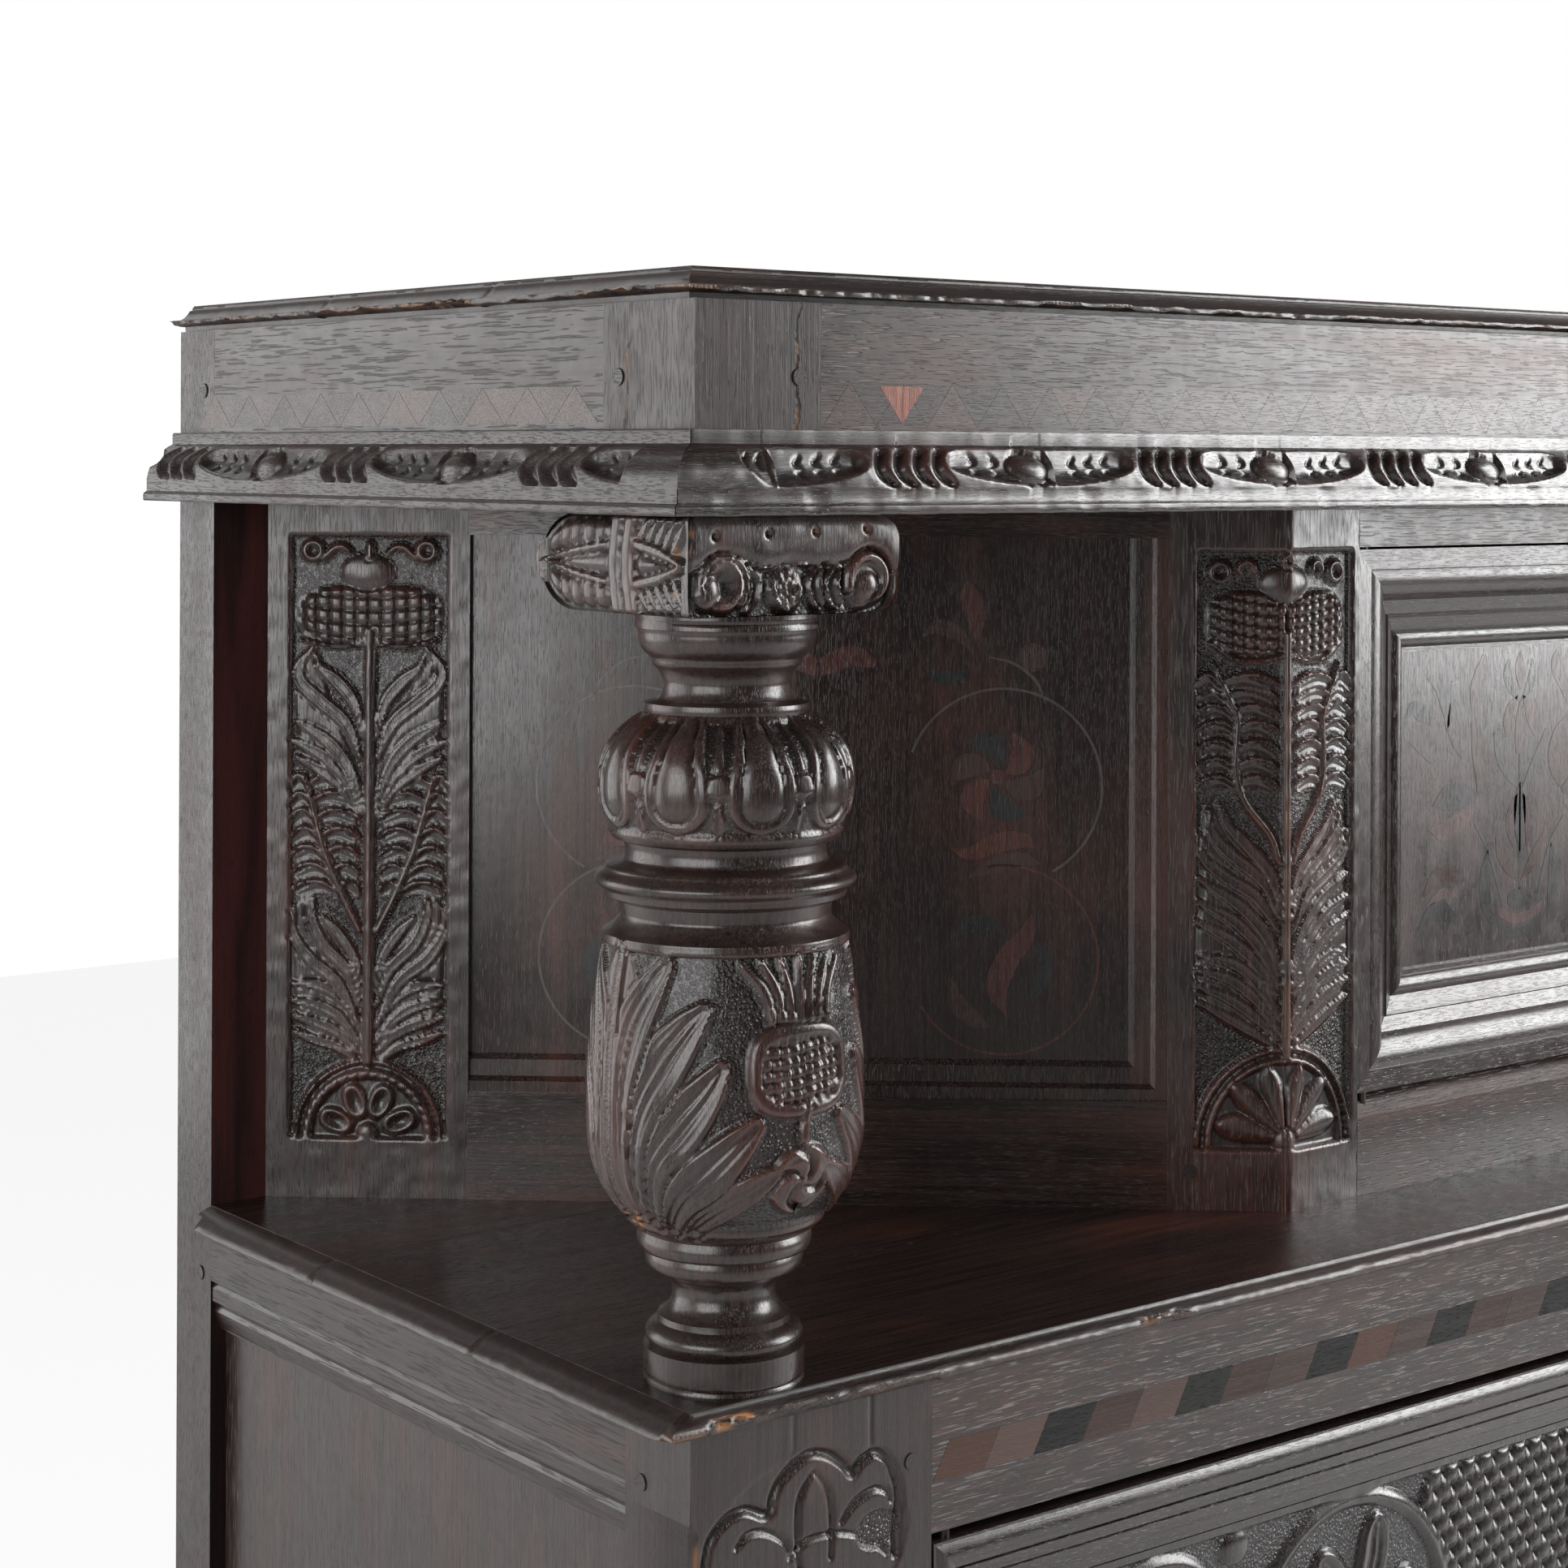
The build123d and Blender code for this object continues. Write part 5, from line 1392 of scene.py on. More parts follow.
    def skin(self, reach: float, carve: Relief, run: Array,
             place: Callable[[Array, Array, Array], Array]) -> tuple[Array, dict[str, Array]]:
        """The section's points along a run, with the ovolo cut in.

        Args:
            reach: How far the section stands out.
            carve: The ovolo's relief.
            run: The places along the run; a grid of them where it ends on a mitre.
            place: Turns the run, the distance out and the height into points.

        Returns:
            The points, one row for each place along the run, and their attributes.
        """
        points, normals, along = self.outline(reach)
        cut = np.zeros((run.shape[0], len(points)))
        worn = np.clip(waver(cut.shape, 11, int(10 * reach)) + 0.3, 0, 1)
        cut[:, 3:8], cut[:, -4:-1] = -0.3 * worn[:, 3:8], -0.22 * worn[:, -4:-1]
        cut[0] = cut[-1]
        cut[:, along >= 0] = carve.h.T
        data = uncarved(cut.shape)
        data["relief"][:, along >= 0] = carve.data(5.0)["relief"].transpose(1, 0, 2)
        out = points[None, :, 0] + normals[None, :, 0] * cut
        up = points[None, :, 1] + normals[None, :, 1] * cut
        length = run if run.ndim == 2 else run[:, None] + 0 * out
        return place(length, out, FRIEZE_LOW + up), data

    def build(self) -> None:
        """Make the front from repeated bays with plain stops, and the two sides."""
        oak = self.shop.finish(CORNICE_OAK)
        side_oak = self.shop.finish(CORNICE_SIDE_OAK)
        _, _, along = self.outline(self.front_reach)
        pitch = sum(self.front_bay)
        run = steps(0, pitch, 1.1)
        carve = self.carve(run, along[along >= 0], (0.0, pitch), self.front_bay, 1.0, 4, -20.0, 4)
        solid = Solid()
        points, data = self.skin(self.front_reach, carve, run, self.on_front)
        solid.quads(solid.vertices(points, data), around=True)
        bay = solid.mesh("cornice_bay")
        bays = self.shop.repeats.run("cornice_front_run", bay, oak, 4, (-self.front_stop, 0, 0), (pitch, 0, 0))
        whole = bmesh.new()
        whole.from_mesh(bays)
        bays.transform(Matrix.Scale(-1, 4, (1, 0, 0)))
        whole.from_mesh(bays)
        whole.to_mesh(bays)
        whole.free()
        close_rings(bays)
        Piece("cornice_front_run", bays, nodes=("cornice_front",)).enter()
        self.stop(oak)
        points, _, along = self.outline(self.side_reach)
        run = steps(0, BACK - FRONT, 1.1)
        ridges = [index * sum(self.side_bay) for index in range(4)]
        carve = self.carve(run, along[along >= 0], ridges, self.side_bay, -1.0, 3, self.side_stop, 7)
        near = np.clip(1 - run[:, None] / 12, 0, 1)
        length = run[:, None] - near * points[None, :, 0] * (self.front_reach / self.side_reach) + 0.25 * near
        solid = Solid()
        skin, data = self.skin(self.side_reach, carve, length, self.on_side)
        solid.tube(skin, data)
        Piece("cornice_side_left", solid.mesh("cornice_side_left"), nodes=("cornice_side_left",)).twin(side_oak)

    def on_front(self, run: Array, out: Array, up: Array) -> Array:
        """Points of the front run."""
        return np.stack([run, FRONT - out, up], -1)

    def on_side(self, run: Array, out: Array, up: Array) -> Array:
        """Points of the left run, which goes back from the front."""
        return np.stack([-SIDE - out, FRONT + run, up], -1)

    def stop(self, oak: bpy.types.Material) -> None:
        """Make the plain stop at each front corner, from the mitre to a curved edge before the first ridge.

        Args:
            oak: Its material.
        """
        points, _, along = self.outline(self.front_reach)
        mitre = -SIDE - points[:, 0] * self.side_reach / self.front_reach + 0.35
        share = np.linspace(0, 1, 44)
        carve = Relief(-SIDE + (SIDE - self.front_stop) * share, along[along >= 0])
        top = along.max()
        part = carve.y / top
        edge = self.plain_end + 12.0 * (1 - part) ** 1.4
        bowl = np.clip(np.sin(math.pi * np.clip((part - 0.04) / 0.92, 0, 1) ** 0.85), 0, 1) ** 0.75
        carve.h = -0.5 * self.depth * bowl * smooth((carve.x - edge) / 4.0)
        for x in (self.plain_end + 5.0, self.plain_end + 11.0):
            carve.gouge(((x + 1.5, 0.86 * top, 0.5), (x, 0.62 * top, 2.0), (x + 1.5, 0.4 * top, 0.5)), 1.6)
        self.ridge(carve, -self.front_stop, top)
        carve.h = np.minimum(carve.h + 0.16 * waver(carve.h.shape, 6, 3) - 0.16, 0)
        length = mitre[None] * (1 - share[:, None]) - self.front_stop * share[:, None]
        solid = Solid()
        skin, data = self.skin(self.front_reach, carve, length, self.on_front)
        solid.tube(skin, data)
        Piece("cornice_stop_left", solid.mesh("cornice_stop_left")).twin(oak)


# ---- the carved stiles and posts ----
@dataclass
class ThistleCarving:
    """Strokes that the carved stiles share: ferns, lobed leaves, a netted flower head and its crown."""

    shop: Shop
    depth: float = 4.2

    def body(self, carve: Relief, path: Rows) -> None:
        """Leave a pair of low leaf bodies standing behind the blades."""
        carve.stroke(path, -1.9, -3.6, FLAT, 0.25, twin=True)

    def blade(self, carve: Relief, path: Rows) -> None:
        """Carve a pair of hollow leaf blades with a raised vein in each."""
        carve.stroke(path, -0.1, -self.depth + 0.4, HOLLOW, 0.36, 0.78, twin=True)
        carve.stroke([(x, y, 0.30 * width) for x, y, width in path], -0.7, -2.6, TENT, over=False, twin=True)

    def fern(self, carve: Relief, rib: Rows, tops: Sequence[float], inner: float,
             outer: float) -> None:
        """Carve a pair of fern ribs with curved barbs on both sides.

        Args:
            carve: The relief.
            rib: Rows of (x, y, half width) from its foot to its tip.
            tops: The heights at which the barbs leave the rib.
            inner: How near the stem the inner barbs reach.
            outer: How far out the outer barbs reach.
        """
        rows = curve(rib)
        for high in tops:
            x = float(np.interp(high, rows[:, 1], rows[:, 0]))
            for end in (inner, outer):
                run = end - x
                if abs(run) < 5:
                    continue
                scoop = [(x, high - 8.5, 1.2), (x + 0.4 * run, high - 3.8, 4.2), (x + 0.85 * run, high - 7.5, 3.0)]
                rim = [(x, high - 5.5, 0.9), (x + 0.3 * run, high + 0.6, 1.8), (x + 0.7 * run, high + 0.8, 1.9),
                       (x + run, high - 4.5, 1.1)]
                carve.stroke(scoop, -1.7, -3.6, HOLLOW, 0.5, 0.9, twin=True)
                carve.stroke(rim, -0.1, -3.2, ROUND, twin=True)
        carve.stroke(rib, 0.0, -3.4, ROUND, twin=True)

    def head(self, carve: Relief, halves: Sequence[tuple[float, float, float, float]], pitch: float,
             sag: float) -> None:
        """Carve a netted flower head.

        Args:
            carve: The relief.
            halves: One or more cushions of (x, y, half width, half height).
            pitch: The distance between the net's grooves.
            sag: How far the net hangs down towards the sides.
        """
        whole = np.zeros(carve.h.shape)
        for x, y, wide, high in halves:
            carve.oval(x, y, wide, high, -0.1, -3.8, FLAT, 0.22, power=3.0)
            far = ((np.abs(carve.x - x) / wide) ** 3 + (np.abs(carve.y - y) / high) ** 3) ** (1 / 3)
            whole = np.maximum(whole, np.clip((0.95 - far) * 8, 0, 1))
        carve.lattice(whole, pitch, 1.45, 2.1, bend=-sag * (carve.x / 45.0) ** 2)

    def finish_field(self, carve: Relief, field_mask: Array, seed: int) -> None:
        """Keep the carving inside its field, wear it and take its sharpness off.

        Args:
            carve: The relief.
            field_mask: More than nought inside the field.
            seed: The seed of the wear.
        """
        carve.fill(field_mask <= 0, 0.0)
        carve.h += 0.22 * waver(carve.h.shape, 7, seed) - 0.16
        carve.h = np.minimum(carve.h, 0.0)
        carve.soften()


@dataclass
class CantedStile(ThistleCarving):
    """The rear stile of each canted wall, carved with a thistle that grows from a half flower."""

    low: float = 519.0
    high: float = 648.7
    tall: float = 447.0
    centre: float = 583.5
    foot: float = 38.0
    thick: float = 25.0

    def carve(self, across: Array, up: Array) -> Relief:
        """Carve the stile's face.

        Args:
            across: The places across, from the stem.
            up: The places up from the foot of the carving.

        Returns:
            The relief.
        """
        carve = Relief(across, up)
        field_mask = np.minimum.reduce([smooth((50.8 - np.abs(carve.x)) / 1.3), smooth(carve.y / 1.3),
                                        smooth((384.5 - carve.y) / 1.3)])
        carve.sink(field_mask, self.depth)
        for path in (((12, 58, 10), (27, 84, 20), (33, 112, 17), (40, 138, 10), (42, 152, 4)),
                     ((9, 216, 8), (26, 244, 16), (36, 276, 13), (38, 306, 6))):
            self.body(carve, path)
        for path in (((8, 50, 2), (20, 58, 3.6), (34, 62, 3.8), (47.5, 67, 2.2)),
                     ((6, 54, 2), (18, 66, 3.8), (32, 72.5, 4.0), (47.5, 77, 2.4)),
                     ((5, 60, 2), (18, 76, 4.0), (32, 84, 4.2), (48, 87, 2.4)),
                     ((4, 70, 2), (16, 88, 4.2), (32, 97, 4.4), (48, 98, 2.2)),
                     ((7, 76, 2), (20, 99, 4.4), (38, 114, 4.8), (48.5, 131, 3.6), (48.5, 146, 2.2)),
                     ((5.5, 84, 2), (13, 106, 4.4), (30, 124, 4.8), (37.5, 143, 4.0), (36, 156, 2.0)),
                     ((4.5, 94, 2), (9, 114, 3.6), (20, 131, 4.0), (29, 140, 2.2))):
            self.blade(carve, path)
        self.fern(carve, ((5.5, 132, 2.6), (16, 153, 2.8), (25, 174, 2.7), (29, 184, 2.6), (35, 206, 2.3),
                          (41.5, 232, 1.2)), (162, 173, 184.5, 196, 208, 219, 230), 6.0, 50.0)
        for path in (((6, 206, 2), (14, 221, 4.0), (29, 233, 4.4), (46, 242, 2.4)),
                     ((5, 208, 2), (14, 228, 4.2), (29, 243, 4.6), (48.5, 253, 2.6)),
                     ((4.5, 212, 2), (13, 236, 4.2), (27, 253, 4.8), (46, 265, 2.4)),
                     ((6, 243, 2), (15, 264, 5.0), (31, 278, 5.6), (44, 290, 5.2), (45, 301, 4.0), (36, 313, 1.6)),
                     ((4.5, 256, 2), (10, 277, 4.6), (21, 291, 5.0), (31, 299, 3.2), (34, 306, 1.4))):
            self.blade(carve, path)
        self.head(carve, ((0, 333.5, 48.5, 20.0),), 8.4, 4.0)
        carve.stroke(((-44, 318, 1.0), (-22, 313.5, 1.5), (0, 315, 1.4), (22, 313.5, 1.5), (44, 318, 1.0)), -0.3, -3.4,
                     ROUND)
        carve.oval(1.5, 361, 17.5, 12.5, -0.1, -4.0, ROUND)
        carve.stroke(((0, 370, 2.6), (0, 376, 2.8), (0, 382.5, 0.9)), -0.3, -3.8, ROUND)
        carve.stroke(((30, 369, 1.4), (23, 376, 2.6), (17, 377, 2.6), (11, 372.5, 0.9)), -0.4, -3.8, ROUND,
                     twin=True)
        carve.ring(36.5, 374.6, 5.3, 2.5, -0.2, -3.8, twin=True)
        self.half_flower(carve)
        carve.stroke(((0, 49, 4.4), (0, 190, 3.7), (0, 323, 3.5)), 0.0, -3.2, ROUND)
        self.finish_field(carve, field_mask, 31)
        return carve

    def half_flower(self, carve: Relief) -> None:
        """Carve the half flower at the foot: two arches, four hollow petals and a boss.

        Args:
            carve: The stile's relief.
        """
        carve.fill(np.hypot(carve.x / 46.0, carve.y / 49.0) < 1, -3.8)
        angles = np.radians(np.linspace(0, 180, 19))
        carve.stroke(arc(0, 0, 46.5, 48.5, 1.9, angles), -0.1, -3.6, ROUND)
        carve.stroke(arc(0, 0, 39.5, 40.5, 3.7, angles), -0.3, -3.6, ROUND)
        for angle in np.radians(np.arange(6, 178, 9.5)):
            carve.gouge([(r * math.cos(angle + s), r * math.sin(angle + s), 0.9)
                         for r, s in ((36.5, -0.05), (40, 0.0), (43.5, 0.05))], 1.3)
        for degrees in (22, 68, 112, 158):
            angle = math.radians(degrees)
            carve.oval(22 * math.cos(angle), 2 + 22.5 * math.sin(angle), 13.5, 8.4, -0.5, -3.9, HOLLOW, 0.32, 1.0,
                       turn=degrees, power=2.4)
        carve.oval(0.5, 2, 7.0, 7.6, 0.0, -3.8, ROUND)

    def build(self) -> None:
        """Make both stiles."""
        across, up = steps(self.low, self.high, 1.2), steps(0, self.tall, 1.2)
        carve = self.carve(across - self.centre, up - self.foot)
        along, high = np.meshgrid(across, up)
        solid = Solid()
        solid.plate(to_canted(along, carve.h, high), border(to_canted(along, 0 * along - self.thick, high)),
                    carve.data(5.0))
        Piece("canted_stile_left", solid.mesh("canted_stile_left", 60), nodes=("canted_stile_left",)).twin(
            self.shop.finish(STILE_CARVED))


@dataclass
class CornerStile(ThistleCarving):
    """The stile at the front of each canted wall, with one carving that wraps round its arris."""

    front_end: float = -65.0
    canted_end: float = 76.0
    tall: float = 447.0
    foot: float = 38.0
    thick: float = 30.0

    def carve(self, across: Array, up: Array) -> Relief:
        """Carve both faces of the stile, unfolded.

        Args:
            across: The places across, from the arris.
            up: The places up from the shelf.

        Returns:
            The relief.
        """
        carve = Relief(across, up)
        field_mask = np.minimum.reduce([smooth((59.0 - np.abs(carve.x)) / 1.3), smooth((carve.y - self.foot) / 1.3),
                                        smooth((416.0 - carve.y) / 1.3)])
        carve.sink(field_mask, self.depth)
        self.body(carve, ((13, 112, 10), (34, 136, 20), (38, 168, 22), (36, 200, 20), (46, 232, 9), (49, 250, 4)))
        for path in (((9, 104, 2), (22, 112, 3.6), (38, 121, 3.8), (56, 130, 2.2)),
                     ((7, 108, 2), (20, 121, 4.0), (37, 133, 4.2), (57, 141, 2.4)),
                     ((5, 112, 2), (17, 129, 4.0), (34, 144, 4.4), (57, 151, 2.4)),
                     ((4.5, 120, 2), (15, 138, 4.0), (32, 154, 4.4), (55, 160, 2.2)),
                     ((7, 136, 2), (19, 154, 4.2), (36, 170, 4.6), (57, 181, 2.4)),
                     ((5.5, 142, 2), (16, 163, 4.2), (34, 182, 4.6), (57, 194, 2.4)),
                     ((4.5, 150, 2), (13, 172, 4.2), (31, 192, 4.6), (56, 208, 2.2)),
                     ((7, 176, 2), (20, 197, 4.4), (40, 210, 4.8), (54, 222, 3.6), (56, 236, 2.0)),
                     ((5.5, 184, 2), (15, 206, 4.4), (34, 222, 4.8), (47, 236, 4.0), (50, 250, 2.0)),
                     ((4.5, 192, 2), (11, 212, 4.0), (25, 228, 4.4), (38, 242, 3.4), (44, 255, 1.6))):
            self.blade(carve, path)
        self.fern(carve, ((6, 219, 2.8), (12, 236, 3.0), (28, 257, 3.0), (33.5, 278, 2.9), (32.5, 308, 2.7),
                          (38, 322, 2.2), (48, 344, 1.1)), (272, 283, 294.5, 306.5, 317.5, 327.5, 336), 7.0, 58.0)
        self.head(carve, ((25, 369.5, 27.5, 22.0), (-25, 369.5, 27.5, 22.0)), 7.2, 7.0)
        carve.stroke(((3, 350, 1.2), (16, 346.5, 1.8), (34, 347, 1.8), (50, 357, 1.2)), -0.3, -3.6, ROUND,
                     twin=True)
        carve.oval(0, 395, 19.5, 12.5, -0.1, -4.0, ROUND)
        carve.ring(0, 409.5, 3.6, 2.3, -0.2, -3.8)
        carve.ring(44, 402, 5.6, 2.6, -0.2, -3.8, twin=True)
        carve.ring(27, 404, 4.6, 2.2, -0.4, -3.8, -30, 200, twin=True)
        self.shell(carve)
        carve.stroke(((0, 99, 4.8), (0, 220, 3.9), (0, 362, 3.7)), 0.0, -3.2, ROUND)
        self.finish_field(carve, field_mask, 37)
        carve.h -= 1.0 * np.exp(-(carve.x / 1.8) ** 2) * (carve.y < 104) + 0.5 * np.exp(-(carve.x / 1.5) ** 2)
        worn = np.exp(-(carve.x / 2.4) ** 2) * smooth(waver(carve.h.shape, 14, 12) + 0.9)
        carve.raw = 0.12 * worn * smooth((340 - carve.y) / 20) * smooth((carve.y - 90) / 15)
        return carve

    def shell(self, carve: Relief) -> None:
        """Carve the ribbed shell under its arch at the foot.

        Args:
            carve: The stile's relief.
        """
        carve.fill(np.hypot(carve.x / 57.0, (carve.y - 40.0) / 61.0) < 1, -4.2)
        angles = np.radians(np.linspace(0, 180, 21))
        for wide, high, thin, top in ((57.5, 61.5, 2.2, -0.1), (50.5, 54.5, 2.4, -0.3)):
            carve.stroke(arc(0, 40, wide, high, thin, angles), top, -3.8, ROUND)
        for angle in np.radians(np.arange(6, 178, 9)):
            carve.gouge([(r * math.cos(angle), 40 + r * 1.07 * math.sin(angle), 0.9) for r in (52, 54.5, 57)], 1.5)
        for path in (((4, 45, 1.6), (17, 49, 6.4), (31, 52, 8.6), (39, 53, 6.5), (42, 53.5, 3.4)),
                     ((4, 47, 1.6), (14, 58, 5.8), (25, 69, 7.6), (31, 75, 5.8), (33, 77, 3.0)),
                     ((2, 49, 1.6), (6, 62, 5.0), (10, 77, 6.6), (12, 84, 5.4), (12.5, 88, 2.8))):
            carve.stroke(path, -0.1, -4.0, ROUND, twin=True)
        carve.oval(0, 43, 9.5, 9.0, 0.0, -3.6, ROUND)

    def place(self, along: Array, out: Array, up: Array) -> Array:
        """Find places on the stile.

        Args:
            along: How far they are along its folded face, from the arris.
            out: How far they stand out from it.
            up: How far they are up from the shelf.

        Returns:
            The points.
        """
        turn = smooth((along + 4.0) / 8.0)
        x = np.where(along < 0, ARRIS[0] - along, ARRIS[0] + along * ALONG[0])
        y = np.where(along < 0, ARRIS[1], ARRIS[1] + along * ALONG[1])
        normal_x, normal_y = -INWARD[0] * turn, -INWARD[1] * turn - (1 - turn)
        size = np.hypot(normal_x, normal_y)
        return np.stack([x + normal_x / size * out, y + normal_y / size * out, SHELF + up], -1)

    def behind(self, along: Array, up: Array) -> Array:
        """Find places on the back of the stile, which is folded on the inner mitre.

        Args:
            along: How far they are along the folded face, from the arris.
            up: How far they are up from the shelf.

        Returns:
            The points.
        """
        spread = self.thick / (1 + INWARD[1])
        mitre = np.array([ARRIS[0] + INWARD[0] * spread, ARRIS[1] + (1 + INWARD[1]) * spread])
        front = np.array([ARRIS[0] - self.front_end, ARRIS[1] + self.thick])
        rear = to_canted(np.array(self.canted_end), np.array(-self.thick), np.array(0.0))[:2]
        share = np.where(along < 0, along / self.front_end, along / self.canted_end)[..., None]
        end = np.where((along < 0)[..., None], front, rear)
        flat = mitre * (1 - share) + end * share
        return np.concatenate([flat, (SHELF + up)[..., None]], -1)

    def build(self) -> None:
        """Make both stiles."""
        across = np.concatenate([steps(self.front_end, 0, 1.15), steps(0, self.canted_end, 1.15)[1:]])
        up = steps(0, self.tall, 1.2)
        carve = self.carve(across, up)
        along, high = np.meshgrid(across, up)
        solid = Solid()
        solid.plate(self.place(along, carve.h, high), border(self.behind(along, high)), carve.data(5.0))
        Piece("corner_stile_left", solid.mesh("corner_stile_left", 60), nodes=("corner_stile_left",)).twin(
            self.shop.finish(STILE_CARVED))


@dataclass
class FrontPost:
    """The front post of the lower stage: palmettes one above another, cut with an outlining gouge."""

    shop: Shop
    left: float = -SIDE
    right: float = -637.4
    tall: float = 893.0
    thick: float = 56.0
    centre: float = -717.0
    chamfer: float = 4.0

    def palmette(self, carve: Relief, top: float) -> None:
        """Cut one palmette.

        Args:
            carve: The post's relief.
            top: The height of its highest point.
        """
        shift = top - 869.7
        outline = ((-66, 798), (-69, 815), (-68, 827.6), (-65, 838.7), (-56, 847), (-43, 849.5), (-30, 844),
                   (-26.5, 846), (-25.6, 852), (-20.7, 859.8), (-9, 867.6), (0, 869.7), (11, 866.5), (21, 859.3),
                   (26.5, 853.6), (31.8, 859), (41.5, 861.6), (50, 856), (56, 845), (57.6, 835), (56.5, 822), (55, 806))
        carve.gouge([(x, y + shift, 3.6) for x, y in outline], 3.8)
        carve.h = np.where(np.hypot((carve.x + 3) / 66, (carve.y - 822 - shift) / 48) < 1, carve.h - 0.5, carve.h)
        for path in (((0, 860, 0.8), (-8.2, 848, 2.4), (-9.5, 830, 2.5), (-8, 812, 1.4)),
                     ((1, 860, 0.8), (10.5, 848, 2.3), (13, 830, 2.5), (12, 813, 1.4)),
                     ((-49, 831, 1.4), (-42, 836.6, 2.7), (-30.4, 835.8, 2.8), (-19, 829, 2.2), (-15, 822, 1.2)),
                     ((18, 829, 1.2), (27, 838, 2.7), (40, 842.5, 2.8), (49, 840, 2.2), (53, 833, 1.2)),
                     ((-15, 819, 1.4), (-4, 825.5, 2.4), (8, 826, 2.4), (22, 824, 2.2), (36, 818, 2.0), (50, 807, 1.4)),
                     ((-60, 800, 1.2), (-48, 812, 2.4), (-32, 815, 2.4), (-16, 808, 1.4))):
            carve.gouge([(x, y + shift, width) for x, y, width in path], 2.8)
        patch = np.minimum(np.hypot((carve.x - 44) / 17, (carve.y - 821 - shift) / 11), 2)
        carve.sink(smooth((1.0 - patch) * 5), 3.0)
        patch = np.hypot((carve.x + 44) / 15, (carve.y - 797 - shift) / 9)
        carve.sink(smooth((1.0 - patch) * 5), 3.0)
        for sense in (-1, 1):
            for index in range(3):
                x = sense * (14 + 15 * index)
                carve.gouge(((sense * 5, 772 + shift, 1.4), (x, 784 - 3 * index + shift, 3.2),
                             (x + sense * 9, 798 - 9 * index + shift, 1.4)), 2.6)

    def build(self) -> None:
        """Make both posts."""
        across = steps(self.left, self.right, 1.3)
        up = np.concatenate([steps(0, 770, 2.3), steps(770, self.tall, 1.1)[1:]])
        carve = Relief(across - self.centre, up)
        for top in (869.7, 740.0, 610.0, 480.0, 350.0, 220.0):
            self.palmette(carve, top)
        carve.h = np.where(np.abs(carve.x + 4) > 74.5, 0.0, carve.h)
        edge = carve.x + self.centre - self.left
        chipped = self.chamfer * smooth((850 - carve.y + 2.5 * waver(carve.h.shape, 6, 3)) / 6)
        carve.h -= np.maximum(chipped + 0.8 * waver(carve.h.shape, 9, 8) - edge, 0)
        carve.raw = 0.35 * smooth(1 - np.abs(edge - self.chamfer) / 2.0) * smooth((842 - carve.y) / 8)
        crack = 0.5 * waver(carve.h.shape, 22, 6)
        for place, low in ((-12.5, 873), (38, 858)):
            carve.h -= 1.1 * smooth(1 - np.abs(carve.x - place - crack) / 0.9) * (carve.y > low)
        carve.h = np.minimum(carve.h + 0.1 * waver(carve.h.shape, 11, 5), 0.0)
        carve.soften()
        x = carve.x + self.centre
        solid = Solid()
        solid.plate(np.stack([x, FRONT - carve.h, carve.y], -1),
                    border(np.stack([x, 0 * x + FRONT + self.thick, carve.y], -1)), carve.data(5.0))
        Piece("front_post_left", solid.mesh("front_post_left", 60), nodes=("front_post_left",)).twin(
            self.shop.finish(POST_CARVED))


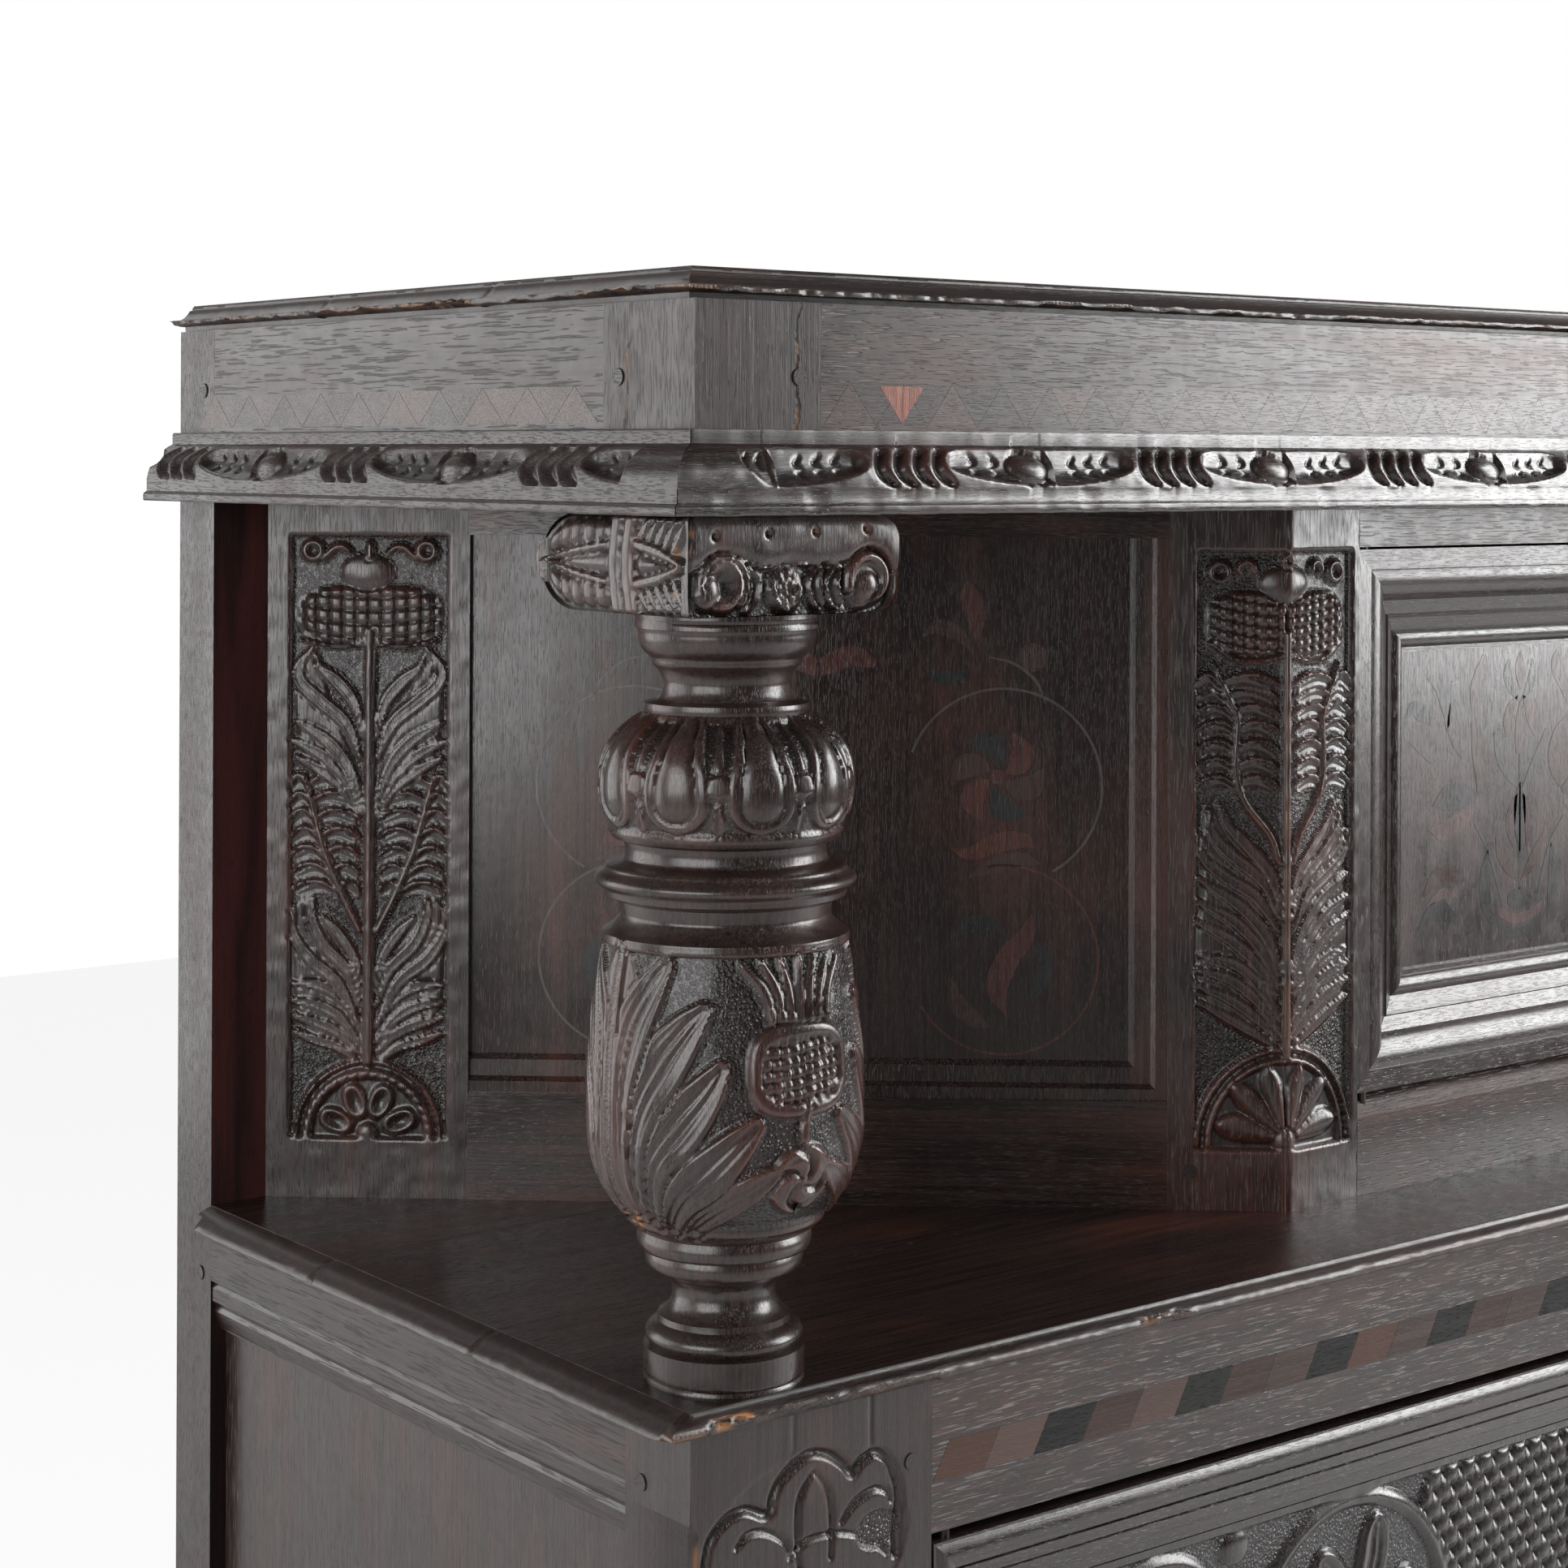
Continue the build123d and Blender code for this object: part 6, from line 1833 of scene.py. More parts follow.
@dataclass
class LowerDoorPanel(ThistleCarving):
    """The carved panel of each lower door: a roundel, overlapping scales and leaves, mirrored about its middle."""

    left: float = -594.0
    right: float = -83.4
    low: float = 212.6
    high: float = 763.4
    face: float = FRONT + 6.2
    back: float = FRONT + 22.0

    def carve(self, across: Array, up: Array) -> Relief:
        """Carve the panel, whose lower half mirrors its upper half.

        Args:
            across: The places across.
            up: The heights.

        Returns:
            The relief.
        """
        carve = Relief(across, up)
        middle = 0.5 * (self.low + self.high)
        carve.y = middle + np.abs(carve.y - middle)
        edge = np.minimum.reduce([carve.x - self.left, self.right - carve.x, self.high - carve.y])
        carve.sink(smooth((edge - 5) / 1.5), self.depth, 1.0)
        self.scales(carve, (carve.x > -246 + 0.14 * np.abs(carve.y - 640)) & (edge > 6.5))
        for x, y, wide, high in ((-297, 670.8, 90, 88), (-462, 690, 62, 64)):
            far = np.hypot((carve.x - x) / wide, (carve.y - y) / high)
            carve.sink(smooth((1.0 - far) * 12), self.depth, 1.0)
            rim = np.clip(1 - np.abs(far - 0.955) * wide / 6.2, 0, 1)
            carve.fill(rim > 0, np.maximum(carve.h, -self.depth + (self.depth - 0.1) * np.sqrt(rim)))
            self.rosette(carve, x, y, 0.80 * wide, 0.80 * high)
        carve.oval(-398, 748, 13, 11, 0.0, -4.0, ROUND)
        carve.oval(-541, 738, 11, 10, 0.0, -4.0, ROUND)
        for path in (((-389, 600, 3), (-384, 575, 7), (-400, 545, 8), (-392, 515, 3)),
                     ((-380, 600, 3), (-368, 570, 7), (-352, 548, 8), (-330, 545, 3)),
                     ((-470, 612, 3), (-476, 580, 8), (-498, 550, 9), (-530, 540, 3)),
                     ((-540, 640, 3), (-552, 610, 7), (-566, 580, 8), (-560, 545, 3)),
                     ((-290, 560, 3), (-284, 535, 8), (-262, 510, 8), (-245, 500, 3))):
            carve.stroke(path, 0.0, -3.8, HOLLOW, 0.35, 0.7)
            carve.stroke([(x, y, 0.3 * width) for x, y, width in path], -0.7, -2.6, TENT, over=False)
        carve.fill(edge < 5, 0.0)
        carve.h = np.minimum(carve.h + 0.25 * waver(carve.h.shape, 8, 41) - 0.2, 0.0)
        carve.soften()
        return carve

    def scales(self, carve: Relief, inside: Array) -> None:
        """Cut staggered rows of overlapping rounded scales.

        Args:
            carve: The panel's relief.
            inside: True where the scales are.
        """
        wide, high = 16.4, 9.8
        uneven = 0.9 * waver(carve.h.shape, 9, 43)
        height = np.full(carve.h.shape, -4.4)
        for below in (-1, 0, 1):
            row = np.round(carve.y / high) - below
            across = carve.x / wide - np.mod(row, 2) * 0.5
            dx = (across - np.round(across)) * wide + uneven
            dy = carve.y - row * high
            dome = 1 - (dx / 7.6) ** 2 - np.abs((dy + 0.6) / 8.2) ** 3
            height = np.maximum(height, -4.4 + 4.2 * np.clip(dome, 0, 1) ** 0.55 * (0.88 - 0.04 * dy))
        carve.fill(inside, height)

    def rosette(self, carve: Relief, x: float, y: float, wide: float, high: float) -> None:
        """Carve eight veined leaves round a boss.

        Args:
            carve: The panel's relief.
            x: The boss's place across.
            y: Its height.
            wide: How far the leaves reach across.
            high: How far they reach up.
        """
        for index in range(8):
            angle = math.pi * (index + 0.5) / 4
            long = 1.0 if index % 2 else 0.82
            path = [(x + share * wide * math.cos(angle + bend), y + share * high * math.sin(angle + bend), half * wide)
                    for share, bend, half in ((0.16, 0, .05), (0.40 * long, -.05, .16), (0.70 * long, 0.0, .20),
                                              (0.90 * long, .05, .17), (1.0 * long, .08, .07))]
            carve.stroke(path, 0.0, -3.8, HOLLOW, 0.3, 0.75)
            for lean in (-0.45, 0.0, 0.45):
                vein = [(px - lean * half * math.sin(angle), py + lean * half * math.cos(angle), 0.14 * half)
                        for px, py, half in path]
                carve.stroke(vein, -0.6, -2.2, TENT, over=False)
        carve.oval(x, y, 0.15 * wide, 0.15 * high, 0.0, -3.6, ROUND)

    def build(self) -> None:
        """Make both panels."""
        across = np.concatenate([steps(self.left, -400, 2.4), steps(-400, self.right, 1.2)[1:]])
        up = np.concatenate([steps(self.low, 655, 2.7), steps(655, self.high, 1.2)[1:]])
        carve = self.carve(across, up)
        x, z = np.meshgrid(across, up)
        solid = Solid()
        solid.plate(np.stack([x, self.face - carve.h, z], -1), border(np.stack([x, 0 * x + self.back, z], -1)),
                    carve.data(5.0))
        Piece("lower_door_left_panel", solid.mesh("lower_door_left_panel", 60), "lower_door_left",
              nodes=("lower_door_left_panel",)).twin(self.shop.finish(PANEL_CARVED))


# ---- the inlay ----
@dataclass(frozen=True)
class InlayFinish(OakFinish):
    """A thin inlaid wood whose pieces differ a little by their tone attribute.

    Attributes:
        light: The colour of the palest pieces.
    """

    light: Colour = (0.09, 0.03, 0.018)

    def surface(self, graph: Graph, colour: Sock, shine: Sock, bump: Sock) -> None:
        """Shift the colour of each piece by its tone before joining it to the shader.

        Args:
            graph: The material's graph.
            colour: The base colour.
            shine: The roughness.
            bump: The bumped normal.
        """
        tone = graph.attribute("tone", output=2)
        super().surface(graph, graph.mix(tone.ramp(0.35, 0.95, 0.0, 0.85), colour, self.light), shine, bump)


@dataclass(frozen=True)
class IronFinish(OakFinish):
    """Forged iron, browned and dull."""

    def surface(self, graph: Graph, colour: Sock, shine: Sock, bump: Sock) -> None:
        """Join colour, roughness and bump to a metal shader and the output.

        Args:
            graph: The material's graph.
            colour: The base colour.
            shine: The roughness.
            bump: The bumped normal.
        """
        shader = graph.node("ShaderNodeBsdfPrincipled", inputs={
            "Base Color": colour, "Roughness": shine, "Normal": bump, "Metallic": 0.9})
        graph.node("ShaderNodeOutputMaterial", inputs={"Surface": shader})


class Inlay:
    """Flat shapes of veneer on one plane: each is a thin closed plate."""

    def __init__(self, place: Callable[[Array, Array, Array], Array]) -> None:
        """Keep the map from (across, up, out) to the object's places."""
        self.place = place
        self.solids: dict[str, Solid] = {}

    def shape(self, finish: str, outline: Rows, thick: float = 0.16) -> None:
        """Add a plate that stands a hair proud.

        Args:
            finish: The key of its finish.
            outline: The closed outline's points (across, up).
            thick: How far it stands out.
        """
        solid = self.solids.setdefault(finish, Solid())
        rows = np.array(outline, float)
        front = solid.vertices(self.place(rows[:, 0], rows[:, 1], np.full(len(rows), thick)))
        back = solid.vertices(self.place(rows[:, 0], rows[:, 1], np.full(len(rows), -1.0)))
        solid.quads(np.stack([front, back], 0), around=True)
        solid.cap(front)
        solid.cap(back)

    def leaf(self, finish: str, spine: Rows) -> None:
        """Add a leaf.

        Args:
            finish: The key of its finish.
            spine: Rows of (across, up, half width) along its middle.
        """
        rows = curve(spine, 5)
        slope = np.gradient(rows[:, :2], axis=0)
        normal = np.stack([-slope[:, 1], slope[:, 0]], -1) / np.maximum(np.hypot(*slope.T), 1e-6)[:, None]
        half = np.maximum(rows[:, 2:], 0.12)
        self.shape(finish, np.vstack([rows[:, :2] + normal * half, (rows[:, :2] - normal * half)[::-1]]))

    def disc(self, finish: str, x: float, y: float, wide: float, high: float | None = None) -> None:
        """Add a disc or an oval."""
        angles = np.linspace(0, 2 * math.pi, 28, endpoint=False)
        self.shape(finish, np.stack([x + wide * np.cos(angles), y + (high or wide) * np.sin(angles)], -1))

    def line(self, finish: str, x: float, y: float, radius: float, start: float, end: float) -> None:
        """Add a thin arc of stringing, from start to end in degrees."""
        angles = np.radians(np.linspace(start, end, max(6, int(abs(end - start) / 9))))
        self.leaf(finish, arc(x, y, radius, radius, 0.8, angles))


@dataclass
class CantedInlay:
    """The faint flower inlay of the canted panels: swirled rosettes on ringed stems."""

    shop: Shop
    centre: float = 297.0
    face: float = -8.0

    def place(self, along: Array, up: Array, out: Array) -> Array:
        """Places on the left canted panel."""
        return to_canted(along, self.face + out, up)

    def build(self) -> None:
        """Make the inlay of both panels."""
        inlay = Inlay(self.place)
        for sense in (-1, 1):
            middle = self.centre + sense * 118.0
            self.rosette(inlay, middle - sense * 4, 271.0, 30.0, sense)
            stems = ((("string", 265.0, 62.0, -60, 160), ("string", 155.0, 60.0, -170, 100)) if sense > 0 else
                     (("string", 265.0, 62.0, 20, 240), ("red", 155.0, 60.0, 80, 330)))
            for finish, up, radius, start, end in stems:
                inlay.line(finish, middle, up, radius, start, end)
            for spine, finish in (
                    (((20, 226, 0.3), (12, 231, 5), (-4, 229, 6), (-22, 222, 4), (-34, 226, 0.3)), "red"),
                    (((24, 216, 0.3), (10, 219, 4.5), (-8, 214, 4.5), (-22, 207, 0.3)), "tan"),
                    (((2, 120, 0.3), (-4, 136, 6.5), (2, 154, 7.5), (14, 170, 5.5), (18, 184, 0.3)), "red"),
                    (((0, 172, 0.3), (-12, 178, 5), (-24, 176, 4.5), (-33, 168, 0.3)), "dark"),
                    (((16, 128, 0.3), (24, 140, 4.5), (26, 156, 4.5), (20, 168, 0.3)), "dark"),
                    (((-8, 112, 0.3), (-20, 118, 5.5), (-30, 130, 5), (-32, 144, 0.3)), "tan"),
                    (((26, 318, 0.3), (20, 332, 0.9), (6, 343, 0.9), (-10, 347, 0.3)), "string"),
                    (((-22, 352, 0.3), (-30, 362, 4.5), (-42, 366, 4.5), (-52, 360, 0.3)), "tan"),
                    (((-20, 340, 0.3), (-30, 334, 4.5), (-42, 334, 4), (-50, 340, 0.3)), "dark"),
                    (((-18, 356, 0.3), (-18, 372, 6), (-22, 386, 6), (-24, 396, 0.3)), "red")):
                inlay.leaf(finish, [(middle + sense * x, y, w) for x, y, w in spine])
            inlay.disc("tan", middle + sense * 18, 347.0, 9.0)
        for sense in (-1, 1):
            inlay.leaf("red", [(self.centre + sense * x, y, w) for x, y, w in
                               ((0.3, 338, 4.5), (9, 343, 6.5), (22, 347, 6.5), (36, 342, 3.0))])
            inlay.leaf("dark", [(self.centre + sense * x, y, w) for x, y, w in
                                ((2, 60, 0.3), (7, 90, 6), (5, 118, 5), (1, 136, 0.3))])
        finishes = {"red": INLAY_RED, "dark": INLAY_DARK, "tan": INLAY_TAN, "string": INLAY_STRING}
        for name, solid in inlay.solids.items():
            Piece(f"canted_inlay_{name}_left", solid.mesh(f"canted_inlay_{name}"), slot="inlaid_oak").twin(
                self.shop.finish(finishes[name]))

    def rosette(self, inlay: Inlay, x: float, y: float, radius: float, sense: int) -> None:
        """Inlay a swirl of petals, red, dark and tan by turns, round a small disc.

        Args:
            inlay: The panel's inlay.
            x: The disc's place along the panel.
            y: Its height.
            radius: How far the petals reach.
            sense: Which way they turn, -1 or 1.
        """
        for index in range(6):
            angle = sense * (index * math.pi / 3 + 0.4)
            spine = [(x + r * radius * math.cos(angle + sense * s), y + r * radius * math.sin(angle + sense * s), w)
                     for r, s, w in ((0.18, 0, 0.3), (0.45, 0.12, 0.20 * radius), (0.74, 0.38, 0.25 * radius),
                                     (1.0, 0.85, 0.4))]
            inlay.leaf(("red", "dark", "tan")[index % 3], spine)
        inlay.disc("red", x, y, 0.16 * radius)


@dataclass
class DoorInlay:
    """The upper door's inlay: a vase of leaves with a red flower over it, mirrored about its middle."""

    shop: Shop
    face: float = -144.0

    def place(self, across: Array, up: Array, out: Array) -> Array:
        """Places on the upper door's panel."""
        return np.stack([across, self.face - out + 0 * across, up], -1)

    def build(self) -> None:
        """Make the inlay."""
        inlay = Inlay(self.place)
        for sense in (-1, 1):
            for finish, spine in (
                    ("red", ((3, 1216, 0.3), (9, 1208, 4.5), (13, 1198, 5), (15, 1188, 0.3))),
                    ("dark", ((1, 1212, 0.3), (10, 1222, 4), (14, 1232, 4), (13, 1241, 0.3))),
                    ("light", ((2, 1152, 0.3), (12, 1162, 3.6), (22, 1176, 4.2), (28, 1192, 0.3))),
                    ("tan", ((1, 1088, 0.3), (10, 1096, 4), (20, 1108, 4.6), (26, 1120, 0.3))),
                    ("dark", ((30, 1060, 0.3), (36, 1076, 5.5), (37, 1096, 5.0), (34, 1112, 0.3))),
                    ("tan", ((44, 1150, 1.5), (40, 1168, 9), (44, 1186, 8), (52, 1200, 0.4))),
                    ("dark", ((46, 1148, 1.5), (58, 1150, 8), (76, 1150, 9), (92, 1146, 0.4))),
                    ("red", ((48, 1140, 1.2), (62, 1134, 6), (80, 1128, 7), (96, 1130, 0.4))),
                    ("light", ((18, 1072, 0.5), (26, 1094, 1.4), (34, 1112, 1.6), (48, 1130, 0.5))),
                    ("tan", ((52, 1208, 0.4), (48, 1222, 5.5), (40, 1236, 6.5), (40, 1246, 0.4))),
                    ("light", ((78, 1196, 0.4), (76, 1212, 7.5), (84, 1226, 6.5), (100, 1234, 0.4))),
                    ("dark", ((94, 1200, 0.4), (102, 1208, 6), (112, 1212, 5), (120, 1206, 0.4))),
                    ("tan", ((62, 1176, 0.5), (70, 1186, 1.5), (76, 1198, 1.4), (74, 1214, 0.5))),
                    ("light", ((82, 1172, 0.4), (94, 1178, 3), (106, 1186, 3), (116, 1190, 0.4))),
                    ("tan", ((60, 1092, 0.4), (72, 1098, 6), (88, 1096, 7), (102, 1086, 0.4))),
                    ("dark", ((64, 1062, 0.4), (76, 1072, 6), (92, 1074, 6), (106, 1064, 0.4))),
                    ("red", ((64, 1082, 0.4), (76, 1086, 3), (88, 1084, 3), (98, 1078, 0.4))),
                    ("tan", ((7, 1112, 0.4), (10, 1124, 4.4), (8, 1138, 4.4), (3, 1148, 0.4)))):
                inlay.leaf(finish, [(sense * x, y, w) for x, y, w in spine])
        inlay.leaf("red", ((0, 1176, 4.0), (0, 1186, 5.4), (0, 1200, 4.5), (0, 1212, 0.3)))
        inlay.leaf("red", ((0, 1220, 0.3), (1, 1228, 5), (0, 1238, 5), (0, 1246, 0.3)))
        inlay.leaf("dark", ((0, 1082, 0.9), (0, 1120, 0.9), (0, 1160, 0.9), (0, 1176, 0.9)))
        inlay.leaf("dark", ((0, 1108, 0.4), (0, 1124, 5.5), (0, 1144, 6), (0, 1156, 0.5)))
        inlay.shape("red", ((-24, 1066), (-12, 1060), (0, 1058), (12, 1060), (24, 1066), (25, 1073), (12, 1067),
                            (0, 1065), (-12, 1067), (-25, 1073)))
        inlay.shape("dark", ((-26, 1048), (26, 1048), (22, 1054), (24, 1064), (12, 1058), (0, 1056), (-12, 1058),
                             (-24, 1064), (-22, 1054)))
        inlay.disc("dark", 0, 1076, 13.0, 7.5)
        finishes = {"red": INLAY_ROSE, "dark": INLAY_SHADE, "tan": INLAY_TAN, "light": INLAY_GREY}
        for name, solid in inlay.solids.items():
            Piece(f"upper_door_inlay_{name}", solid.mesh(f"upper_door_inlay_{name}"), "upper_door", "inlaid_oak").enter(
                self.shop.finish(finishes[name]))


@dataclass
class Bands:
    """The inlaid bands: triangles along the frieze and slanted blocks along the middle rail."""

    shop: Shop
    frieze_up: float = 1405.8
    side_up: float = 1405.0
    rail_up: float = 848.0
    pitch: float = 17.5
    side_pitch: float = 22.5
    block_pitch: float = 36.0

    def unit(self, outline: Rows, name: str) -> bpy.types.Mesh:
        """Make a thin plate in the plane of x and z, about its own middle.

        Args:
            outline: Its outline's points (x, z).
            name: Its name.

        Returns:
            Its mesh.
        """
        inlay = Inlay(lambda across, up, out: np.stack([across, -out, up], -1))
        inlay.shape("plate", outline, 0.12)
        return inlay.solids["plate"].mesh(name)

    def build(self) -> None:
        """Make the bands from repeated units."""
        repeats = self.shop.repeats
        triangle = self.unit(((-17.0, -10.9), (17.0, -10.9), (0.0, 11.3)), "triangle")
        oak = self.shop.finish(INLAY_BAND)
        rows = repeats.run("frieze_inlay_front", triangle, oak, 80, (-696.0, FRONT, self.frieze_up),
                           (self.pitch, 0, 0), flip=(0, math.pi, 0), seed=7)
        Piece("frieze_inlay_front", rows, slot="inlaid_rail_oak").enter()
        side = self.unit(((-21.9, -9.8), (21.9, -9.8), (0.0, 10.0)), "side_triangle")
        side.transform(Matrix.Rotation(-math.pi / 2, 4, "Z"))
        rows = repeats.run("frieze_inlay_side_left", side, oak, 19, (-SIDE, -158.0, self.side_up),
                           (0, self.side_pitch, 0), flip=(math.pi, 0, 0), seed=3)
        Piece("frieze_inlay_side_left", rows, slot="inlaid_rail_oak").twin()
        accent = self.unit(((-15.2, -9.6), (15.2, -9.6), (0.0, 10.1)), "accent")
        accent.transform(Matrix.Rotation(math.pi, 4, "Y"))
        accent.transform(Matrix.Translation((-0.661, FRONT * MM - 0.0001, self.frieze_up * MM)))
        Piece("frieze_inlay_accent_left", accent, slot="inlaid_rail_oak").twin(self.shop.finish(INLAY_ORANGE))
        block = self.unit(((-23.5, -10.2), (11.9, -10.2), (23.5, 10.2), (-11.9, 10.2)), "block")
        woods = (("brown", INLAY_BLOCK), ("mauve", INLAY_MAUVE), ("green", INLAY_GREEN))
        for index, (name, finish) in enumerate(woods):
            rows = repeats.run(f"rail_inlay_{name}", block.copy(), self.shop.finish(finish), 12 - index // 2,
                               (-613.0 + self.block_pitch * index, FRONT, self.rail_up),
                               (3 * self.block_pitch, 0, 0), seed=20 + index)
            Piece(f"rail_inlay_{name}", rows, slot="inlaid_rail_oak").enter()


# ---- the worn boards ----
@dataclass
class WornBoards:
    """Three planks whose moulded sides and front are worn, chipped and split.

    Attributes:
        shop: What the sub-assemblies share.
        node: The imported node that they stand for.
        top: The height of their face.
        thick: Their thickness.
        lips: How far the moulding reaches out of the arris, at the sides and at the front.
        side: The arris of the moulding at the sides.
        front: The arris of the moulding at the front.
        rear: Where the side mouldings end.
        back: Where the planks end.
        section: Rows of (share of the lip, depth below the face) from the arris round to the underside.
        front_section: The same number of rows for the front, or none where it is like the sides.
        wear: Rows of (place from the left rear end, bite, lift, bareness): how far the lip is broken off, how far it
            is split away below, and how much bare wood shows there.
        amount: How ragged the rest of the lip is.
        seed: The seed of the wear.
        post: The width of the notches for the rear posts.
    """

    shop: Shop
    node: str
    top: float
    thick: float
    lips: tuple[float, float]
    side: float
    front: float
    rear: float
    back: float
    section: tuple[tuple[float, float], ...]
    front_section: tuple[tuple[float, float], ...]
    wear: tuple[tuple[float, float, float, float], ...]
    amount: float
    seed: int
    post: float = 38.3

    def stations(self) -> tuple[Array, Array, Array]:
        """The places of the moulding's cross-sections.

        Returns:
            The arris places, the reach of a whole lip at each, and the distance run so far.
        """
        left = [(-self.side, y) for y in steps(self.rear, self.front, 2.1)]
        front = [(x, self.front) for x in steps(-self.side, self.side, 2.1)[1:-1]]
        right = [(self.side, y) for y in steps(self.front, self.rear, 2.1)]
        places = np.array(left + front + right)
        reach = np.array([(-self.lips[0], 0.0)] * (len(left) - 1) + [(-self.lips[0], -self.lips[1])]
                         + [(0.0, -self.lips[1])] * len(front)
                         + [(self.lips[0], -self.lips[1])] + [(self.lips[0], 0.0)] * (len(right) - 1))
        run = np.concatenate([[0], np.cumsum(np.hypot(*np.diff(places, axis=0).T))])
        return places, reach, run

    def build(self) -> None:
        """Make the moulding and the planks."""
        places, reach, run = self.stations()
        at_front = ((np.abs(places[:, 0]) < self.side) | (reach[:, 0] * reach[:, 1] != 0))[:, None, None]
        rows = np.where(at_front, np.array(self.front_section or self.section), np.array(self.section))
        share, depth = rows[..., 0], rows[..., 1]
        table = np.array(self.wear)
        shape = share.shape
        along = waver((len(run), 1), 9, self.seed) + 0.6 * waver((len(run), 1), 3, self.seed + 1)
        bite = np.interp(run, table[:, 0], table[:, 1])[:, None] + self.amount * np.clip(along - 0.25, 0, 1)
        lift = np.interp(run, table[:, 0], table[:, 2])[:, None] + self.amount * np.clip(0.1 - along, 0, 1)
        for joint in np.linspace(self.front, self.back, 4)[1:3]:
            notch = smooth(1 - np.abs(places[:, 1:] - joint) / 2.6)
            bite = bite + 1.6 * notch
            depth = depth + 0.9 * notch * (np.arange(shape[1]) < shape[1] - 2)
        outer = smooth((share - 0.45) / 0.4)
        ragged = 1 + 0.7 * waver(shape, 2, self.seed + 2)
        whole = np.maximum(np.abs(reach).max(1, keepdims=True), 1e-6)
        share = share - bite * ragged * outer / whole
        under = smooth((depth / self.thick - 0.55) / 0.2) * outer
        depth = depth - lift * under * (1 + 0.5 * waver(shape, 3, self.seed + 3))
        depth = depth + 0.10 * (1 + waver(shape, 5, self.seed + 4)) * (np.arange(shape[1]) < shape[1] // 2)
        x = places[:, :1] + reach[:, :1] * share
        y = places[:, 1:] + reach[:, 1:] * share
        broken = np.clip((bite * outer * 0.6 + lift * under * 0.6) - 0.35, 0, 1)
        # Broken places get a lower height and so the hollows' painted shade; the outer lip gets the ridges' warm
        # colour, partly a painted highlight.
        tone = np.stack([1 - 0.4 * broken, 0.4 * broken, 0.25 * outer * (1 - broken), np.ones(shape)], -1)
        bare = np.interp(run, table[:, 0], table[:, 3])[:, None] * broken * smooth(0.5 + waver(shape, 4, self.seed + 5))
        solid = Solid()
        solid.tube(np.stack([x, y, self.top - depth], -1), {"relief": tone, "raw": bare})
        Piece(f"{self.node}_lip", solid.mesh(f"{self.node}_lip", 40), slot="board_oak").enter(self.shop.finish(LIP_OAK))
        self.planks()

    def planks(self) -> None:
        """Make the three flat planks behind the moulding; the last is notched round the rear posts."""
        solid = Solid()
        cuts = np.linspace(self.front, self.back, 4)
        spans = [(self.side, cuts[0], cuts[1] - 0.3), (self.side, cuts[1] + 0.3, cuts[2] - 0.3),
                 (self.side, cuts[2] + 0.3, self.rear)]
        if self.rear < self.back:
            spans.append((SIDE - self.post, self.rear, self.back))
        for half, low, high in spans:
            corners = [(-half, low), (half, low), (half, high), (-half, high)]
            solid.tube(np.array([[(x, y, z) for x, y in corners] for z in (self.top - self.thick, self.top)]))
        Piece(self.node, solid.mesh(self.node), slot="board_oak", nodes=(self.node,)).enter(
            self.shop.finish(BOARD_OAK))


SHELF_SECTION = ((0.0, 0.2), (0.04, 0.5), (0.12, 0.9), (0.24, 1.6), (0.36, 2.5), (0.48, 3.6), (0.60, 4.8),
                 (0.70, 6.0), (0.79, 7.2), (0.87, 8.4), (0.93, 9.5), (0.97, 10.5), (0.99, 11.3), (0.985, 12.0),
                 (0.5, 12.0), (0.0, 12.0))
SHELF_FRONT = ((0.0, 0.3), (0.03, 1.3), (0.10, 2.1), (0.22, 2.9), (0.42, 3.6), (0.62, 4.2), (0.78, 4.9),
               (0.90, 5.8), (0.97, 7.0), (1.0, 8.4), (0.98, 9.8), (0.93, 10.8), (0.84, 11.6), (0.7, 12.0),
               (0.4, 12.0), (0.0, 12.0))
TOP_SECTION = ((0.0, 0.2), (0.03, 1.1), (0.05, 1.4), (0.062, 2.6), (0.11, 2.9), (0.16, 3.2), (0.20, 4.6), (0.27, 6.2),
               (0.37, 7.9), (0.50, 9.2), (0.62, 9.9), (0.74, 10.2), (0.90, 10.4), (0.97, 10.6), (1.0, 11.2),
               (1.0, 12.2), (1.0, 13.1), (0.98, 13.6), (0.70, 13.7), (0.50, 13.7), (0.32, 13.7), (0.30, 17.0),
               (0.0, 17.0))
SHELF_WEAR = ((0, 6.0, 0.0, 0.1), (5, 6.0, 0.5, 0.1), (9, 1.0, 0.0, 0.1), (22, 0.4, 0.0, 0.05), (40, 0.0, 0.0, 0.05),
              (506, 0.0, 0.0, 0.05), (512, 0.8, 0.8, 0.3), (520, 0.8, 1.2, 0.3), (524, 3.4, 3.4, 1.0),
              (545, 3.0, 3.0, 1.0), (549, 0.6, 3.4, 0.1), (640, 0.5, 2.6, 0.06), (668, 0.4, 1.8, 0.06),
              (672, 0.2, 0.4, 0.06), (815, 0.2, 0.6, 0.06), (822, 2.0, 2.0, 0.25), (838, 1.8, 2.4, 0.1),
              (862, 0.3, 0.6, 0.05), (1300, 0.3, 0.4, 0.05), (3000, 0.2, 0.3, 0.05))
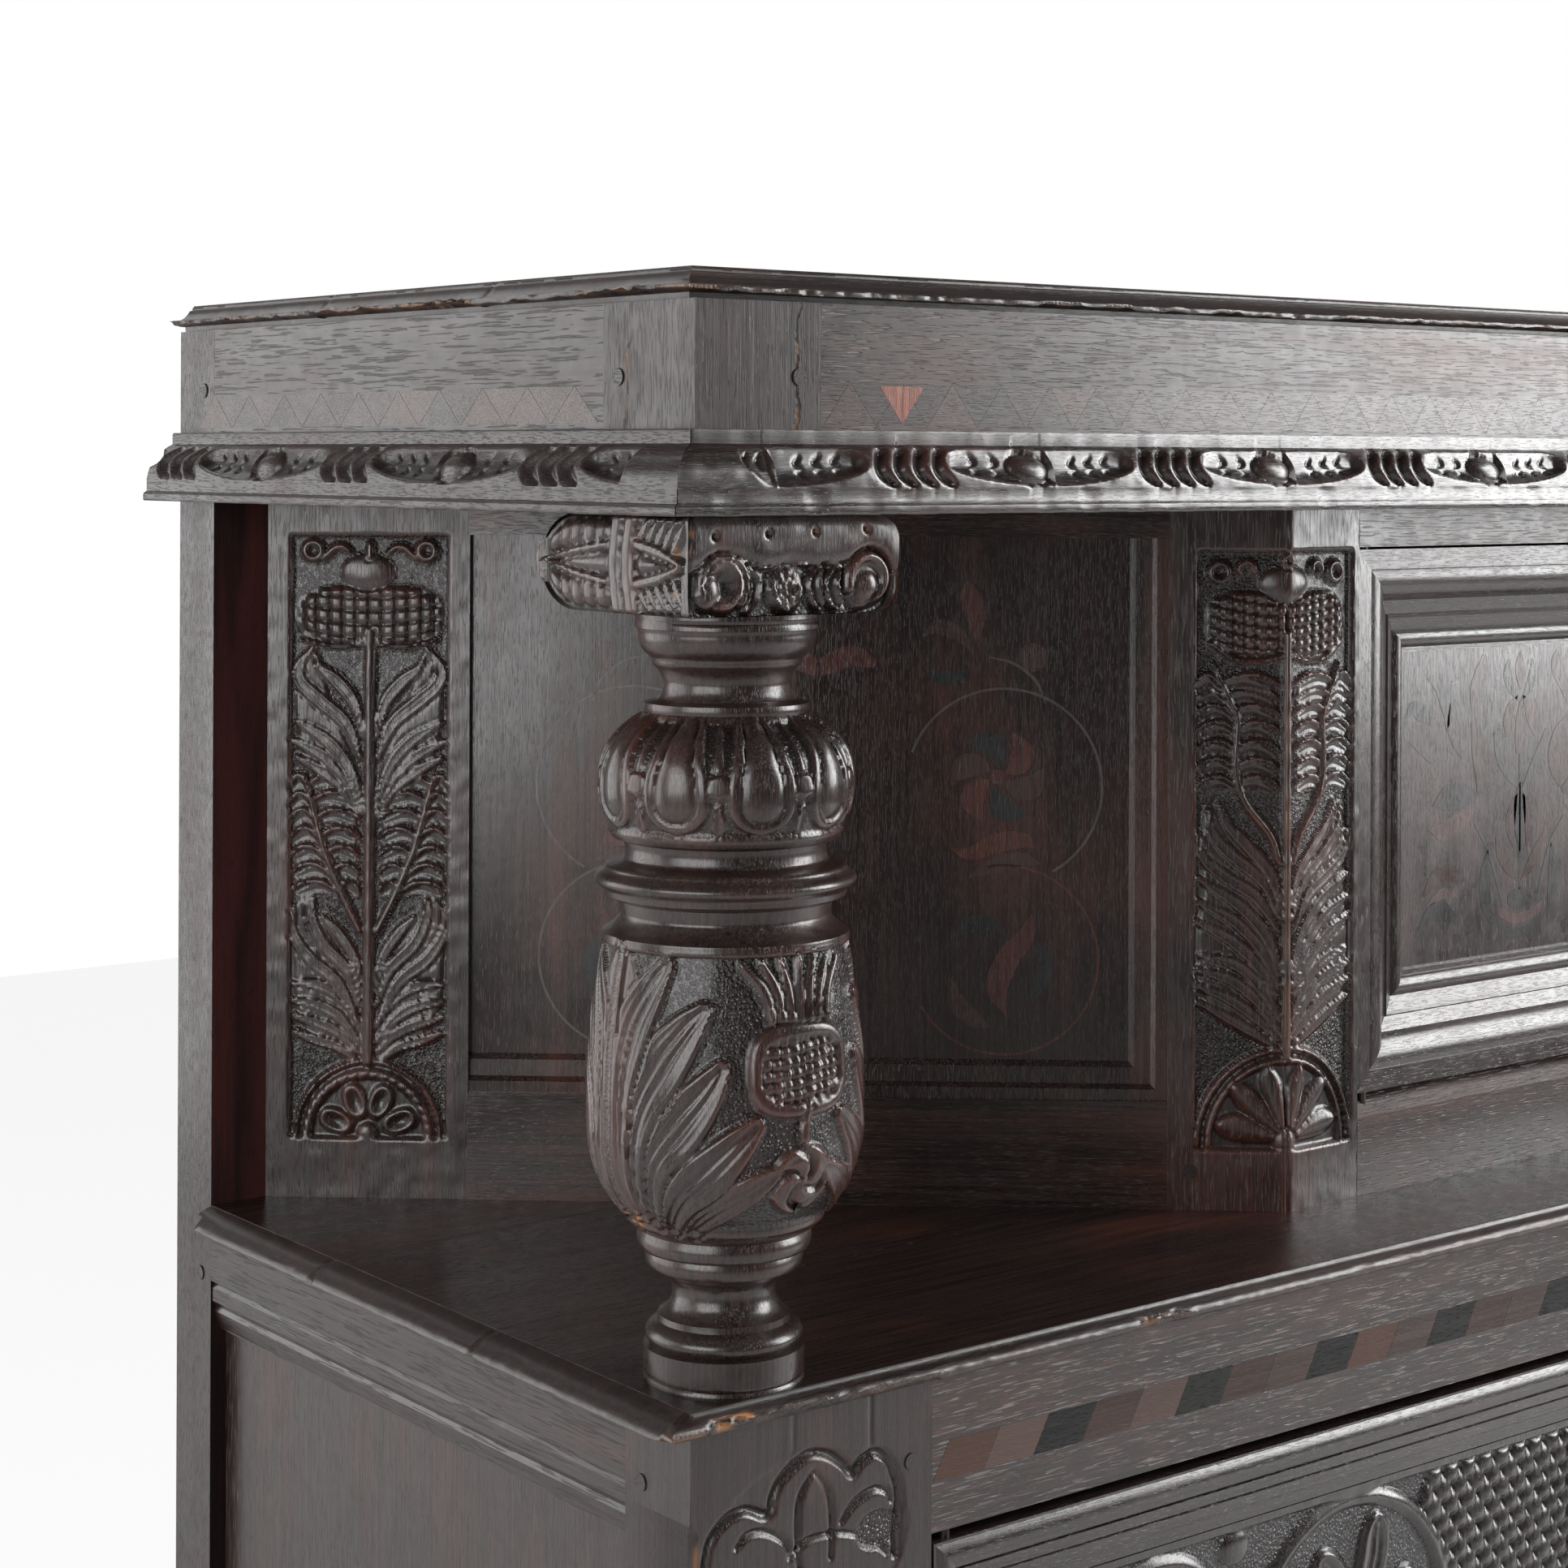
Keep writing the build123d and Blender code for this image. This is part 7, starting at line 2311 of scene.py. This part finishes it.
TOP_WEAR = ((0, 4.0, 1.0, 0.1), (6, 1.0, 0.5, 0.1), (60, 0.6, 1.6, 0.1), (150, 0.4, 1.0, 0.1),
            (240, 1.0, 2.0, 0.15), (300, 0.8, 1.2, 0.2), (308, 4.2, 1.8, 0.3), (330, 3.6, 2.2, 0.1),
            (352, 4.6, 1.6, 0.15), (364, 2.4, 1.0, 0.3), (368, 0.2, 0.0, 0.1), (440, 0.0, 0.0, 0.05),
            (478, 0.0, 1.5, 0.1), (520, 0.4, 2.2, 0.2), (545, 1.6, 1.0, 0.3), (552, 0.8, 0.4, 0.12),
            (600, 0.3, 0.0, 0.12), (3000, 0.3, 0.0, 0.1))


# ---- the studio ----
@dataclass
class Studio:
    """The camera, the lamps, the pale floor and the white surroundings."""

    eye: Triple = (-1.6624, -1.45105, 1.3778)
    heading: float = -37.89
    roll: float = 0.24
    lens: float = 68.215
    rise: float = -0.20795
    ambient: float = 0.12

    def build(self) -> None:
        """Make everything that isn't the object."""
        data = bpy.data.cameras.new("camera")
        data.lens, data.sensor_width, data.shift_y = self.lens, 36.0, self.rise
        data.sensor_fit = "HORIZONTAL"
        data.clip_start, data.clip_end = 0.05, 60.0
        camera = bpy.data.objects.new("camera", data)
        bpy.context.scene.collection.objects.link(camera)
        camera.matrix_world = (Matrix.Translation(self.eye) @ Matrix.Rotation(math.radians(self.heading), 4, "Z")
                               @ Matrix.Rotation(math.radians(90), 4, "X")
                               @ Matrix.Rotation(math.radians(self.roll), 4, "Z"))
        bpy.context.scene.camera = camera
        bpy.context.scene.view_settings.view_transform = "Standard"
        self.surroundings()
        self.lamp("left", (-3.6, -1.1, 1.7), (-0.6, -0.1, 1.1), (2.7, 2.0), 92.0)
        self.lamp("left_back", (-3.0, 2.4, 1.5), (-0.8, 0.1, 1.1), (3.0, 2.6), 75.0)
        self.lamp("right", (2.5, -2.0, 2.15), (-0.3, -0.2, 1.2), (1.9, 2.4), 178.0)
        self.lamp("behind", (0.4, 3.0, 3.4), (-0.8, 0.0, 1.46), (3.0, 1.6), 18.0)
        self.floor()

    def lamp(self, name: str, place: Triple, aim: Triple,
             size: tuple[float, float], power: float) -> None:
        """Hang a soft rectangular lamp.

        Args:
            name: The lamp's name.
            place: Where it is, in metres.
            aim: The point that it faces.
            size: Its width and height.
            power: Its power in watts.
        """
        data = bpy.data.lights.new(name, "AREA")
        data.shape, data.size, data.size_y, data.energy = "RECTANGLE", size[0], size[1], power
        lamp = bpy.data.objects.new(name, data)
        bpy.context.scene.collection.objects.link(lamp)
        away = Vector(place) - Vector(aim)
        lamp.visible_camera = False
        lamp.matrix_world = Matrix.Translation(place) @ away.to_track_quat("Z", "Y").to_matrix().to_4x4()

    def surroundings(self) -> None:
        """White to the camera, and a softer even light for the rest."""
        world = bpy.data.worlds.new("studio")
        world.use_nodes = True
        bpy.context.scene.world = world
        graph = Graph(world.node_tree)
        seen = graph.node("ShaderNodeLightPath").other("Is Camera Ray")
        strength = graph.maths("MAXIMUM", seen, self.ambient)
        light = graph.node("ShaderNodeBackground", inputs={"Color": (1.0, 1.0, 1.0), "Strength": strength})
        graph.node("ShaderNodeOutputWorld", inputs={"Surface": light})

    def floor(self) -> None:
        """A pale floor that looks white to the camera but for the object's shadow."""
        solid = Solid()
        ticks = np.linspace(-6000, 6000, 13)
        x, y = np.meshgrid(ticks, ticks)
        solid.quads(solid.vertices(np.stack([x, y, 0 * x - 0.5], -1)))
        mesh = solid.mesh("floor")
        material = bpy.data.materials.new("pale_floor")
        material.use_nodes = True
        graph = Graph(material.node_tree)
        tone = graph.noise(graph.node("ShaderNodeTexCoord", output=3), 1.5, 3.0).ramp(0.2, 0.8, 0.80, 0.86)
        colour = graph.node("ShaderNodeCombineColor", inputs={0: tone, 1: tone, 2: tone})
        matte = graph.node("ShaderNodeBsdfPrincipled", inputs={"Base Color": colour, "Roughness": 0.8})
        white = graph.node("ShaderNodeEmission", inputs={"Color": (1.0, 1.0, 1.0), "Strength": 1.0})
        seen = graph.node("ShaderNodeLightPath").other("Is Camera Ray")
        both = graph.node("ShaderNodeMixShader", inputs={0: seen * 0.9, 1: matte, 2: white})
        graph.node("ShaderNodeOutputMaterial", inputs={"Surface": both})
        mesh.materials.append(material)
        stage = bpy.data.objects.new("floor", mesh)
        bpy.context.scene.collection.objects.link(stage)


# ---- the oak of each place ----
POST_OAK = OakFinish("post_oak", UPRIGHT, pores=0.8, matte=0.6, dents=0.3, warmth=0.25)
# The rear posts' inner part gets a painted dark red reflection of the canted wall.
REAR_POST_OAK = replace(POST_OAK, name="rear_post_oak", painted_reflection_depth=0.2489)
LIP_OAK = OakFinish("board_lip_oak", ACROSS, pores=0.25, dents=0.45, gloss=0.32, matte=0.52, warmth=0.35,
                    carved=True, tooth=0.5)
SOFFIT_OAK = OakFinish("soffit_oak", ACROSS, pores=0.5, gloss=0.4, matte=0.6, warmth=0.4, coat=0.0)
PEG_OAK = OakFinish("peg_oak", DEEP, (0.006, 0.0038, 0.0034), (0.020, 0.0125, 0.0105), (0.05, 0.02, 0.012), 0.3,
                    0.35, 0.6, 0.8, 0.4)
KNOB_OAK = OakFinish("knob_oak", DEEP, pores=0.2, dents=0.3, gloss=0.14, matte=0.3, warmth=0.5, coat=0.6)
PIN_IRON = IronFinish("pin_iron", UPRIGHT, (0.02, 0.018, 0.017), (0.09, 0.085, 0.08), (0.14, 0.07, 0.04), 0.4,
                      0.35, 0.6, 0.0, 0.6, 0.0, 0.0)
FRONT_RAIL_OAK = OakFinish("front_rail_oak", ACROSS, warmth=0.75, fleck=0.5, coarse=1.6, filler=0.7)
SIDE_RAIL_OAK = OakFinish("side_rail_oak", DEEP, pores=0.7, warmth=0.6, coarse=1.9, tooth=0.6, sheen=0.44)
SIDE_PANEL_OAK = OakFinish("side_panel_oak", UPRIGHT, pores=0.9, warmth=0.35, dents=0.2, coarse=1.6, tooth=0.7,
                           filler=0.25)
BLOCK_OAK = OakFinish("corner_block_oak", UPRIGHT, pores=0.9, matte=0.6, dents=0.6, warmth=0.25, sheen=0.42,
                      coarse=1.5, filler=0.4, cracks=((0, -0.7303, 0.0), (1, -0.205, 0.08)))
BOARD_OAK = OakFinish("board_oak", ACROSS, warmth=0.7, pores=0.4, gloss=0.18, matte=0.36, tooth=0.35, coat=0.05,
                      sheen=0.24)
DOOR_STILE_OAK = OakFinish("door_stile_oak", UPRIGHT, pores=0.35, gloss=0.2, matte=0.42, coat=0.4, filler=0.3)
DOOR_RAIL_OAK = replace(DOOR_STILE_OAK, name="door_rail_oak", grain=ACROSS)
CANTED_OAK_LEFT = OakFinish("canted_oak_left", CANTED_LEFT, warmth=1.0, gloss=0.16, matte=0.32, tooth=0.5, filler=0.1)
CANTED_OAK_RIGHT = replace(CANTED_OAK_LEFT, name="canted_oak_right", grain=CANTED_RIGHT)
CANTED_PANEL_OAK = OakFinish("canted_panel_oak", UPRIGHT, pores=0.4, gloss=0.14, matte=0.30, warmth=0.7,
                             dents=0.25, tooth=0.2)
MOULDING_OAK = OakFinish("canted_moulding_oak", UPRIGHT, warmth=0.8, gloss=0.16, matte=0.32, tooth=0.5)
ROUGH_OAK = OakFinish("rough_oak", UPRIGHT, (0.02, 0.013, 0.009), (0.06, 0.042, 0.03), (0.11, 0.07, 0.04),
                      0.5, 0.55, 0.8, 1.0, 0.8, 0.0, 0.0)
ROUGH_RAIL_OAK = replace(ROUGH_OAK, name="rough_rail_oak", grain=ACROSS)
TURNED = OakFinish("turned_oak", UPRIGHT, pores=0.25, dents=0.25, gloss=0.2, matte=0.38, warmth=0.4,
                   coat=0.4, carved=True, sheen=0.4)
STILE_CARVED = OakFinish("stile_carved_oak", UPRIGHT, pores=0.4, dents=0.3, gloss=0.22, matte=0.42, warmth=0.6,
                         coat=0.3, carved=True, coarse=1.4, filler=0.2)
POST_CARVED = OakFinish("post_carved_oak", UPRIGHT, pores=0.4, dents=0.3, gloss=0.24, matte=0.5, warmth=0.45,
                        coat=0.2, carved=True)
PANEL_CARVED = OakFinish("panel_carved_oak", UPRIGHT, (0.007, 0.0045, 0.0042), (0.024, 0.0165, 0.0155),
                         (0.06, 0.024, 0.016), 0.3, 0.22, 0.4, 0.25, 0.3, 0.0, 0.45, True, stipple=6.5)
CARVED = OakFinish("carved_oak", UPRIGHT, pores=0.25, dents=0.3, gloss=0.22, matte=0.42, warmth=0.4,
                   coat=0.35, carved=True)
CORNICE_OAK = OakFinish("cornice_oak", ACROSS, pores=0.25, dents=0.3, gloss=0.2, matte=0.4, warmth=0.3,
                        coat=0.45, carved=True)
CORNICE_SIDE_OAK = OakFinish("cornice_side_oak", DEEP, pores=0.6, dents=0.3, gloss=0.3, matte=0.5,
                             warmth=0.3, coat=0.2, carved=True)
INLAY_BAND = InlayFinish("inlay_band", ACROSS, (0.012, 0.006, 0.005), (0.030, 0.017, 0.015), (0.06, 0.024, 0.016),
                         0.3, 0.28, 0.42, 0.3, 0.2, light=(0.046, 0.023, 0.018))
INLAY_RED = OakFinish("inlay_red", UPRIGHT, (0.03, 0.009, 0.006), (0.068, 0.018, 0.012), (0.10, 0.026, 0.016), 0.4,
                      0.2, 0.34, 0.3, 0.1)
INLAY_ROSE = OakFinish("inlay_rose", UPRIGHT, (0.03, 0.016, 0.014), (0.070, 0.030, 0.026), (0.09, 0.04, 0.03), 0.3,
                       0.24, 0.42, 0.3, 0.2)
INLAY_ORANGE = OakFinish("inlay_orange", UPRIGHT, (0.09, 0.02, 0.010), (0.21, 0.045, 0.018), (0.26, 0.07, 0.02), 0.4,
                         0.22, 0.36, 0.3, 0.1)
INLAY_DARK = OakFinish("inlay_dark", UPRIGHT, (0.006, 0.006, 0.006), (0.015, 0.0145, 0.0145), (0.02, 0.018, 0.017),
                       0.2, 0.2, 0.34, 0.2, 0.1)
INLAY_TAN = OakFinish("inlay_tan", UPRIGHT, (0.02, 0.009, 0.007), (0.045, 0.022, 0.018), (0.07, 0.03, 0.02), 0.3,
                      0.2, 0.36, 0.2, 0.1)
INLAY_GREY = OakFinish("inlay_grey", UPRIGHT, (0.022, 0.019, 0.018), (0.045, 0.040, 0.038), (0.05, 0.04, 0.035), 0.3,
                       0.22, 0.38, 0.2, 0.1)
INLAY_STRING = OakFinish("inlay_string", UPRIGHT, (0.035, 0.028, 0.025), (0.07, 0.056, 0.05), (0.08, 0.06, 0.04),
                         0.2, 0.25, 0.4, 0.2, 0.1)
INLAY_BLOCK = InlayFinish("inlay_block", ACROSS, (0.024, 0.012, 0.009), (0.047, 0.025, 0.019),
                          (0.09, 0.036, 0.020), 0.4, 0.4, 0.6, 0.2, 0.2, coat=0.0, sheen=0.3,
                          light=(0.074, 0.032, 0.020))
INLAY_GREEN = InlayFinish("inlay_green", ACROSS, (0.007, 0.0075, 0.007), (0.018, 0.0195, 0.018),
                          (0.018, 0.018, 0.015), 0.2, 0.45, 0.65, 1.0, 0.4, coat=0.0, sheen=0.22,
                          light=(0.017, 0.017, 0.015))
INLAY_MAUVE = InlayFinish("inlay_mauve", ACROSS, (0.028, 0.017, 0.014), (0.058, 0.036, 0.030),
                          (0.09, 0.05, 0.036), 0.3, 0.4, 0.6, 0.3, 0.2, coat=0.0, sheen=0.3,
                          light=(0.092, 0.055, 0.045))
INLAY_SHADE = OakFinish("inlay_shade", UPRIGHT, (0.007, 0.006, 0.006), (0.018, 0.0145, 0.0135), (0.03, 0.02, 0.018),
                        0.3, 0.2, 0.4, 0.3, 0.3)


@dataclass
class Carcass:
    """The joined frame: posts, rails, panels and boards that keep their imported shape."""

    shop: Shop

    def build(self) -> None:
        """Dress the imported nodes."""
        dress, sides = self.shop.dress, ("left", "right")
        dress(BLOCK_OAK, *(f"corner_block_{side}" for side in sides))
        dress(REAR_POST_OAK, *(f"rear_post_{side}" for side in sides))
        dress(POST_OAK, "centre_muntin")
        dress(FRONT_RAIL_OAK, "middle_front_rail", "bottom_front_rail", "frieze_front_rail", "upper_bottom_rail",
              "upper_top_rail")
        dress(SIDE_RAIL_OAK, *(f"side_top_rail_{side}" for side in sides),
              *(f"frieze_side_rail_{side}" for side in sides), "side_bottom_rails")
        dress(SIDE_PANEL_OAK, "side_panel_left", "side_panel_right")
        dress(SOFFIT_OAK, "floor_boards", "soffit_boards")
        dress(ROUGH_OAK, "lower_back_boards", "upper_back_boards")
        dress(ROUGH_RAIL_OAK, "back_bottom_rail", "back_middle_rail", "back_top_rail")
        dress(CANTED_OAK_LEFT, "canted_bottom_rail_left", "canted_top_rails")
        dress(MOULDING_OAK, "canted_panel_mouldings")
        dress(CANTED_OAK_RIGHT, "canted_bottom_rail_right")
        dress(CANTED_PANEL_OAK, *(f"canted_panel_{side}" for side in sides))
        dress(DOOR_STILE_OAK, "upper_door_stiles", "lower_door_left_stiles", "lower_door_right_stiles",
              "upper_door_panel")
        dress(DOOR_RAIL_OAK, "upper_door_rails", "lower_door_left_rails", "lower_door_right_rails")
        dress(KNOB_OAK, "upper_door_knob", "lower_door_left_knob", "lower_door_right_knob")
        dress(PEG_OAK, "joint_pegs")
        dress(PIN_IRON, "door_pivot_pins")


def main() -> None:
    """Build every sub-assembly in order."""
    logging.basicConfig(level=logging.INFO, format="%(name)s: %(message)s")
    shop = Shop()
    Studio().build()
    Carcass(shop).build()
    Column(shop).build()
    Capital(shop).build()
    Cornice(shop).build()
    CantedStile(shop).build()
    CornerStile(shop).build()
    FrontPost(shop).build()
    LowerDoorPanel(shop).build()
    CantedInlay(shop).build()
    DoorInlay(shop).build()
    Bands(shop).build()
    WornBoards(shop, "shelf_boards", top=SHELF, thick=12.0, lips=(17.5, 8.0), side=SIDE, front=FRONT, rear=248.4,
               back=269.4, section=SHELF_SECTION, front_section=SHELF_FRONT, wear=SHELF_WEAR, amount=0.5,
               seed=41).build()
    WornBoards(shop, "top_boards", top=TOP, thick=17.0, lips=(19.0, 19.0), side=786.0, front=-249.3, rear=BACK,
               back=BACK, section=TOP_SECTION, front_section=(), wear=TOP_WEAR, amount=1.3, seed=47).build()


if __name__ == "__main__":
    main()
